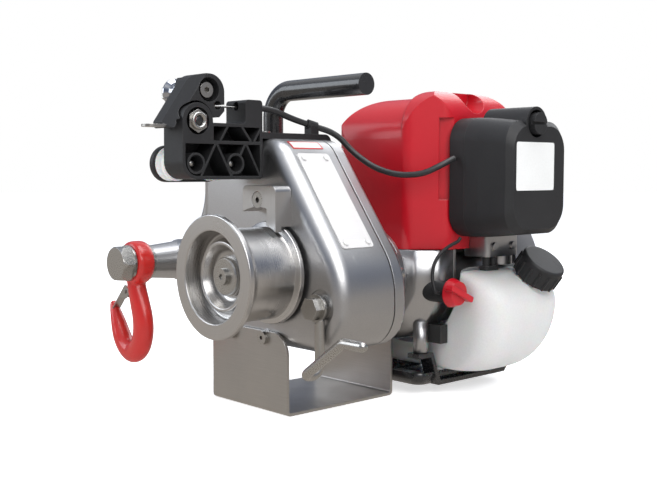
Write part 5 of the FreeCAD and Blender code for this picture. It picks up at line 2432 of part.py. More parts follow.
def recoil_start():
    """Return where the starter cover starts along Y."""
    return fan_cover_end() + CASE_DEPTH


def make_recoil_cover():
    """Return the starter cover with radial slots and the rope's eyelet boss."""
    start = recoil_start()
    end = ENGINE_REAR_Y
    wall = RECOIL_WALL
    inner = RECOIL_RADIUS - wall
    shoulder = end - RECOIL_ROUND
    outline = [(0, end), (0, end - wall), (inner - RECOIL_ROUND, end - wall), (inner, shoulder),
               (inner, start),
               (RECOIL_RADIUS, start), (RECOIL_RADIUS, shoulder), (RECOIL_RADIUS - RECOIL_ROUND, end)]
    cover = turned_y(ENGINE_AXIS, outline)
    hub = along_y(ENGINE_AXIS, end - wall - REEL_WIDTH - GEAR_SPACING, end - wall / 2, REEL_HUB_RADIUS)
    rope_x = ENGINE_AXIS_X - REEL_RADIUS
    rise = math.sqrt(RECOIL_RADIUS ** 2 - REEL_RADIUS ** 2)
    eyelet = along_z(rope_x, grip_y(), ENGINE_AXIS_Z + rise - EYELET_HEIGHT, eyelet_top(), EYELET_RADIUS)
    eyelet = eyelet.cut(along_y(ENGINE_AXIS, start, end, inner))
    slots = []
    for index in range(RECOIL_SLOT_COUNT):
        slot = box(V(ENGINE_AXIS_X + RECOIL_SLOT_INNER, end - wall - OVERRUN,
                     ENGINE_AXIS_Z - RECOIL_SLOT_WIDTH / 2),
                   V(ENGINE_AXIS_X + RECOIL_SLOT_OUTER, end + OVERRUN, ENGINE_AXIS_Z + RECOIL_SLOT_WIDTH / 2))
        slot.rotate(ENGINE_AXIS, Y_AXIS, FULL_TURN * index / RECOIL_SLOT_COUNT)
        slots.append(slot)
    hole = along_z(rope_x, grip_y(), ENGINE_AXIS_Z, eyelet_top() + OVERRUN, ROPE_RADIUS + FREE_CLEARANCE)
    return cover.cut(slots).fuse([hub, eyelet]).cut(hole).removeSplitter()


def grip_y():
    """Return the starter rope's place along Y."""
    return ENGINE_REAR_Y - RECOIL_WALL - GEAR_SPACING - REEL_WIDTH / 2


def eyelet_top():
    """Return the top of the starter rope's eyelet."""
    return ENGINE_AXIS_Z + math.sqrt(RECOIL_RADIUS ** 2 - REEL_RADIUS ** 2) + EYELET_HEIGHT / 2


def make_starter_reel():
    """Return the grooved reel that the starter rope winds on."""
    start = ENGINE_REAR_Y - RECOIL_WALL - GEAR_SPACING / 2 - REEL_WIDTH
    end = start + REEL_WIDTH
    bore = REEL_HUB_RADIUS + RUN_CLEARANCE
    flange = REEL_RADIUS + REEL_GROOVE
    third = REEL_WIDTH / 4
    outline = [(bore, start), (flange, start), (flange, start + third),
               (REEL_RADIUS - ROPE_RADIUS, start + third),
               (REEL_RADIUS - ROPE_RADIUS, end - third), (flange, end - third), (flange, end), (bore, end)]
    return turned_y(ENGINE_AXIS, outline)


def make_starter_rope():
    """Return the short piece of starter rope between reel and grip."""
    return along_z(ENGINE_AXIS_X - REEL_RADIUS, grip_y(), ENGINE_AXIS_Z, eyelet_top() + GRIP_GAP, ROPE_RADIUS)


def make_starter_grip():
    """Return the starter's T grip."""
    x = ENGINE_AXIS_X - REEL_RADIUS
    low = eyelet_top() + GRIP_GAP
    stem = along_z(x, grip_y(), low, low + GRIP_RISE, GRIP_RADIUS)
    z = low + GRIP_RISE
    bar = along_x(grip_y(), z, x - GRIP_LENGTH / 2, x + GRIP_LENGTH / 2, GRIP_RADIUS)
    return stem.fuse(bar).removeSplitter()


def export_parts(parts):
    """Write every node as a file of its own."""
    os.makedirs("parts", exist_ok=True)
    for name, shape in parts.items():
        shape.exportStep("parts/" + name + ".step")
        print(name, "solids", len(shape.Solids), "valid", shape.isValid())


def build_parts():
    """Return every node by its name."""
    front_stud, rear_stud = stud_places()
    socket_screws = [make_stand_screws(), make_cover_screws(), make_plate_screws(), make_bell_screws(),
                     make_foot_screws()]
    return {
        "stand": make_stand(),
        "socket_screws": group([solid for kind in socket_screws for solid in kind.Solids]),
        "front_housing": make_front_housing(),
        "housing_gasket": make_gasket(),
        "rear_cover": make_rear_cover(),
        "bearing_plate": group([make_bearing_plate()] + make_bearings().Solids),
        "name_plate": group([make_name_plate()] + make_plate_rivets().Solids),
        "clutch_drum": make_clutch_drum(),
        "first_gear": make_first_gear(),
        "shaft_a": make_shaft_a(),
        "second_gear": make_second_gear(),
        "shaft_b": make_shaft_b(),
        "output_gear": make_output_gear(),
        "drum_shaft": make_drum_shaft(),
        "rope_drum": make_drum(),
        "drum_cap": group([make_drum_cap(), make_drum_screw()]),
        "hook_bolt": group([make_hook_bolt()] + make_hook_washers().Solids),
        "hook": make_hook(),
        "hook_latch": make_latch(),
        "latch_pin": make_latch_pin(),
        "exit_guide": make_exit_guide(),
        "entry_guide": make_entry_guide(),
        "guide_bolts": group([make_exit_screw(), make_entry_bolt()]),
        "guide_bracket": make_guide_bracket(),
        "roller_plate": group([make_rear_plate()] + make_bracket_studs().Solids),
        "front_roller": make_guide_roller(front_stud),
        "rear_roller": make_guide_roller(rear_stud),
        "cam_pivot_bolt": group([make_pivot_bolt(), make_pivot_nut()]),
        "cam_lever": make_cam_lever(),
        "cam_bolt_and_tab": group([make_cam_tab(), make_spool_bolt(), make_spool_nut()]),
        "chrome_spool": make_spool(),
        "throttle_wire": make_throttle_wire(),
        "throttle_cable": make_throttle_cable(),
        "top_strap": group([make_top_strap(), make_cable_clip()]),
        "handle_tube": group([make_handle(), make_handle_plug()]),
        "handle_foot": make_handle_foot(),
        "clutch_bell": make_clutch_bell(),
        "clutch_shoe_right": make_clutch_shoe(1),
        "clutch_shoe_left": make_clutch_shoe(-1),
        "crankshaft": group([make_crankshaft(), make_clutch_hub()]),
        "flywheel_fan": make_flywheel_fan(),
        "fan_cover": make_fan_cover(),
        "engine_block": group([make_engine_block(), make_spark_plug()]),
        "engine_shroud": make_shroud(),
        "muffler": group([make_muffler(), make_muffler_guard()]),
        "cleaner_base": make_cleaner_base(),
        "cleaner_cover": make_cleaner_cover(),
        "filter_element": make_filter_element(),
        "cleaner_knob": make_cleaner_knob(),
        "carburettor": make_carburettor(),
        "fuel_tank": make_fuel_tank(),
        "fuel_cap": make_fuel_cap(),
        "guard_rail": make_guard_rail(),
        "tank_rubbers": group([make_tank_cushion(), make_tube_grommet()] + make_fuel_tubes().Solids),
        "switch_body": group([make_switch_body(), make_switch_lead()]),
        "switch_knob": make_switch_knob(),
        "starter_cover": make_recoil_cover(),
        "starter_reel": make_starter_reel(),
        "starter_rope": make_starter_rope(),
        "starter_grip": make_starter_grip(),
    }


export_parts(build_parts())
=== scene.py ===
"""Looks of a portable petrol capstan winch: finishes, small trim, studio and camera."""

import json
import logging
import math
from dataclasses import dataclass
from enum import Enum
from typing import Optional, Union

import bmesh
import bpy
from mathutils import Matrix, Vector
from mathutils.bvhtree import BVHTree

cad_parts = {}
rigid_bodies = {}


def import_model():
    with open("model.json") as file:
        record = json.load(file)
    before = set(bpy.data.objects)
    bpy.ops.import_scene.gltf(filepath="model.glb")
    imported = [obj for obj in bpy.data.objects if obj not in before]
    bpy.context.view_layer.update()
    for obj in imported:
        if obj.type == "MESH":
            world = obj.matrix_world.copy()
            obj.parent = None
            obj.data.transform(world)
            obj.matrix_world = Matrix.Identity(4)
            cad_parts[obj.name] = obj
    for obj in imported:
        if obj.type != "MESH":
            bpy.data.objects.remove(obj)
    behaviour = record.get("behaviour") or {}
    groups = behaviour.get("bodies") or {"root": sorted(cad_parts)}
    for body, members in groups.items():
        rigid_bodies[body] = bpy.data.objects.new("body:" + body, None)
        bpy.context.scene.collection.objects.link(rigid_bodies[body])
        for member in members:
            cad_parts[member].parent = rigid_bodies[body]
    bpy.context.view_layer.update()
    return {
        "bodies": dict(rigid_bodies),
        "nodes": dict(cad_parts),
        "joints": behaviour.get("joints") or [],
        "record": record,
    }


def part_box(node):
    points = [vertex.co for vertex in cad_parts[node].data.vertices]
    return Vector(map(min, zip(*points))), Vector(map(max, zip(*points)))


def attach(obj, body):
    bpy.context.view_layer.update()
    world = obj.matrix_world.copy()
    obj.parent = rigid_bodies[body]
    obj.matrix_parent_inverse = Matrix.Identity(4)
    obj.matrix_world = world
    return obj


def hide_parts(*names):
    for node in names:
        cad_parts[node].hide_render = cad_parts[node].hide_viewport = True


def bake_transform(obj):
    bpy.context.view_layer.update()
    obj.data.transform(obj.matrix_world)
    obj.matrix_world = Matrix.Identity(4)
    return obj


LOG = logging.getLogger("capstan_winch")

Colour = tuple[float, float, float]
Point = tuple[float, float, float]
Socket = bpy.types.NodeSocket
Setting = Union[float, Point, Colour, Socket, tuple]


class Effect(Enum):
    """The surface effects that several finishes share."""

    SOFT_EDGES = "soft_edges"
    GRAIN = "fine_grain"
    MOTTLE = "cloudy_mottle"
    BRUSHING = "brushed_lines"
    TURNING = "turned_rings"
    SCRATCHES = "hair_scratches"
    # painted shade: this group darkens recesses found by ambient occlusion
    RECESS_SHADE = "painted_recess_shade"


class Pattern(Enum):
    """The main pattern of a finish."""

    MOULDED = "moulded"
    CAST = "cast"
    BRUSHED = "brushed"
    TURNED = "turned"
    BRAIDED = "braided"
    FOAMED = "foamed"


class Graph:
    """A node tree with short calls that add and join nodes."""

    def __init__(self, tree: bpy.types.NodeTree) -> None:
        """Wraps an empty node tree."""
        self.tree = tree

    def add(self, kind: str, inputs: Optional[dict[Union[str, int], Setting]] = None,
            **settings: Union[str, int, bool, bpy.types.NodeTree]) -> bpy.types.Node:
        """Adds a node, sets its options and fills its inputs.

        Args:
            kind: the node's type name.
            inputs: values or sockets by input name or number.
            settings: the node's own options.

        Returns:
            The new node.
        """
        node = self.tree.nodes.new(kind)
        for name, value in settings.items():
            setattr(node, name, value)
        for name, value in (inputs or {}).items():
            if isinstance(value, bpy.types.NodeSocket):
                self.tree.links.new(value, node.inputs[name])
            else:
                node.inputs[name].default_value = value
        return node

    def math(self, operation: str, first: Setting, second: Setting = 0.0) -> Socket:
        """Adds a sum, product or other reckoning of two values.

        Args:
            operation: the reckoning's name.
            first: the first value.
            second: the second value.

        Returns:
            The result's socket.
        """
        return self.add("ShaderNodeMath", {0: first, 1: second}, operation=operation).outputs[0]

    def ramp(self, value: Setting, source: tuple[float, float], target: tuple[float, float]) -> Socket:
        """Maps a value from one span to another and clamps it.

        Args:
            value: the value to map.
            source: the span that it comes from.
            target: the span that it goes to.

        Returns:
            The mapped value's socket.
        """
        spans = {"From Min": source[0], "From Max": source[1], "To Min": target[0], "To Max": target[1]}
        return self.add("ShaderNodeMapRange", {"Value": value, **spans}).outputs[0]

    def blend(self, factor: Setting, first: Setting, second: Setting) -> Socket:
        """Mixes two colours.

        Args:
            factor: the second colour's share.
            first: the first colour.
            second: the second colour.

        Returns:
            The mixed colour's socket.
        """
        colours = {6: opaque(first), 7: opaque(second)}
        mix = self.add("ShaderNodeMix", {0: factor, **colours}, data_type="RGBA")
        return mix.outputs[2]

    def noise(self, vector: Socket, scale: Setting, detail: float = 2.0) -> Socket:
        """Adds a cloud noise.

        Args:
            vector: where the noise is read.
            scale: its spots per metre.
            detail: how many finer layers it has.

        Returns:
            The noise value's socket.
        """
        clouds = self.add("ShaderNodeTexNoise", {"Vector": vector, "Scale": scale, "Detail": detail})
        return clouds.outputs[0]

    def place(self) -> Socket:
        """Gives the shaded point's place on its piece."""
        return self.add("ShaderNodeTexCoord").outputs["Object"]


def opaque(colour: Setting) -> Setting:
    """Adds full opacity to a plain colour and leaves a socket as it is."""
    return colour if isinstance(colour, bpy.types.NodeSocket) else (*colour, 1.0)


class Effects:
    """Builds each shared effect once, as a shader node group."""

    FLOAT = "NodeSocketFloat"
    VECTOR = "NodeSocketVector"
    RELIEF = {"Height": FLOAT, "Mask": FLOAT}
    MASK = {"Mask": FLOAT}
    BEVEL_RAYS = 6
    OCCLUSION_RAYS = 4
    WHOLE = (0.0, 1.0)
    FALLING = (1.0, 0.0)
    EDGE_SPAN = (0.0, 0.12)
    GRAIN_SPAN = (0.35, 0.65)
    CLOUD_SPAN = (0.3, 0.7)
    SCRATCH_SPAN = (0.0, 0.006)
    PATCH_SPAN = (0.56, 0.66)
    RECESS_SPAN = (0.25, 0.85)
    COARSE_SPOTS_SHARE = 0.27
    COARSE_HEIGHT_SHARE = 0.6
    PATCH_SPOTS_RATIO = 1.7
    NOISE_MIDDLE = 0.5
    FINE_DETAIL = 3.0
    CLOUD_DETAIL = 4.0

    def __init__(self) -> None:
        """Starts with no group built."""
        self.built: dict[Effect, bpy.types.NodeTree] = {}
        self.makers = {
            Effect.SOFT_EDGES: self._soft_edges, Effect.GRAIN: self._grain,
            Effect.MOTTLE: self._mottle, Effect.BRUSHING: self._brushing,
            Effect.TURNING: self._turning, Effect.SCRATCHES: self._scratches,
            Effect.RECESS_SHADE: self._recess_shade,
        }

    def place(self, graph: Graph, effect: Effect, inputs: dict[str, Setting]) -> bpy.types.Node:
        """Puts an effect into a material.

        Args:
            graph: the material's nodes.
            effect: which effect.
            inputs: the effect's values by name.

        Returns:
            The group node.
        """
        if effect not in self.built:
            self.built[effect] = self.makers[effect]()
        return graph.add("ShaderNodeGroup", inputs, node_tree=self.built[effect])

    @staticmethod
    def _open(effect: Effect, inputs: dict[str, str], outputs: dict[str, str]) -> tuple[Graph, dict, dict]:
        """Starts a group with named sockets.

        Args:
            effect: the effect that the group makes.
            inputs: socket types by input name.
            outputs: socket types by output name.

        Returns:
            The group's graph, its input sockets and its output sockets by name.
        """
        tree = bpy.data.node_groups.new(effect.value, "ShaderNodeTree")
        for label, kind in inputs.items():
            tree.interface.new_socket(label, in_out="INPUT", socket_type=kind)
        for label, kind in outputs.items():
            tree.interface.new_socket(label, in_out="OUTPUT", socket_type=kind)
        graph = Graph(tree)
        given = graph.add("NodeGroupInput").outputs
        taken = graph.add("NodeGroupOutput").inputs
        return graph, {label: given[label] for label in inputs}, {label: taken[label] for label in outputs}

    @staticmethod
    def _close(graph: Graph, taken: dict, results: dict[str, Socket]) -> bpy.types.NodeTree:
        """Joins a group's results to its outputs.

        Args:
            graph: the group's graph.
            taken: its output sockets by name.
            results: what goes to each of them.

        Returns:
            The finished group.
        """
        for label, socket in results.items():
            graph.tree.links.new(socket, taken[label])
        return graph.tree

    def _soft_edges(self) -> bpy.types.NodeTree:
        """Rounds the look of sharp edges and marks where they are.

        Returns:
            The finished group.
        """
        graph, given, taken = self._open(
            Effect.SOFT_EDGES, {"Radius": self.FLOAT}, {"Normal": self.VECTOR, "Edge": self.FLOAT})
        bevel = graph.add("ShaderNodeBevel", {"Radius": given["Radius"]}, samples=self.BEVEL_RAYS)
        flat = graph.add("ShaderNodeNewGeometry").outputs["Normal"]
        turn = graph.add("ShaderNodeVectorMath", {0: bevel.outputs[0], 1: flat}, operation="DOT_PRODUCT")
        away = graph.math("SUBTRACT", 1.0, turn.outputs["Value"])
        edge = graph.ramp(away, self.EDGE_SPAN, self.WHOLE)
        return self._close(graph, taken, {"Normal": bevel.outputs[0], "Edge": edge})

    def _grain(self) -> bpy.types.NodeTree:
        """Makes a fine even grain, as of a mould or a sand casting.

        Returns:
            The finished group.
        """
        graph, given, taken = self._open(Effect.GRAIN, {"Spots": self.FLOAT}, self.RELIEF)
        place = graph.place()
        fine = graph.noise(place, given["Spots"], self.FINE_DETAIL)
        coarse = graph.noise(place, graph.math("MULTIPLY", given["Spots"], self.COARSE_SPOTS_SHARE))
        height = graph.math("ADD", fine, graph.math("MULTIPLY", coarse, self.COARSE_HEIGHT_SHARE))
        mask = graph.ramp(fine, self.GRAIN_SPAN, self.WHOLE)
        return self._close(graph, taken, {"Height": height, "Mask": mask})

    def _mottle(self) -> bpy.types.NodeTree:
        """Makes large soft clouds that shift colour and gloss.

        Returns:
            The finished group.
        """
        graph, given, taken = self._open(Effect.MOTTLE, {"Spots": self.FLOAT}, self.MASK)
        clouds = graph.noise(graph.place(), given["Spots"], self.CLOUD_DETAIL)
        return self._close(graph, taken, {"Mask": graph.ramp(clouds, self.CLOUD_SPAN, self.WHOLE)})

    def _brushing(self) -> bpy.types.NodeTree:
        """Makes fine lines that run along one direction.

        Returns:
            The finished group.
        """
        graph, given, taken = self._open(
            Effect.BRUSHING, {"Stretch": self.VECTOR, "Lines": self.FLOAT}, self.RELIEF)
        both = {0: graph.place(), 1: given["Stretch"]}
        drawn = graph.add("ShaderNodeVectorMath", both, operation="MULTIPLY")
        lines = graph.noise(drawn.outputs[0], given["Lines"], self.FINE_DETAIL)
        mask = graph.ramp(lines, self.CLOUD_SPAN, self.WHOLE)
        return self._close(graph, taken, {"Height": lines, "Mask": mask})

    def _turning(self) -> bpy.types.NodeTree:
        """Makes rings about an axis along Y, as a lathe tool leaves them.

        Returns:
            The finished group.
        """
        graph, given, taken = self._open(
            Effect.TURNING, {"Centre": self.VECTOR, "Lines": self.FLOAT}, self.RELIEF)
        both = {0: graph.place(), 1: given["Centre"]}
        away = graph.add("ShaderNodeVectorMath", both, operation="SUBTRACT")
        parts = graph.add("ShaderNodeSeparateXYZ", {0: away.outputs[0]}).outputs
        flat = graph.add("ShaderNodeCombineXYZ", {0: parts["X"], 1: parts["Z"]}).outputs[0]
        radius = graph.add("ShaderNodeVectorMath", {0: flat}, operation="LENGTH").outputs["Value"]
        spot = graph.add("ShaderNodeCombineXYZ", {0: radius, 1: parts["Y"]}).outputs[0]
        rings = graph.noise(spot, given["Lines"])
        mask = graph.ramp(rings, self.CLOUD_SPAN, self.WHOLE)
        return self._close(graph, taken, {"Height": rings, "Mask": mask})

    def _scratches(self) -> bpy.types.NodeTree:
        """Makes sparse hair-thin scratches.

        Returns:
            The finished group.
        """
        graph, given, taken = self._open(Effect.SCRATCHES, {"Spots": self.FLOAT}, self.MASK)
        place = graph.place()
        wide = graph.noise(place, given["Spots"], 0.0)
        line = graph.math("ABSOLUTE", graph.math("SUBTRACT", wide, self.NOISE_MIDDLE))
        thin = graph.ramp(line, self.SCRATCH_SPAN, self.FALLING)
        patches = graph.noise(place, graph.math("MULTIPLY", given["Spots"], self.PATCH_SPOTS_RATIO), 1.0)
        where = graph.ramp(patches, self.PATCH_SPAN, self.WHOLE)
        return self._close(graph, taken, {"Mask": graph.math("MULTIPLY", thin, where)})

    def _recess_shade(self) -> bpy.types.NodeTree:
        """Marks recesses by ambient occlusion, for the painted shade that darkens them.

        Returns:
            The finished group.
        """
        graph, given, taken = self._open(Effect.RECESS_SHADE, {"Reach": self.FLOAT}, self.MASK)
        open_share = graph.add("ShaderNodeAmbientOcclusion", {"Distance": given["Reach"]},
                               samples=self.OCCLUSION_RAYS, only_local=True).outputs["AO"]
        return self._close(graph, taken, {"Mask": graph.ramp(open_share, self.RECESS_SPAN, self.FALLING)})


@dataclass(frozen=True)
class Finish:
    """One surface finish and how its colour, gloss and relief vary, with painted shade in recesses and a
    painted highlight mixed with wear on edges.
    """

    name: str
    colour: Colour
    shade: Colour
    pattern: Pattern = Pattern.MOULDED
    metallic: float = 0.0
    gloss: tuple[float, float] = (0.35, 0.5)
    spots: float = 900.0
    relief: float = 0.00006
    edge_radius: float = 0.0006
    # painted highlight mixed with edge wear: edges lighten towards this colour in cloudy patches
    edge_wear_and_highlight_colour: Colour = (0.8, 0.8, 0.8)
    edge_wear_and_highlight_share: float = 0.25
    # how far the painted shade darkens recesses
    recess_shade_share: float = 0.35
    scratch_share: float = 0.25
    stretch: Point = (1.0, 1.0, 0.03)
    axis: Point = (0.0, 0.0, 0.0)
    coat: float = 0.0
    coat_roughness: float = 0.1
    sheen: float = 0.0
    glow_depth: float = 0.0
    specular: float = 0.5

    MOTTLE_SPOTS = 26.0
    SCRATCH_SPOTS = 60.0
    # painted shade in recesses: how far the occlusion reaches and how dark the shaded copy of the colour is
    SHADE_REACH = 0.008
    SHADE_TINT_SHARE = 0.35
    TINT_MEAN_SHARE = 0.5
    GLOW_SHARE = 0.35

    def material(self, effects: Effects) -> bpy.types.Material:
        """Builds the finish's material.

        Args:
            effects: the shared effects.

        Returns:
            The new material.
        """
        made = bpy.data.materials.new(self.name)
        made.use_nodes = True
        made.node_tree.nodes.clear()
        graph = Graph(made.node_tree)
        height, fine = self._relief(graph, effects)
        edges = effects.place(graph, Effect.SOFT_EDGES, {"Radius": self.edge_radius}).outputs
        clouds = effects.place(graph, Effect.MOTTLE, {"Spots": self.MOTTLE_SPOTS}).outputs["Mask"]
        hairs = effects.place(graph, Effect.SCRATCHES, {"Spots": self.SCRATCH_SPOTS}).outputs["Mask"]
        # painted shade: a mask of recesses from ambient occlusion
        shade_mask = effects.place(graph, Effect.RECESS_SHADE, {"Reach": self.SHADE_REACH}).outputs["Mask"]
        tint = graph.math("MULTIPLY", graph.math("ADD", clouds, fine), self.TINT_MEAN_SHARE)
        body = graph.blend(tint, self.colour, self.shade)
        # painted shade: recesses blend towards a darker copy of the shade colour
        shaded_tone = tuple(channel * self.SHADE_TINT_SHARE for channel in self.shade)
        body = graph.blend(graph.math("MULTIPLY", shade_mask, self.recess_shade_share), body, shaded_tone)
        # painted highlight mixed with wear: edges lighten towards the edge colour in cloudy patches
        edge_wear_and_highlight = graph.math("MULTIPLY", graph.math("MULTIPLY", edges["Edge"], clouds), self.edge_wear_and_highlight_share)
        body = graph.blend(edge_wear_and_highlight, body, self.edge_wear_and_highlight_colour)
        rough = graph.ramp(tint, Effects.WHOLE, self.gloss)
        rough = graph.math("ADD", rough, graph.math("MULTIPLY", hairs, self.scratch_share))
        bump = graph.add("ShaderNodeBump", {
            "Height": height, "Normal": edges["Normal"], "Distance": self.relief})
        inputs = {
            "Base Color": body, "Roughness": rough, "Normal": bump.outputs[0], "Metallic": self.metallic,
            "Coat Weight": self.coat, "Coat Roughness": self.coat_roughness, "Sheen Weight": self.sheen,
            "Specular IOR Level": self.specular,
        }
        if self.glow_depth:
            inputs["Subsurface Weight"] = self.GLOW_SHARE
            inputs["Subsurface Scale"] = self.glow_depth
        shader = graph.add("ShaderNodeBsdfPrincipled", inputs)
        graph.add("ShaderNodeOutputMaterial", {"Surface": shader.outputs[0]})
        return made

    def _relief(self, graph: Graph, effects: Effects) -> tuple[Socket, Socket]:
        """Places the pattern's effect.

        Args:
            graph: the material's nodes.
            effects: the shared effects.

        Returns:
            The relief's height and the fine mask that goes with it.
        """
        if self.pattern is Pattern.BRUSHED:
            inputs = {"Stretch": self.stretch, "Lines": self.spots}
            made = effects.place(graph, Effect.BRUSHING, inputs)
        elif self.pattern is Pattern.TURNED:
            made = effects.place(graph, Effect.TURNING, {"Centre": self.axis, "Lines": self.spots})
        else:
            made = effects.place(graph, Effect.GRAIN, {"Spots": self.spots})
        return made.outputs["Height"], made.outputs["Mask"]


# PALE_STEEL is the pale edge colour of the metals: a painted highlight mixed with wear
PALE_STEEL = (0.80, 0.80, 0.81)
DRUM_AXIS = (0.0, 0.0, 0.115)
CRANK_AXIS = (0.005, 0.0, 0.105)
SPOOL_CENTRE = (0.0, -0.108, 0.2595)

FINISHES = {
    "stainless": Finish(
        "stainless_sheet", (0.50, 0.485, 0.465), (0.43, 0.415, 0.395), Pattern.BRUSHED, metallic=1.0,
        gloss=(0.30, 0.42), spots=1600.0, relief=0.00001, edge_wear_and_highlight_colour=PALE_STEEL, stretch=(0.02, 0.02, 1.0)),
    "fastener": Finish(
        "zinc_plate", (0.50, 0.49, 0.47), (0.42, 0.41, 0.39), Pattern.CAST, metallic=1.0,
        gloss=(0.22, 0.36), spots=1400.0, relief=0.00002, edge_radius=0.0003, edge_wear_and_highlight_colour=PALE_STEEL),
    "gear_steel": Finish(
        "ground_steel", (0.42, 0.42, 0.43), (0.33, 0.33, 0.34), Pattern.TURNED, metallic=1.0,
        gloss=(0.25, 0.4), spots=1800.0, relief=0.00001, edge_radius=0.0002, axis=CRANK_AXIS),
    "turned_steel": Finish(
        "turned_steel", (0.60, 0.59, 0.58), (0.54, 0.53, 0.52), Pattern.TURNED, metallic=1.0,
        gloss=(0.25, 0.33), spots=1500.0, relief=0.000008, edge_radius=0.0005, edge_wear_and_highlight_colour=PALE_STEEL,
        recess_shade_share=0.3, axis=DRUM_AXIS),
    "cast_aluminium": Finish(
        "cast_aluminium", (0.52, 0.52, 0.525), (0.46, 0.46, 0.465), Pattern.CAST, metallic=1.0,
        gloss=(0.30, 0.42), spots=1100.0, relief=0.00003, edge_radius=0.0009, edge_wear_and_highlight_colour=PALE_STEEL,
        recess_shade_share=0.3),
    "machined_aluminium": Finish(
        "machined_aluminium", (0.60, 0.595, 0.59), (0.53, 0.525, 0.52), Pattern.BRUSHED, metallic=1.0,
        gloss=(0.26, 0.36), spots=1500.0, relief=0.00001, edge_wear_and_highlight_colour=PALE_STEEL, stretch=(1.0, 0.03, 0.03)),
    "plate_aluminium": Finish(
        "pale_plate", (0.80, 0.79, 0.78), (0.74, 0.73, 0.72), Pattern.BRUSHED, metallic=0.35,
        gloss=(0.34, 0.42), spots=1500.0, relief=0.000006, edge_radius=0.0002, stretch=(1.0, 0.03, 0.03)),
    "gasket": Finish("gasket_paper", (0.035, 0.035, 0.035), (0.02, 0.02, 0.02), gloss=(0.6, 0.8)),
    "red_paint": Finish(
        "red_enamel", (0.58, 0.022, 0.017), (0.52, 0.017, 0.014), gloss=(0.26, 0.34), spots=2600.0,
        relief=0.00002, edge_wear_and_highlight_share=0.0, coat=0.3),
    "black_paint": Finish(
        "black_enamel", (0.012, 0.012, 0.013), (0.018, 0.018, 0.019), gloss=(0.2, 0.3), spots=500.0,
        relief=0.00005, edge_wear_and_highlight_share=0.05, coat=0.5),
    "black_moulding": Finish(
        "black_moulding", (0.016, 0.016, 0.017), (0.022, 0.022, 0.023), gloss=(0.44, 0.54), spots=1800.0,
        relief=0.00005, specular=0.35, edge_wear_and_highlight_colour=(0.09, 0.09, 0.09), edge_wear_and_highlight_share=0.35, recess_shade_share=0.2),
    "white_nylon": Finish(
        "white_nylon", (0.80, 0.80, 0.77), (0.72, 0.72, 0.69), gloss=(0.36, 0.46), edge_wear_and_highlight_share=0.1,
        glow_depth=0.004),
    "chrome": Finish(
        "bright_chrome", (0.50, 0.51, 0.54), (0.44, 0.45, 0.48), Pattern.TURNED, metallic=1.0,
        gloss=(0.05, 0.12), relief=0.000004, edge_radius=0.0003, axis=SPOOL_CENTRE),
    "cable_sheath": Finish(
        "cable_sheath", (0.016, 0.016, 0.017), (0.024, 0.024, 0.025), gloss=(0.35, 0.45), relief=0.00003),
    "red_moulding": Finish(
        "red_moulding", (0.50, 0.006, 0.016), (0.45, 0.005, 0.013), gloss=(0.30, 0.38), spots=2600.0,
        relief=0.00001, edge_radius=0.0014, edge_wear_and_highlight_colour=(0.62, 0.02, 0.03), edge_wear_and_highlight_share=0.12, coat=0.2,
        coat_roughness=0.16, recess_shade_share=0.3, specular=0.4),
    "grey_moulding": Finish(
        "grey_moulding", (0.16, 0.16, 0.165), (0.13, 0.13, 0.135), gloss=(0.42, 0.52), spots=1500.0),
    "tank_plastic": Finish(
        "tank_plastic", (0.67, 0.665, 0.65), (0.61, 0.605, 0.59), gloss=(0.42, 0.52), spots=700.0,
        relief=0.00005, edge_radius=0.0015, edge_wear_and_highlight_share=0.0, recess_shade_share=0.12, glow_depth=0.008),
    "rubber": Finish("black_rubber", (0.018, 0.018, 0.018), (0.026, 0.026, 0.026), gloss=(0.55, 0.7)),
    "foam": Finish(
        "filter_foam", (0.09, 0.09, 0.095), (0.05, 0.05, 0.055), Pattern.FOAMED, gloss=(0.8, 0.95),
        relief=0.0012, sheen=0.2),
    "muffler_steel": Finish(
        "heat_paint", (0.05, 0.05, 0.05), (0.07, 0.065, 0.06), Pattern.CAST, metallic=0.4,
        gloss=(0.45, 0.6), spots=1300.0, edge_wear_and_highlight_colour=(0.3, 0.27, 0.24)),
    "label_face": Finish(
        "label_face", (0.78, 0.78, 0.76), (0.70, 0.70, 0.68), gloss=(0.28, 0.38), spots=1400.0,
        relief=0.00001, edge_radius=0.0001, edge_wear_and_highlight_share=0.0, recess_shade_share=0.1, coat=0.2),
    "label_red": Finish(
        "label_red", (0.55, 0.012, 0.016), (0.48, 0.010, 0.013), gloss=(0.28, 0.38), spots=1400.0,
        relief=0.00001, edge_radius=0.0001, edge_wear_and_highlight_share=0.0, recess_shade_share=0.1, coat=0.2),
    "starter_cord": Finish(
        "braided_cord", (0.62, 0.61, 0.57), (0.40, 0.39, 0.36), Pattern.BRAIDED, gloss=(0.7, 0.85),
        spots=2200.0, relief=0.0003, sheen=0.3),
}


class Wardrobe:
    """Holds the made materials and dresses pieces in them."""

    def __init__(self) -> None:
        """Starts with the shared effects and no material."""
        self.effects = Effects()
        self.made: dict[str, bpy.types.Material] = {}

    def material(self, slot: str) -> bpy.types.Material:
        """Gives a slot's material, made at its first use.

        Args:
            slot: the record's material slot.

        Returns:
            The slot's material.
        """
        if slot not in self.made:
            self.made[slot] = FINISHES[slot].material(self.effects)
        return self.made[slot]

    def dress(self, piece: bpy.types.Object, slot: str) -> None:
        """Puts a slot's finish on a piece, as its only material.

        Args:
            piece: the piece to dress.
            slot: the record's material slot.
        """
        piece.data.materials.clear()
        piece.data.materials.append(self.material(slot))


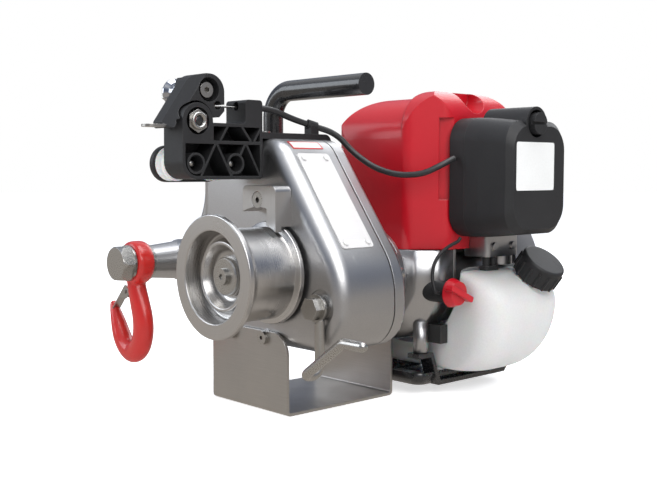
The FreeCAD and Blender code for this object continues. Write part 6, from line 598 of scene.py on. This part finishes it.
class Castings:
    """The solids that come from the frame, each in its slot's finish."""

    def __init__(self, frame: dict) -> None:
        """Keeps the frame's nodes and the slot of each.

        Args:
            frame: what the frame's loading gave.
        """
        self.nodes = frame["nodes"]
        self.slots = {row["node"]: row["material_slot"] for row in frame["record"]["subparts"]}

    def dress(self, wardrobe: Wardrobe) -> None:
        """Dresses every solid.

        Args:
            wardrobe: the finishes.
        """
        for name, node in self.nodes.items():
            wardrobe.dress(node, self.slots[name])
            LOG.info("dressed %s in %s", name, self.slots[name])


@dataclass(frozen=True)
class Lamp:
    """A square soft box that faces the object."""

    name: str
    place: Point
    size: float
    power: float
    colour: Colour = (1.0, 1.0, 1.0)

    def build(self, aim: Point) -> None:
        """Hangs the soft box.

        Args:
            aim: the point that it faces.
        """
        data = bpy.data.lights.new(self.name, "AREA")
        data.shape = "SQUARE"
        data.size = self.size
        data.energy = self.power
        data.color = self.colour
        lamp = bpy.data.objects.new(self.name, data)
        lamp.location = self.place
        lamp.rotation_euler = (Vector(aim) - Vector(self.place)).to_track_quat("-Z", "Y").to_euler()
        bpy.context.scene.collection.objects.link(lamp)


@dataclass
class Studio:
    """A pale floor, a white surround, soft lights and the camera."""

    camera_place: Point = (0.619, -0.562, 0.1955)
    camera_azimuth: float = 47.63
    camera_dip: float = 4.25
    lens_pixels: float = 991.0
    image_width: float = 657.0
    sensor_width: float = 36.0
    floor_drop: float = 0.0002
    floor_colour: Colour = (0.94, 0.94, 0.94)
    floor_roughness: float = 0.9
    floor_specular: float = 0.1
    floor_glow: float = 0.66
    floor_mirror: Colour = (0.50, 0.46, 0.42)
    backdrop_colour: Colour = (1.0, 1.0, 1.0)
    sky_bands: tuple[tuple[float, Colour], ...] = (
        (0.0, (0.52, 0.49, 0.46)), (0.12, (0.30, 0.32, 0.37)), (0.34, (0.17, 0.20, 0.28)),
        (0.52, (0.42, 0.46, 0.55)), (0.68, (0.95, 0.97, 1.0)), (0.86, (0.50, 0.55, 0.66)),
    )
    world_strength: float = 0.85
    aim: Point = (-0.02, 0.02, 0.13)
    lamps: tuple[Lamp, ...] = (
        Lamp("key_box", (1.25, -0.55, 1.15), 1.2, 19.0, (1.0, 0.985, 0.96)),
        Lamp("top_box", (0.25, 0.15, 1.45), 1.0, 13.0),
        Lamp("left_box", (-1.15, -1.15, 0.75), 0.9, 8.0, (0.90, 0.95, 1.0)),
        Lamp("back_box", (-0.45, 1.35, 1.0), 1.0, 8.0),
    )

    FLOOR_RINGS = (0.4, 1.0, 2.2, 4.5, 9.0)
    FLOOR_SIDES = 48

    def build(self) -> None:
        """Makes the floor, the surround, the lights and the camera."""
        self._floor()
        self._world()
        for lamp in self.lamps:
            lamp.build(self.aim)
        self._camera()
        LOG.info("studio is ready")

    def _floor(self) -> None:
        """Makes a round pale floor, which metals mirror as a warm grey."""
        shape = bmesh.new()
        level = -self.floor_drop
        middle = shape.verts.new((0.0, 0.0, level))
        rings = []
        for radius in self.FLOOR_RINGS:
            rings.append([shape.verts.new((radius * math.cos(turn), radius * math.sin(turn), level))
                          for turn in turns_of(self.FLOOR_SIDES)])
        for side in range(self.FLOOR_SIDES):
            after = (side + 1) % self.FLOOR_SIDES
            shape.faces.new((middle, rings[0][side], rings[0][after]))
            for inner, outer in zip(rings, rings[1:]):
                shape.faces.new((inner[side], outer[side], outer[after], inner[after]))
        floor = mesh_object("studio_floor", shape)
        made = bpy.data.materials.new("pale_floor")
        made.use_nodes = True
        made.node_tree.nodes.clear()
        graph = Graph(made.node_tree)
        path = graph.add("ShaderNodeLightPath").outputs
        glow = graph.math("MULTIPLY", path["Is Camera Ray"], self.floor_glow)
        matt = graph.add("ShaderNodeBsdfPrincipled", {
            "Base Color": opaque(self.floor_colour), "Roughness": self.floor_roughness,
            "Specular IOR Level": self.floor_specular,
            "Emission Color": opaque(self.floor_colour), "Emission Strength": glow})
        mirrored = graph.add("ShaderNodeEmission", {"Color": opaque(self.floor_mirror)})
        mixed = graph.add("ShaderNodeMixShader", {
            0: path["Is Glossy Ray"], 1: matt.outputs[0], 2: mirrored.outputs[0]})
        graph.add("ShaderNodeOutputMaterial", {"Surface": mixed.outputs[0]})
        floor.data.materials.append(made)

    def _world(self) -> None:
        """Sets a white backdrop and a banded sky for the metals to mirror."""
        world = bpy.data.worlds.new("soft_surround")
        world.use_nodes = True
        graph = Graph(world.node_tree)
        ground = world.node_tree.nodes["Background"]
        place = graph.add("ShaderNodeTexCoord").outputs["Generated"]
        height = graph.add("ShaderNodeSeparateXYZ", {0: place}).outputs["Z"]
        sky: Setting = self.sky_bands[0][1]
        for (low, _), (high, colour) in zip(self.sky_bands, self.sky_bands[1:]):
            sky = graph.blend(graph.ramp(height, (low, high), Effects.WHOLE), sky, colour)
        seen = graph.add("ShaderNodeLightPath").outputs["Is Camera Ray"]
        world.node_tree.links.new(graph.blend(seen, sky, self.backdrop_colour), ground.inputs["Color"])
        strength = graph.ramp(seen, Effects.WHOLE, (self.world_strength, 1.0))
        world.node_tree.links.new(strength, ground.inputs["Strength"])
        bpy.context.scene.world = world
        bpy.context.scene.view_settings.view_transform = "Standard"

    def _camera(self) -> None:
        """Sets the camera at the photograph's place and angle."""
        data = bpy.data.cameras.new("photo_camera")
        data.sensor_width = self.sensor_width
        data.lens = self.sensor_width * self.lens_pixels / self.image_width
        camera = bpy.data.objects.new("photo_camera", data)
        turn = math.radians(self.camera_azimuth)
        dip = math.radians(self.camera_dip)
        level = Vector((-math.sin(turn), math.cos(turn), 0.0))
        gaze = level * math.cos(dip) - Vector((0.0, 0.0, math.sin(dip)))
        camera.location = self.camera_place
        camera.rotation_mode = "QUATERNION"
        camera.rotation_quaternion = gaze.to_track_quat("-Z", "Y")
        bpy.context.scene.collection.objects.link(camera)
        bpy.context.scene.camera = camera


ALONG_X = Vector((1.0, 0.0, 0.0))
ALONG_Z = Vector((0.0, 0.0, 1.0))
SMOOTHING_SHARE = 0.5


def smooth(piece: bpy.types.Object) -> None:
    """Shades a piece smooth."""
    for face in piece.data.polygons:
        face.use_smooth = True


def turns_of(count: int) -> list[float]:
    """Gives evenly spaced angles once round."""
    return [math.tau * number / count for number in range(count)]


def mesh_object(name: str, shape: bmesh.types.BMesh) -> bpy.types.Object:
    """Turns a built shape into an object in the scene.

    Args:
        name: the object's name.
        shape: the built shape, which is freed.

    Returns:
        The new object.
    """
    mesh = bpy.data.meshes.new(name)
    shape.to_mesh(mesh)
    shape.free()
    made = bpy.data.objects.new(name, mesh)
    bpy.context.scene.collection.objects.link(made)
    return made


def rounded_piece(name: str, shape: bmesh.types.BMesh) -> bpy.types.Object:
    """Turns a closed shape into a smoothly shaded piece.

    Args:
        name: the piece's name.
        shape: the built shape, which is freed.

    Returns:
        The piece.
    """
    bmesh.ops.recalc_face_normals(shape, faces=shape.faces[:])
    piece = mesh_object(name, shape)
    smooth(piece)
    return piece


def push_out(mesh: bpy.types.Mesh, centre: tuple[float, float], radius: float) -> None:
    """Moves points out of a round bore that runs along Y.

    Args:
        mesh: the mesh to change.
        centre: the bore's place along X and Z.
        radius: the bore's radius.
    """
    x, z = centre
    for vertex in mesh.vertices:
        away = Vector((vertex.co.x - x, vertex.co.z - z))
        if 0.0 < away.length < radius:
            away *= radius / away.length
            vertex.co.x = x + away.x
            vertex.co.z = z + away.y


def loft(shape: bmesh.types.BMesh, rings: list[list[Vector]], endless: bool = False) -> None:
    """Joins rings of points into a closed skin.

    Args:
        shape: the mesh that gets the skin.
        rings: the rings in order, each with as many points.
        endless: whether the last ring joins the first, in place of two end faces.
    """
    rows = [[shape.verts.new(point) for point in ring] for ring in rings]
    count = len(rows[0])
    for low, high in zip(rows, rows[1:] + rows[:1] if endless else rows[1:]):
        for side in range(count):
            after = (side + 1) % count
            shape.faces.new((low[side], low[after], high[after], high[side]))
    if not endless:
        shape.faces.new(rows[0][::-1])
        shape.faces.new(rows[-1])


def turned(shape: bmesh.types.BMesh, start: Vector, axis: Vector, profile: list[tuple[float, float]],
           sides: int = 48) -> None:
    """Turns a profile about an axis into a closed skin.

    Args:
        shape: the mesh that gets the skin.
        start: a point on the axis.
        axis: the axis's direction.
        profile: places along the axis and radii, from one end to the other.
        sides: how many points go round.
    """
    along = axis.normalized()
    across = along.orthogonal().normalized()
    upward = along.cross(across)
    rays = [across * math.cos(turn) + upward * math.sin(turn) for turn in turns_of(sides)]
    loft(shape, [[start + along * place + ray * radius for ray in rays] for place, radius in profile])


def rounded_plan(low: tuple[float, float], high: tuple[float, float], radii: tuple[float, ...],
                 steps: int = 8) -> list[tuple[float, float]]:
    """Gives the outline of a rectangle with rounded corners.

    Args:
        low: the lowest corner.
        high: the highest corner.
        radii: the corners' radii, from the lowest corner on, to the left-hand side.
        steps: how many points each quarter turn has, less one.

    Returns:
        The outline's points.
    """
    outline = []
    spots = ((low[0], low[1]), (high[0], low[1]), (high[0], high[1]), (low[0], high[1]))
    for number, ((u, v), radius) in enumerate(zip(spots, radii)):
        centre_u = u + radius if u == low[0] else u - radius
        centre_v = v + radius if v == low[1] else v - radius
        for step in range(steps + 1):
            turn = math.pi + math.pi / 2.0 * (number + step / steps)
            outline.append((centre_u + radius * math.cos(turn), centre_v + radius * math.sin(turn)))
    return outline


def melted(name: str, shape: bmesh.types.BMesh, grain: float, rounds: int) -> bpy.types.Object:
    """Melts overlapping closed skins into one smooth skin.

    Args:
        name: the piece's name.
        shape: the closed skins.
        grain: the size of the new faces.
        rounds: how often the skin is smoothed.

    Returns:
        The piece.
    """
    bmesh.ops.recalc_face_normals(shape, faces=shape.faces[:])
    rough = mesh_object(name + "_rough", shape)
    fused = rough.modifiers.new("fused", "REMESH")
    fused.mode = "VOXEL"
    fused.voxel_size = grain
    eased = rough.modifiers.new("eased", "SMOOTH")
    eased.factor = SMOOTHING_SHARE
    eased.iterations = rounds
    ready = rough.evaluated_get(bpy.context.evaluated_depsgraph_get())
    mesh = bpy.data.meshes.new_from_object(ready)
    bpy.data.objects.remove(rough)
    mesh.name = name
    piece = bpy.data.objects.new(name, mesh)
    bpy.context.scene.collection.objects.link(piece)
    smooth(piece)
    return piece


@dataclass
class Trim:
    """A sub-assembly that is modelled here, and the finishes that it wears."""

    wardrobe: Wardrobe

    def settle(self, piece: bpy.types.Object, slot: str, body: str, *nodes: str) -> None:
        """Dresses a piece, puts it on its body and in its solids' place.

        Args:
            piece: the piece.
            slot: its material slot.
            body: the body that it rides on.
            nodes: the solids that it stands for.
        """
        self.wardrobe.dress(piece, slot)
        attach(piece, body)
        if nodes:
            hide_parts(*nodes)
        LOG.info("made %s on %s", piece.name, body)


@dataclass
class FuelTank(Trim):
    """The blow-moulded tank: a full bulb beside the engine, a tongue below it and a leaning neck."""

    bulb_inner: float = 0.040
    right: float = 0.1095
    front: float = 0.0925
    back: float = 0.1895
    bottom: float = 0.0225
    belly: float = 0.081
    shoulder: float = 0.080
    top: float = 0.1105
    under_draw: float = 0.034
    front_draw: float = 0.003
    shoulder_draw: float = 0.036
    corners: tuple[float, float, float, float] = (0.012, 0.024, 0.020, 0.012)
    tongue_left: float = -0.0635
    tongue_top: float = 0.064
    tongue_round: float = 0.030
    neck_seat: Point = (0.092, 0.160, 0.098)
    neck_tilt: float = 38.0
    neck_radius: float = 0.015
    neck_sink: float = 0.010
    neck_rise: float = 0.0085
    saddle_centre: tuple[float, float] = (0.005, 0.105)
    saddle_radius: float = 0.063
    grain: float = 0.0021
    rounds: int = 7

    STEPS = 12
    LAST_TURN_SHARE = 0.9

    def build(self) -> None:
        """Makes the tank."""
        shape = bmesh.new()
        loft(shape, self._bulb())
        loft(shape, self._tongue())
        lean = math.radians(self.neck_tilt)
        axis = Vector((math.sin(lean), 0.0, math.cos(lean)))
        turned(shape, Vector(self.neck_seat), axis,
               [(-self.neck_sink, self.neck_radius), (self.neck_rise, self.neck_radius)])
        tank = melted("fuel_tank_moulding", shape, self.grain, self.rounds)
        push_out(tank.data, self.saddle_centre, self.saddle_radius)
        self.settle(tank, "tank_plastic", "frame", "fuel_tank")

    def _bulb(self) -> list[list[Vector]]:
        """Gives the bulb's rings, drawn in below the belly and above the shoulder.

        Returns:
            The rings, from the lowest up.
        """
        levels = []
        for step in range(self.STEPS, 0, -1):
            turn = math.pi / 2.0 * step / self.STEPS
            height = self.belly - (self.belly - self.bottom) * math.sin(turn)
            levels.append((height, 1.0 - math.cos(turn), 0.0))
        for step in range(self.STEPS + 1):
            turn = math.pi / 2.0 * self.LAST_TURN_SHARE * step / self.STEPS
            height = self.shoulder + (self.top - self.shoulder) * math.sin(turn)
            levels.append((height, 0.0, 1.0 - math.cos(turn)))
        rings = []
        for height, drawn, lean in levels:
            low = (self.bulb_inner, self.front + self.front_draw * (drawn + lean))
            high = (self.right - self.under_draw * drawn - self.shoulder_draw * lean,
                    self.back - self.under_draw * drawn - self.front_draw * lean)
            rings.append([Vector((x, y, height)) for x, y in rounded_plan(low, high, self.corners)])
        return rings

    def _tongue(self) -> list[list[Vector]]:
        """Gives the rings of the flat part below the engine.

        Returns:
            The rings, from the lowest up.
        """
        rings = []
        inner = self.bulb_inner + self.tongue_round
        radii = (self.corners[0],) * 4
        for step in range(self.STEPS + 1):
            turn = math.pi / 2.0 * (1.0 - step / self.STEPS)
            height = self.bottom + (self.tongue_top - self.bottom) * (1.0 - math.sin(turn))
            draw = self.tongue_round * (1.0 - math.cos(turn))
            low = (self.tongue_left + draw, self.front + self.front_draw * (1.0 - math.cos(turn)))
            outline = rounded_plan(low, (inner, self.back - draw), radii)
            rings.append([Vector((x, y, height)) for x, y in outline])
        return rings


@dataclass
class FanCasing(Trim):
    """The cast cover of the cooling fan: a round-bottomed cup with a bevelled front and two feet."""

    centre_x: float = 0.002
    axis_z: float = 0.105
    half_width: float = 0.058
    top: float = 0.1286
    front: float = 0.0607
    back: float = 0.0944
    bevel: float = 0.015
    wall: float = 0.003
    round_share: float = 0.12
    foot_places: tuple[float, float] = (-0.029, 0.039)
    foot_y: float = 0.076
    foot_radius: float = 0.0065
    foot_bottom: float = 0.0381
    foot_top: float = 0.066
    foot_round: float = 0.001

    STEPS = 36
    CREST_SHARE = 0.25

    def build(self) -> None:
        """Makes the cup and its feet."""
        soft = self.bevel * self.round_share
        full = self.front + self.bevel
        wall = self.wall
        crest = soft * self.CREST_SHARE
        stations = [
            (self.bevel + soft, self.front), (self.bevel, self.front + crest),
            (self.bevel - soft, self.front + soft), (soft, full - soft), (crest, full), (0.0, full + soft),
            (0.0, self.back), (wall, self.back), (wall, full + wall / 2.0),
            (self.bevel + wall / 2.0, self.front + wall),
        ]
        shape = bmesh.new()
        loft(shape, [self._outline(inset, y) for inset, y in stations])
        for x in self.foot_places:
            profile = [(self.foot_bottom, self.foot_radius - self.foot_round),
                       (self.foot_bottom + self.foot_round, self.foot_radius),
                       (self.foot_top, self.foot_radius)]
            turned(shape, Vector((x, self.foot_y, 0.0)), ALONG_Z, profile)
        casing = rounded_piece("fan_casing", shape)
        self.settle(casing, "cast_aluminium", "frame", "fan_cover")

    def _outline(self, inset: float, y: float) -> list[Vector]:
        """Gives the trough's outline at one place along Y.

        Args:
            inset: how far it is drawn in.
            y: the place.

        Returns:
            The outline's points.
        """
        radius = self.half_width - inset
        points = [Vector((self.centre_x - radius, y, self.top))]
        for step in range(self.STEPS + 1):
            turn = math.pi * (1.0 + step / self.STEPS)
            height = self.axis_z + radius * math.sin(turn)
            points.append(Vector((self.centre_x + radius * math.cos(turn), y, height)))
        points.append(Vector((self.centre_x + radius, y, self.top)))
        return points


@dataclass
class SkidTray(Trim):
    """The pressed tray between the skid's rails, with flared sides."""

    low: tuple[float, float] = (-0.0355, 0.0675)
    high: tuple[float, float] = (0.0455, 0.1985)
    bottom: float = 0.0084
    top: float = 0.0205
    flare: float = 0.007
    wall: float = 0.0022
    corner: float = 0.009

    FOLD_SHARE = 0.25

    def build(self) -> None:
        """Makes the tray."""
        wall = self.wall
        fold = self.bottom + wall * self.FOLD_SHARE
        stations = [(self.bottom, self.flare + wall / 2.0), (fold, self.flare), (self.top, 0.0),
                    (self.top, wall), (self.bottom + wall, self.flare + wall)]
        shape = bmesh.new()
        loft(shape, [self._ring(height, inset) for height, inset in stations])
        tray = rounded_piece("skid_tray", shape)
        self.settle(tray, "black_paint", "frame")

    def _ring(self, height: float, inset: float) -> list[Vector]:
        """Gives the tray's outline at one height.

        Args:
            height: the height.
            inset: how far it is drawn in.

        Returns:
            The outline's points.
        """
        low = (self.low[0] + inset, self.low[1] + inset)
        high = (self.high[0] - inset, self.high[1] - inset)
        return [Vector((x, y, height)) for x, y in rounded_plan(low, high, (self.corner,) * 4)]


@dataclass
class ForgedHook(Trim):
    """The forged hook: a flat-sided eye, a swelling back, a narrow bowl and a pointed tip."""

    eye_centre: tuple[float, float] = (-0.150, 0.115)
    middle_y: float = -0.093
    eye_radius: float = 0.0143
    eye_depth: float = 0.0052
    half_width: float = 0.0083
    bore: float = 0.0091
    squareness: float = 0.62
    line: tuple[Point, ...] = (
        (-0.1525, 0.100, 0.0078), (-0.1495, 0.090, 0.0086), (-0.1455, 0.079, 0.0097),
        (-0.1415, 0.067, 0.0107), (-0.1405, 0.055, 0.0112), (-0.1440, 0.0430, 0.0108),
        (-0.1515, 0.0350, 0.0100), (-0.1615, 0.0330, 0.0094), (-0.1715, 0.0385, 0.0089),
        (-0.1785, 0.0480, 0.0081), (-0.1840, 0.0590, 0.0067), (-0.1890, 0.0690, 0.0048),
        (-0.1925, 0.0760, 0.0028),
    )
    lug_start: tuple[float, float] = (-0.153, 0.0935)
    lug_end: tuple[float, float] = (-0.164, 0.088)
    lug_tip: tuple[float, float] = (-0.1668, 0.0866)
    lug_radius: float = 0.0038
    lug_half_width: float = 0.0024
    grain: float = 0.0012
    rounds: int = 3

    STEPS = 6
    SIDES = 28
    EYE_STEPS = 48

    def build(self) -> None:
        """Makes the hook."""
        shape = bmesh.new()
        self._eye(shape)
        run = self._run()
        loft(shape, [self._section(run, place) for place in range(len(run))])
        lug = [(*self.lug_start, self.lug_radius), (*self.lug_end, self.lug_radius),
               (*self.lug_tip, self.lug_radius / 2.0)]
        loft(shape, [self._section(lug, place, self.lug_half_width) for place in range(len(lug))])
        hook = melted("forged_hook", shape, self.grain, self.rounds)
        push_out(hook.data, self.eye_centre, self.bore)
        self.settle(hook, "red_paint", "hook", "hook")

    def _run(self) -> list[Point]:
        """Gives a smooth run of places and radii, cubic between the line's points.

        Returns:
            The places along X and Z with the radius at each.
        """
        run = []
        ends = [self.line[0], *self.line, self.line[-1]]
        for before, start, end, after in zip(ends, ends[1:], ends[2:], ends[3:]):
            for step in range(self.STEPS):
                t = step / self.STEPS
                run.append(tuple(
                    0.5 * (2.0 * b + (c - a) * t + (2.0 * a - 5.0 * b + 4.0 * c - d) * t * t
                           + (3.0 * b - a - 3.0 * c + d) * t ** 3)
                    for a, b, c, d in zip(before, start, end, after)))
        run.append(self.line[-1])
        return run

    def _section(self, run: list[Point], place: int, half_width: Optional[float] = None) -> list[Vector]:
        """Gives one cross-section of a bar.

        Args:
            run: the bar's places and radii.
            place: which of them.
            half_width: the bar's half width, where it isn't the hook's own.

        Returns:
            The section's points.
        """
        x, z, radius = run[place]
        before = run[max(place - 1, 0)]
        after = run[min(place + 1, len(run) - 1)]
        course = Vector((after[0] - before[0], 0.0, after[1] - before[1])).normalized()
        across = Vector((-course.z, 0.0, course.x))
        depth = half_width or min(self.half_width, radius)
        points = []
        for turn in turns_of(self.SIDES):
            spot = across * radius * math.cos(turn) + Vector((0.0, depth * math.sin(turn), 0.0))
            points.append(Vector((x, self.middle_y, z)) + spot)
        return points

    def _eye(self, shape: bmesh.types.BMesh) -> None:
        """Adds the eye, a ring with a squarish section.

        Args:
            shape: the mesh that gets it.
        """
        rings = []
        for turn in turns_of(self.EYE_STEPS):
            outward = Vector((math.cos(turn), 0.0, math.sin(turn)))
            ring = []
            for angle in turns_of(self.SIDES):
                u, v = (math.copysign(abs(value) ** self.squareness, value)
                        for value in (math.cos(angle), math.sin(angle)))
                place = Vector((self.eye_centre[0], self.middle_y, self.eye_centre[1]))
                place += outward * (self.eye_radius + self.eye_depth * u)
                ring.append(place + Vector((0.0, self.half_width * v, 0.0)))
            rings.append(ring)
        loft(shape, rings, endless=True)


@dataclass
class RollerSet(Trim):
    """The two nylon rope rollers, the plate behind them and their bright studs."""

    places: tuple[tuple[str, float], ...] = (("front_roller", -0.122), ("rear_roller", -0.084))
    height: float = 0.2023
    left: float = -0.0514
    width: float = 0.011
    radius: float = 0.0136
    groove: float = 0.0114
    bore: float = 0.0027
    flange: float = 0.0026
    plate_left: float = -0.0585
    plate_width: float = 0.0067
    plate_radius: float = 0.0146
    plate_round: float = 0.0012
    stud_radius: float = 0.00255
    stud_left: float = -0.0587
    stud_right: float = -0.0200
    stud_bevel: float = 0.0007

    STEPS = 24
    LIP_SHARE = 0.25
    EDGE_SHARE = 1.0 / 3.0

    def build(self) -> None:
        """Makes the rollers, the plate and the studs."""
        right = self.left + self.width
        lip = self.flange * self.LIP_SHARE
        profile = [
            (self.left, self.bore), (self.left, self.radius - lip), (self.left + lip, self.radius),
            (self.left + self.flange - lip, self.radius), (self.left + self.flange + lip * 2.0, self.groove),
            (right - self.flange - lip * 2.0, self.groove), (right - self.flange + lip, self.radius),
            (right - lip, self.radius), (right, self.radius - lip), (right, self.bore),
        ]
        studs = bmesh.new()
        for name, y in self.places:
            shape = bmesh.new()
            turned(shape, Vector((0.0, y, self.height)), ALONG_X, profile)
            roller = rounded_piece(name + "_nylon", shape)
            self.settle(roller, "white_nylon", name, name)
            rod = [(self.stud_left, self.stud_radius), (self.stud_right - self.stud_bevel, self.stud_radius),
                   (self.stud_right, self.stud_radius - self.stud_bevel)]
            turned(studs, Vector((0.0, y, self.height)), ALONG_X, rod)
        rods = rounded_piece("roller_studs", studs)
        self.settle(rods, "fastener", "frame")
        self._plate()

    def _plate(self) -> None:
        """Makes the plate behind the rollers."""
        edge = self.plate_round
        crest = edge * self.EDGE_SHARE
        left = self.plate_left
        right = left + self.plate_width
        stations = [(left, edge), (left + crest, crest), (left + edge, 0.0),
                    (right - edge, 0.0), (right - crest, crest), (right, edge)]
        shape = bmesh.new()
        loft(shape, [[Vector((x, y, z)) for y, z in self._stadium(self.plate_radius - inset)]
                     for x, inset in stations])
        plate = rounded_piece("roller_back_plate", shape)
        self.settle(plate, "black_moulding", "frame", "roller_plate")

    def _stadium(self, radius: float) -> list[tuple[float, float]]:
        """Gives an outline with two round ends about the rollers.

        Args:
            radius: the ends' radius.

        Returns:
            The outline's points along Y and Z.
        """
        points = []
        for number, (_, y) in enumerate(self.places):
            for step in range(self.STEPS + 1):
                turn = math.pi / 2.0 + math.pi * (number + step / self.STEPS)
                points.append((y + radius * math.cos(turn), self.height + radius * math.sin(turn)))
        return points


@dataclass
class LockNut(Trim):
    """The collar of the lock nut on the cam's pivot and the bolt's end in it."""

    centre: Point = (-0.0137, -0.120, 0.235)
    collar_radius: float = 0.0069
    collar_bore: float = 0.0043
    collar_height: float = 0.0026
    collar_round: float = 0.0010
    end_radius: float = 0.0038
    end_height: float = 0.0016
    sink: float = 0.0006

    CREST_SHARE = 1.0 / 3.0

    def build(self) -> None:
        """Makes the collar and the bolt's end."""
        soft = self.collar_round
        crest = soft * self.CREST_SHARE
        height = self.collar_height
        collar = [
            (-self.sink, self.collar_radius), (height - soft, self.collar_radius),
            (height - crest, self.collar_radius - crest), (height, self.collar_radius - soft),
            (height, self.collar_bore), (0.0, self.collar_bore),
        ]
        end = [(-self.sink, self.end_radius), (self.end_height - soft / 2.0, self.end_radius),
               (self.end_height, self.end_radius - soft / 2.0)]
        rows = (("lock_nut_collar", collar, "fastener"), ("lock_nut_bolt_end", end, "black_paint"))
        for name, profile, slot in rows:
            shape = bmesh.new()
            turned(shape, Vector(self.centre), ALONG_X, profile)
            self.settle(rounded_piece(name, shape), slot, "frame")


@dataclass
class StarterRope(Trim):
    """The starter's rope: a laid cord from the reel to the grip."""

    radius: float = 0.0019
    strand_depth: float = 0.00016
    strands: int = 6
    sides: int = 36
    rings: int = 160
    twists_per_metre: float = 110.0
    held_length: float = 0.003

    NODE = "starter_rope"
    SLOT = "starter_cord"

    def build(self) -> None:
        """Makes the cord in its solid's place."""
        low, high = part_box(self.NODE)
        middle = (low + high) / 2.0
        shape = bmesh.new()
        heights = [low.z + (high.z - low.z) * ring / self.rings for ring in range(self.rings + 1)]
        loft(shape, [[self._spot(middle, z, turn) for turn in turns_of(self.sides)] for z in heights])
        rope = rounded_piece("starter_rope_cord", shape)
        self.wardrobe.dress(rope, self.SLOT)
        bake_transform(rope)
        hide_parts(self.NODE)
        LOG.info("made the starter rope with %d rings", self.rings)

    def _spot(self, middle: Vector, z: float, turn: float) -> Vector:
        """Gives one point of the cord's twisted surface.

        Args:
            middle: a point on the cord's axis.
            z: the ring's height.
            turn: the point's angle round the ring.

        Returns:
            The point.
        """
        lay = self.strands * turn + math.tau * self.twists_per_metre * z
        reach = self.radius - self.strand_depth * (1.0 - abs(math.cos(lay / 2.0)))
        return Vector((middle.x + reach * math.cos(turn), middle.y + reach * math.sin(turn), z))


@dataclass
class Sticker:
    """A thin blank label laid on a solid's surface, with a border of its own colour."""

    name: str
    node: str
    middle: Point
    across: Point
    upward: Point
    width: float
    height: float
    border: float = 0.001
    thickness: float = 0.00018
    corner: float = 0.0015
    columns: int = 24
    rows: int = 16
    face_finish: str = "label_face"
    border_finish: str = "label_face"

    REACH = 0.02
    LIFT = 0.00003

    def build(self, frame: dict, wardrobe: Wardrobe) -> None:
        """Lays the label on its solid.

        Args:
            frame: what the frame's loading gave.
            wardrobe: the finishes.
        """
        across = Vector(self.across).normalized()
        upward = Vector(self.upward).normalized()
        outward = across.cross(upward)
        tree = self._tree(frame["nodes"][self.node])
        shape = bmesh.new()
        grid = []
        for row in range(self.rows + 1):
            line = []
            for column in range(self.columns + 1):
                u, v = self._flat_spot(column, row)
                origin = Vector(self.middle) + across * u + upward * v + outward * self.REACH
                hit, normal, _, _ = tree.ray_cast(origin, -outward, self.REACH * 2.0)
                if hit is None:
                    raise ValueError(f"{self.name}: the label runs off {self.node}")
                line.append(shape.verts.new(hit + normal * self.LIFT))
            grid.append(line)
        for low, high in zip(grid, grid[1:]):
            for column in range(self.columns):
                face = shape.faces.new((low[column], low[column + 1], high[column + 1], high[column]))
                middle = face.calc_center_median() - Vector(self.middle)
                over_u = abs(middle.dot(across)) - self.width / 2.0
                over_v = abs(middle.dot(upward)) - self.height / 2.0
                face.material_index = 1 if max(over_u, over_v) > -self.border else 0
        shape.normal_update()
        skin = bmesh.ops.extrude_face_region(shape, geom=shape.faces[:])
        for vertex in (item for item in skin["geom"] if isinstance(item, bmesh.types.BMVert)):
            vertex.co += outward * self.thickness
        bmesh.ops.recalc_face_normals(shape, faces=shape.faces[:])
        label = mesh_object(self.name, shape)
        label.data.materials.append(wardrobe.material(self.face_finish))
        label.data.materials.append(wardrobe.material(self.border_finish))
        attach(label, "frame")
        LOG.info("laid %s on %s", self.name, self.node)

    def _flat_spot(self, column: int, row: int) -> tuple[float, float]:
        """Gives a grid point on the flat label, drawn in at the rounded corners.

        Args:
            column: the point's column.
            row: the point's row.

        Returns:
            The distances across and upward from the middle.
        """
        u = self.width * (column / self.columns - 0.5)
        v = self.height * (row / self.rows - 0.5)
        over_u = abs(u) - (self.width / 2.0 - self.corner)
        over_v = abs(v) - (self.height / 2.0 - self.corner)
        if over_u > 0.0 and over_v > 0.0:
            longer = max(over_u, over_v)
            reach = math.hypot(over_u, over_v)
            u -= math.copysign(over_u - over_u * longer / reach, u)
            v -= math.copysign(over_v - over_v * longer / reach, v)
        return u, v

    @staticmethod
    def _tree(node: bpy.types.Object) -> BVHTree:
        """Gives a search tree of a solid's surface.

        Args:
            node: the solid.

        Returns:
            The tree.
        """
        corners = [vertex.co.copy() for vertex in node.data.vertices]
        faces = [tuple(face.vertices) for face in node.data.polygons]
        return BVHTree.FromPolygons(corners, faces)


STICKERS = (
    Sticker(
        "cleaner_label", "cleaner_cover", middle=(0.123, 0.124, 0.2005), across=(0.0, 1.0, 0.0),
        upward=(0.0, 0.0, 1.0), width=0.052, height=0.040),
    Sticker(
        "shoulder_label", "front_housing", middle=(0.0027, -0.0255, 0.2179), across=(0.0, 1.0, 0.0),
        upward=(-0.82, 0.0, 0.57), width=0.033, height=0.0105, border=0.0012, corner=0.0008,
        border_finish="label_red"),
)


def main() -> None:
    """Loads the frame, dresses it and sets the studio round it."""
    logging.basicConfig(level=logging.INFO)
    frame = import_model()
    wardrobe = Wardrobe()
    Castings(frame).dress(wardrobe)
    for trim in (FuelTank, FanCasing, SkidTray, ForgedHook, RollerSet, LockNut, StarterRope):
        trim(wardrobe).build()
    for sticker in STICKERS:
        sticker.build(frame, wardrobe)
    Studio().build()


if __name__ == "__main__":
    main()
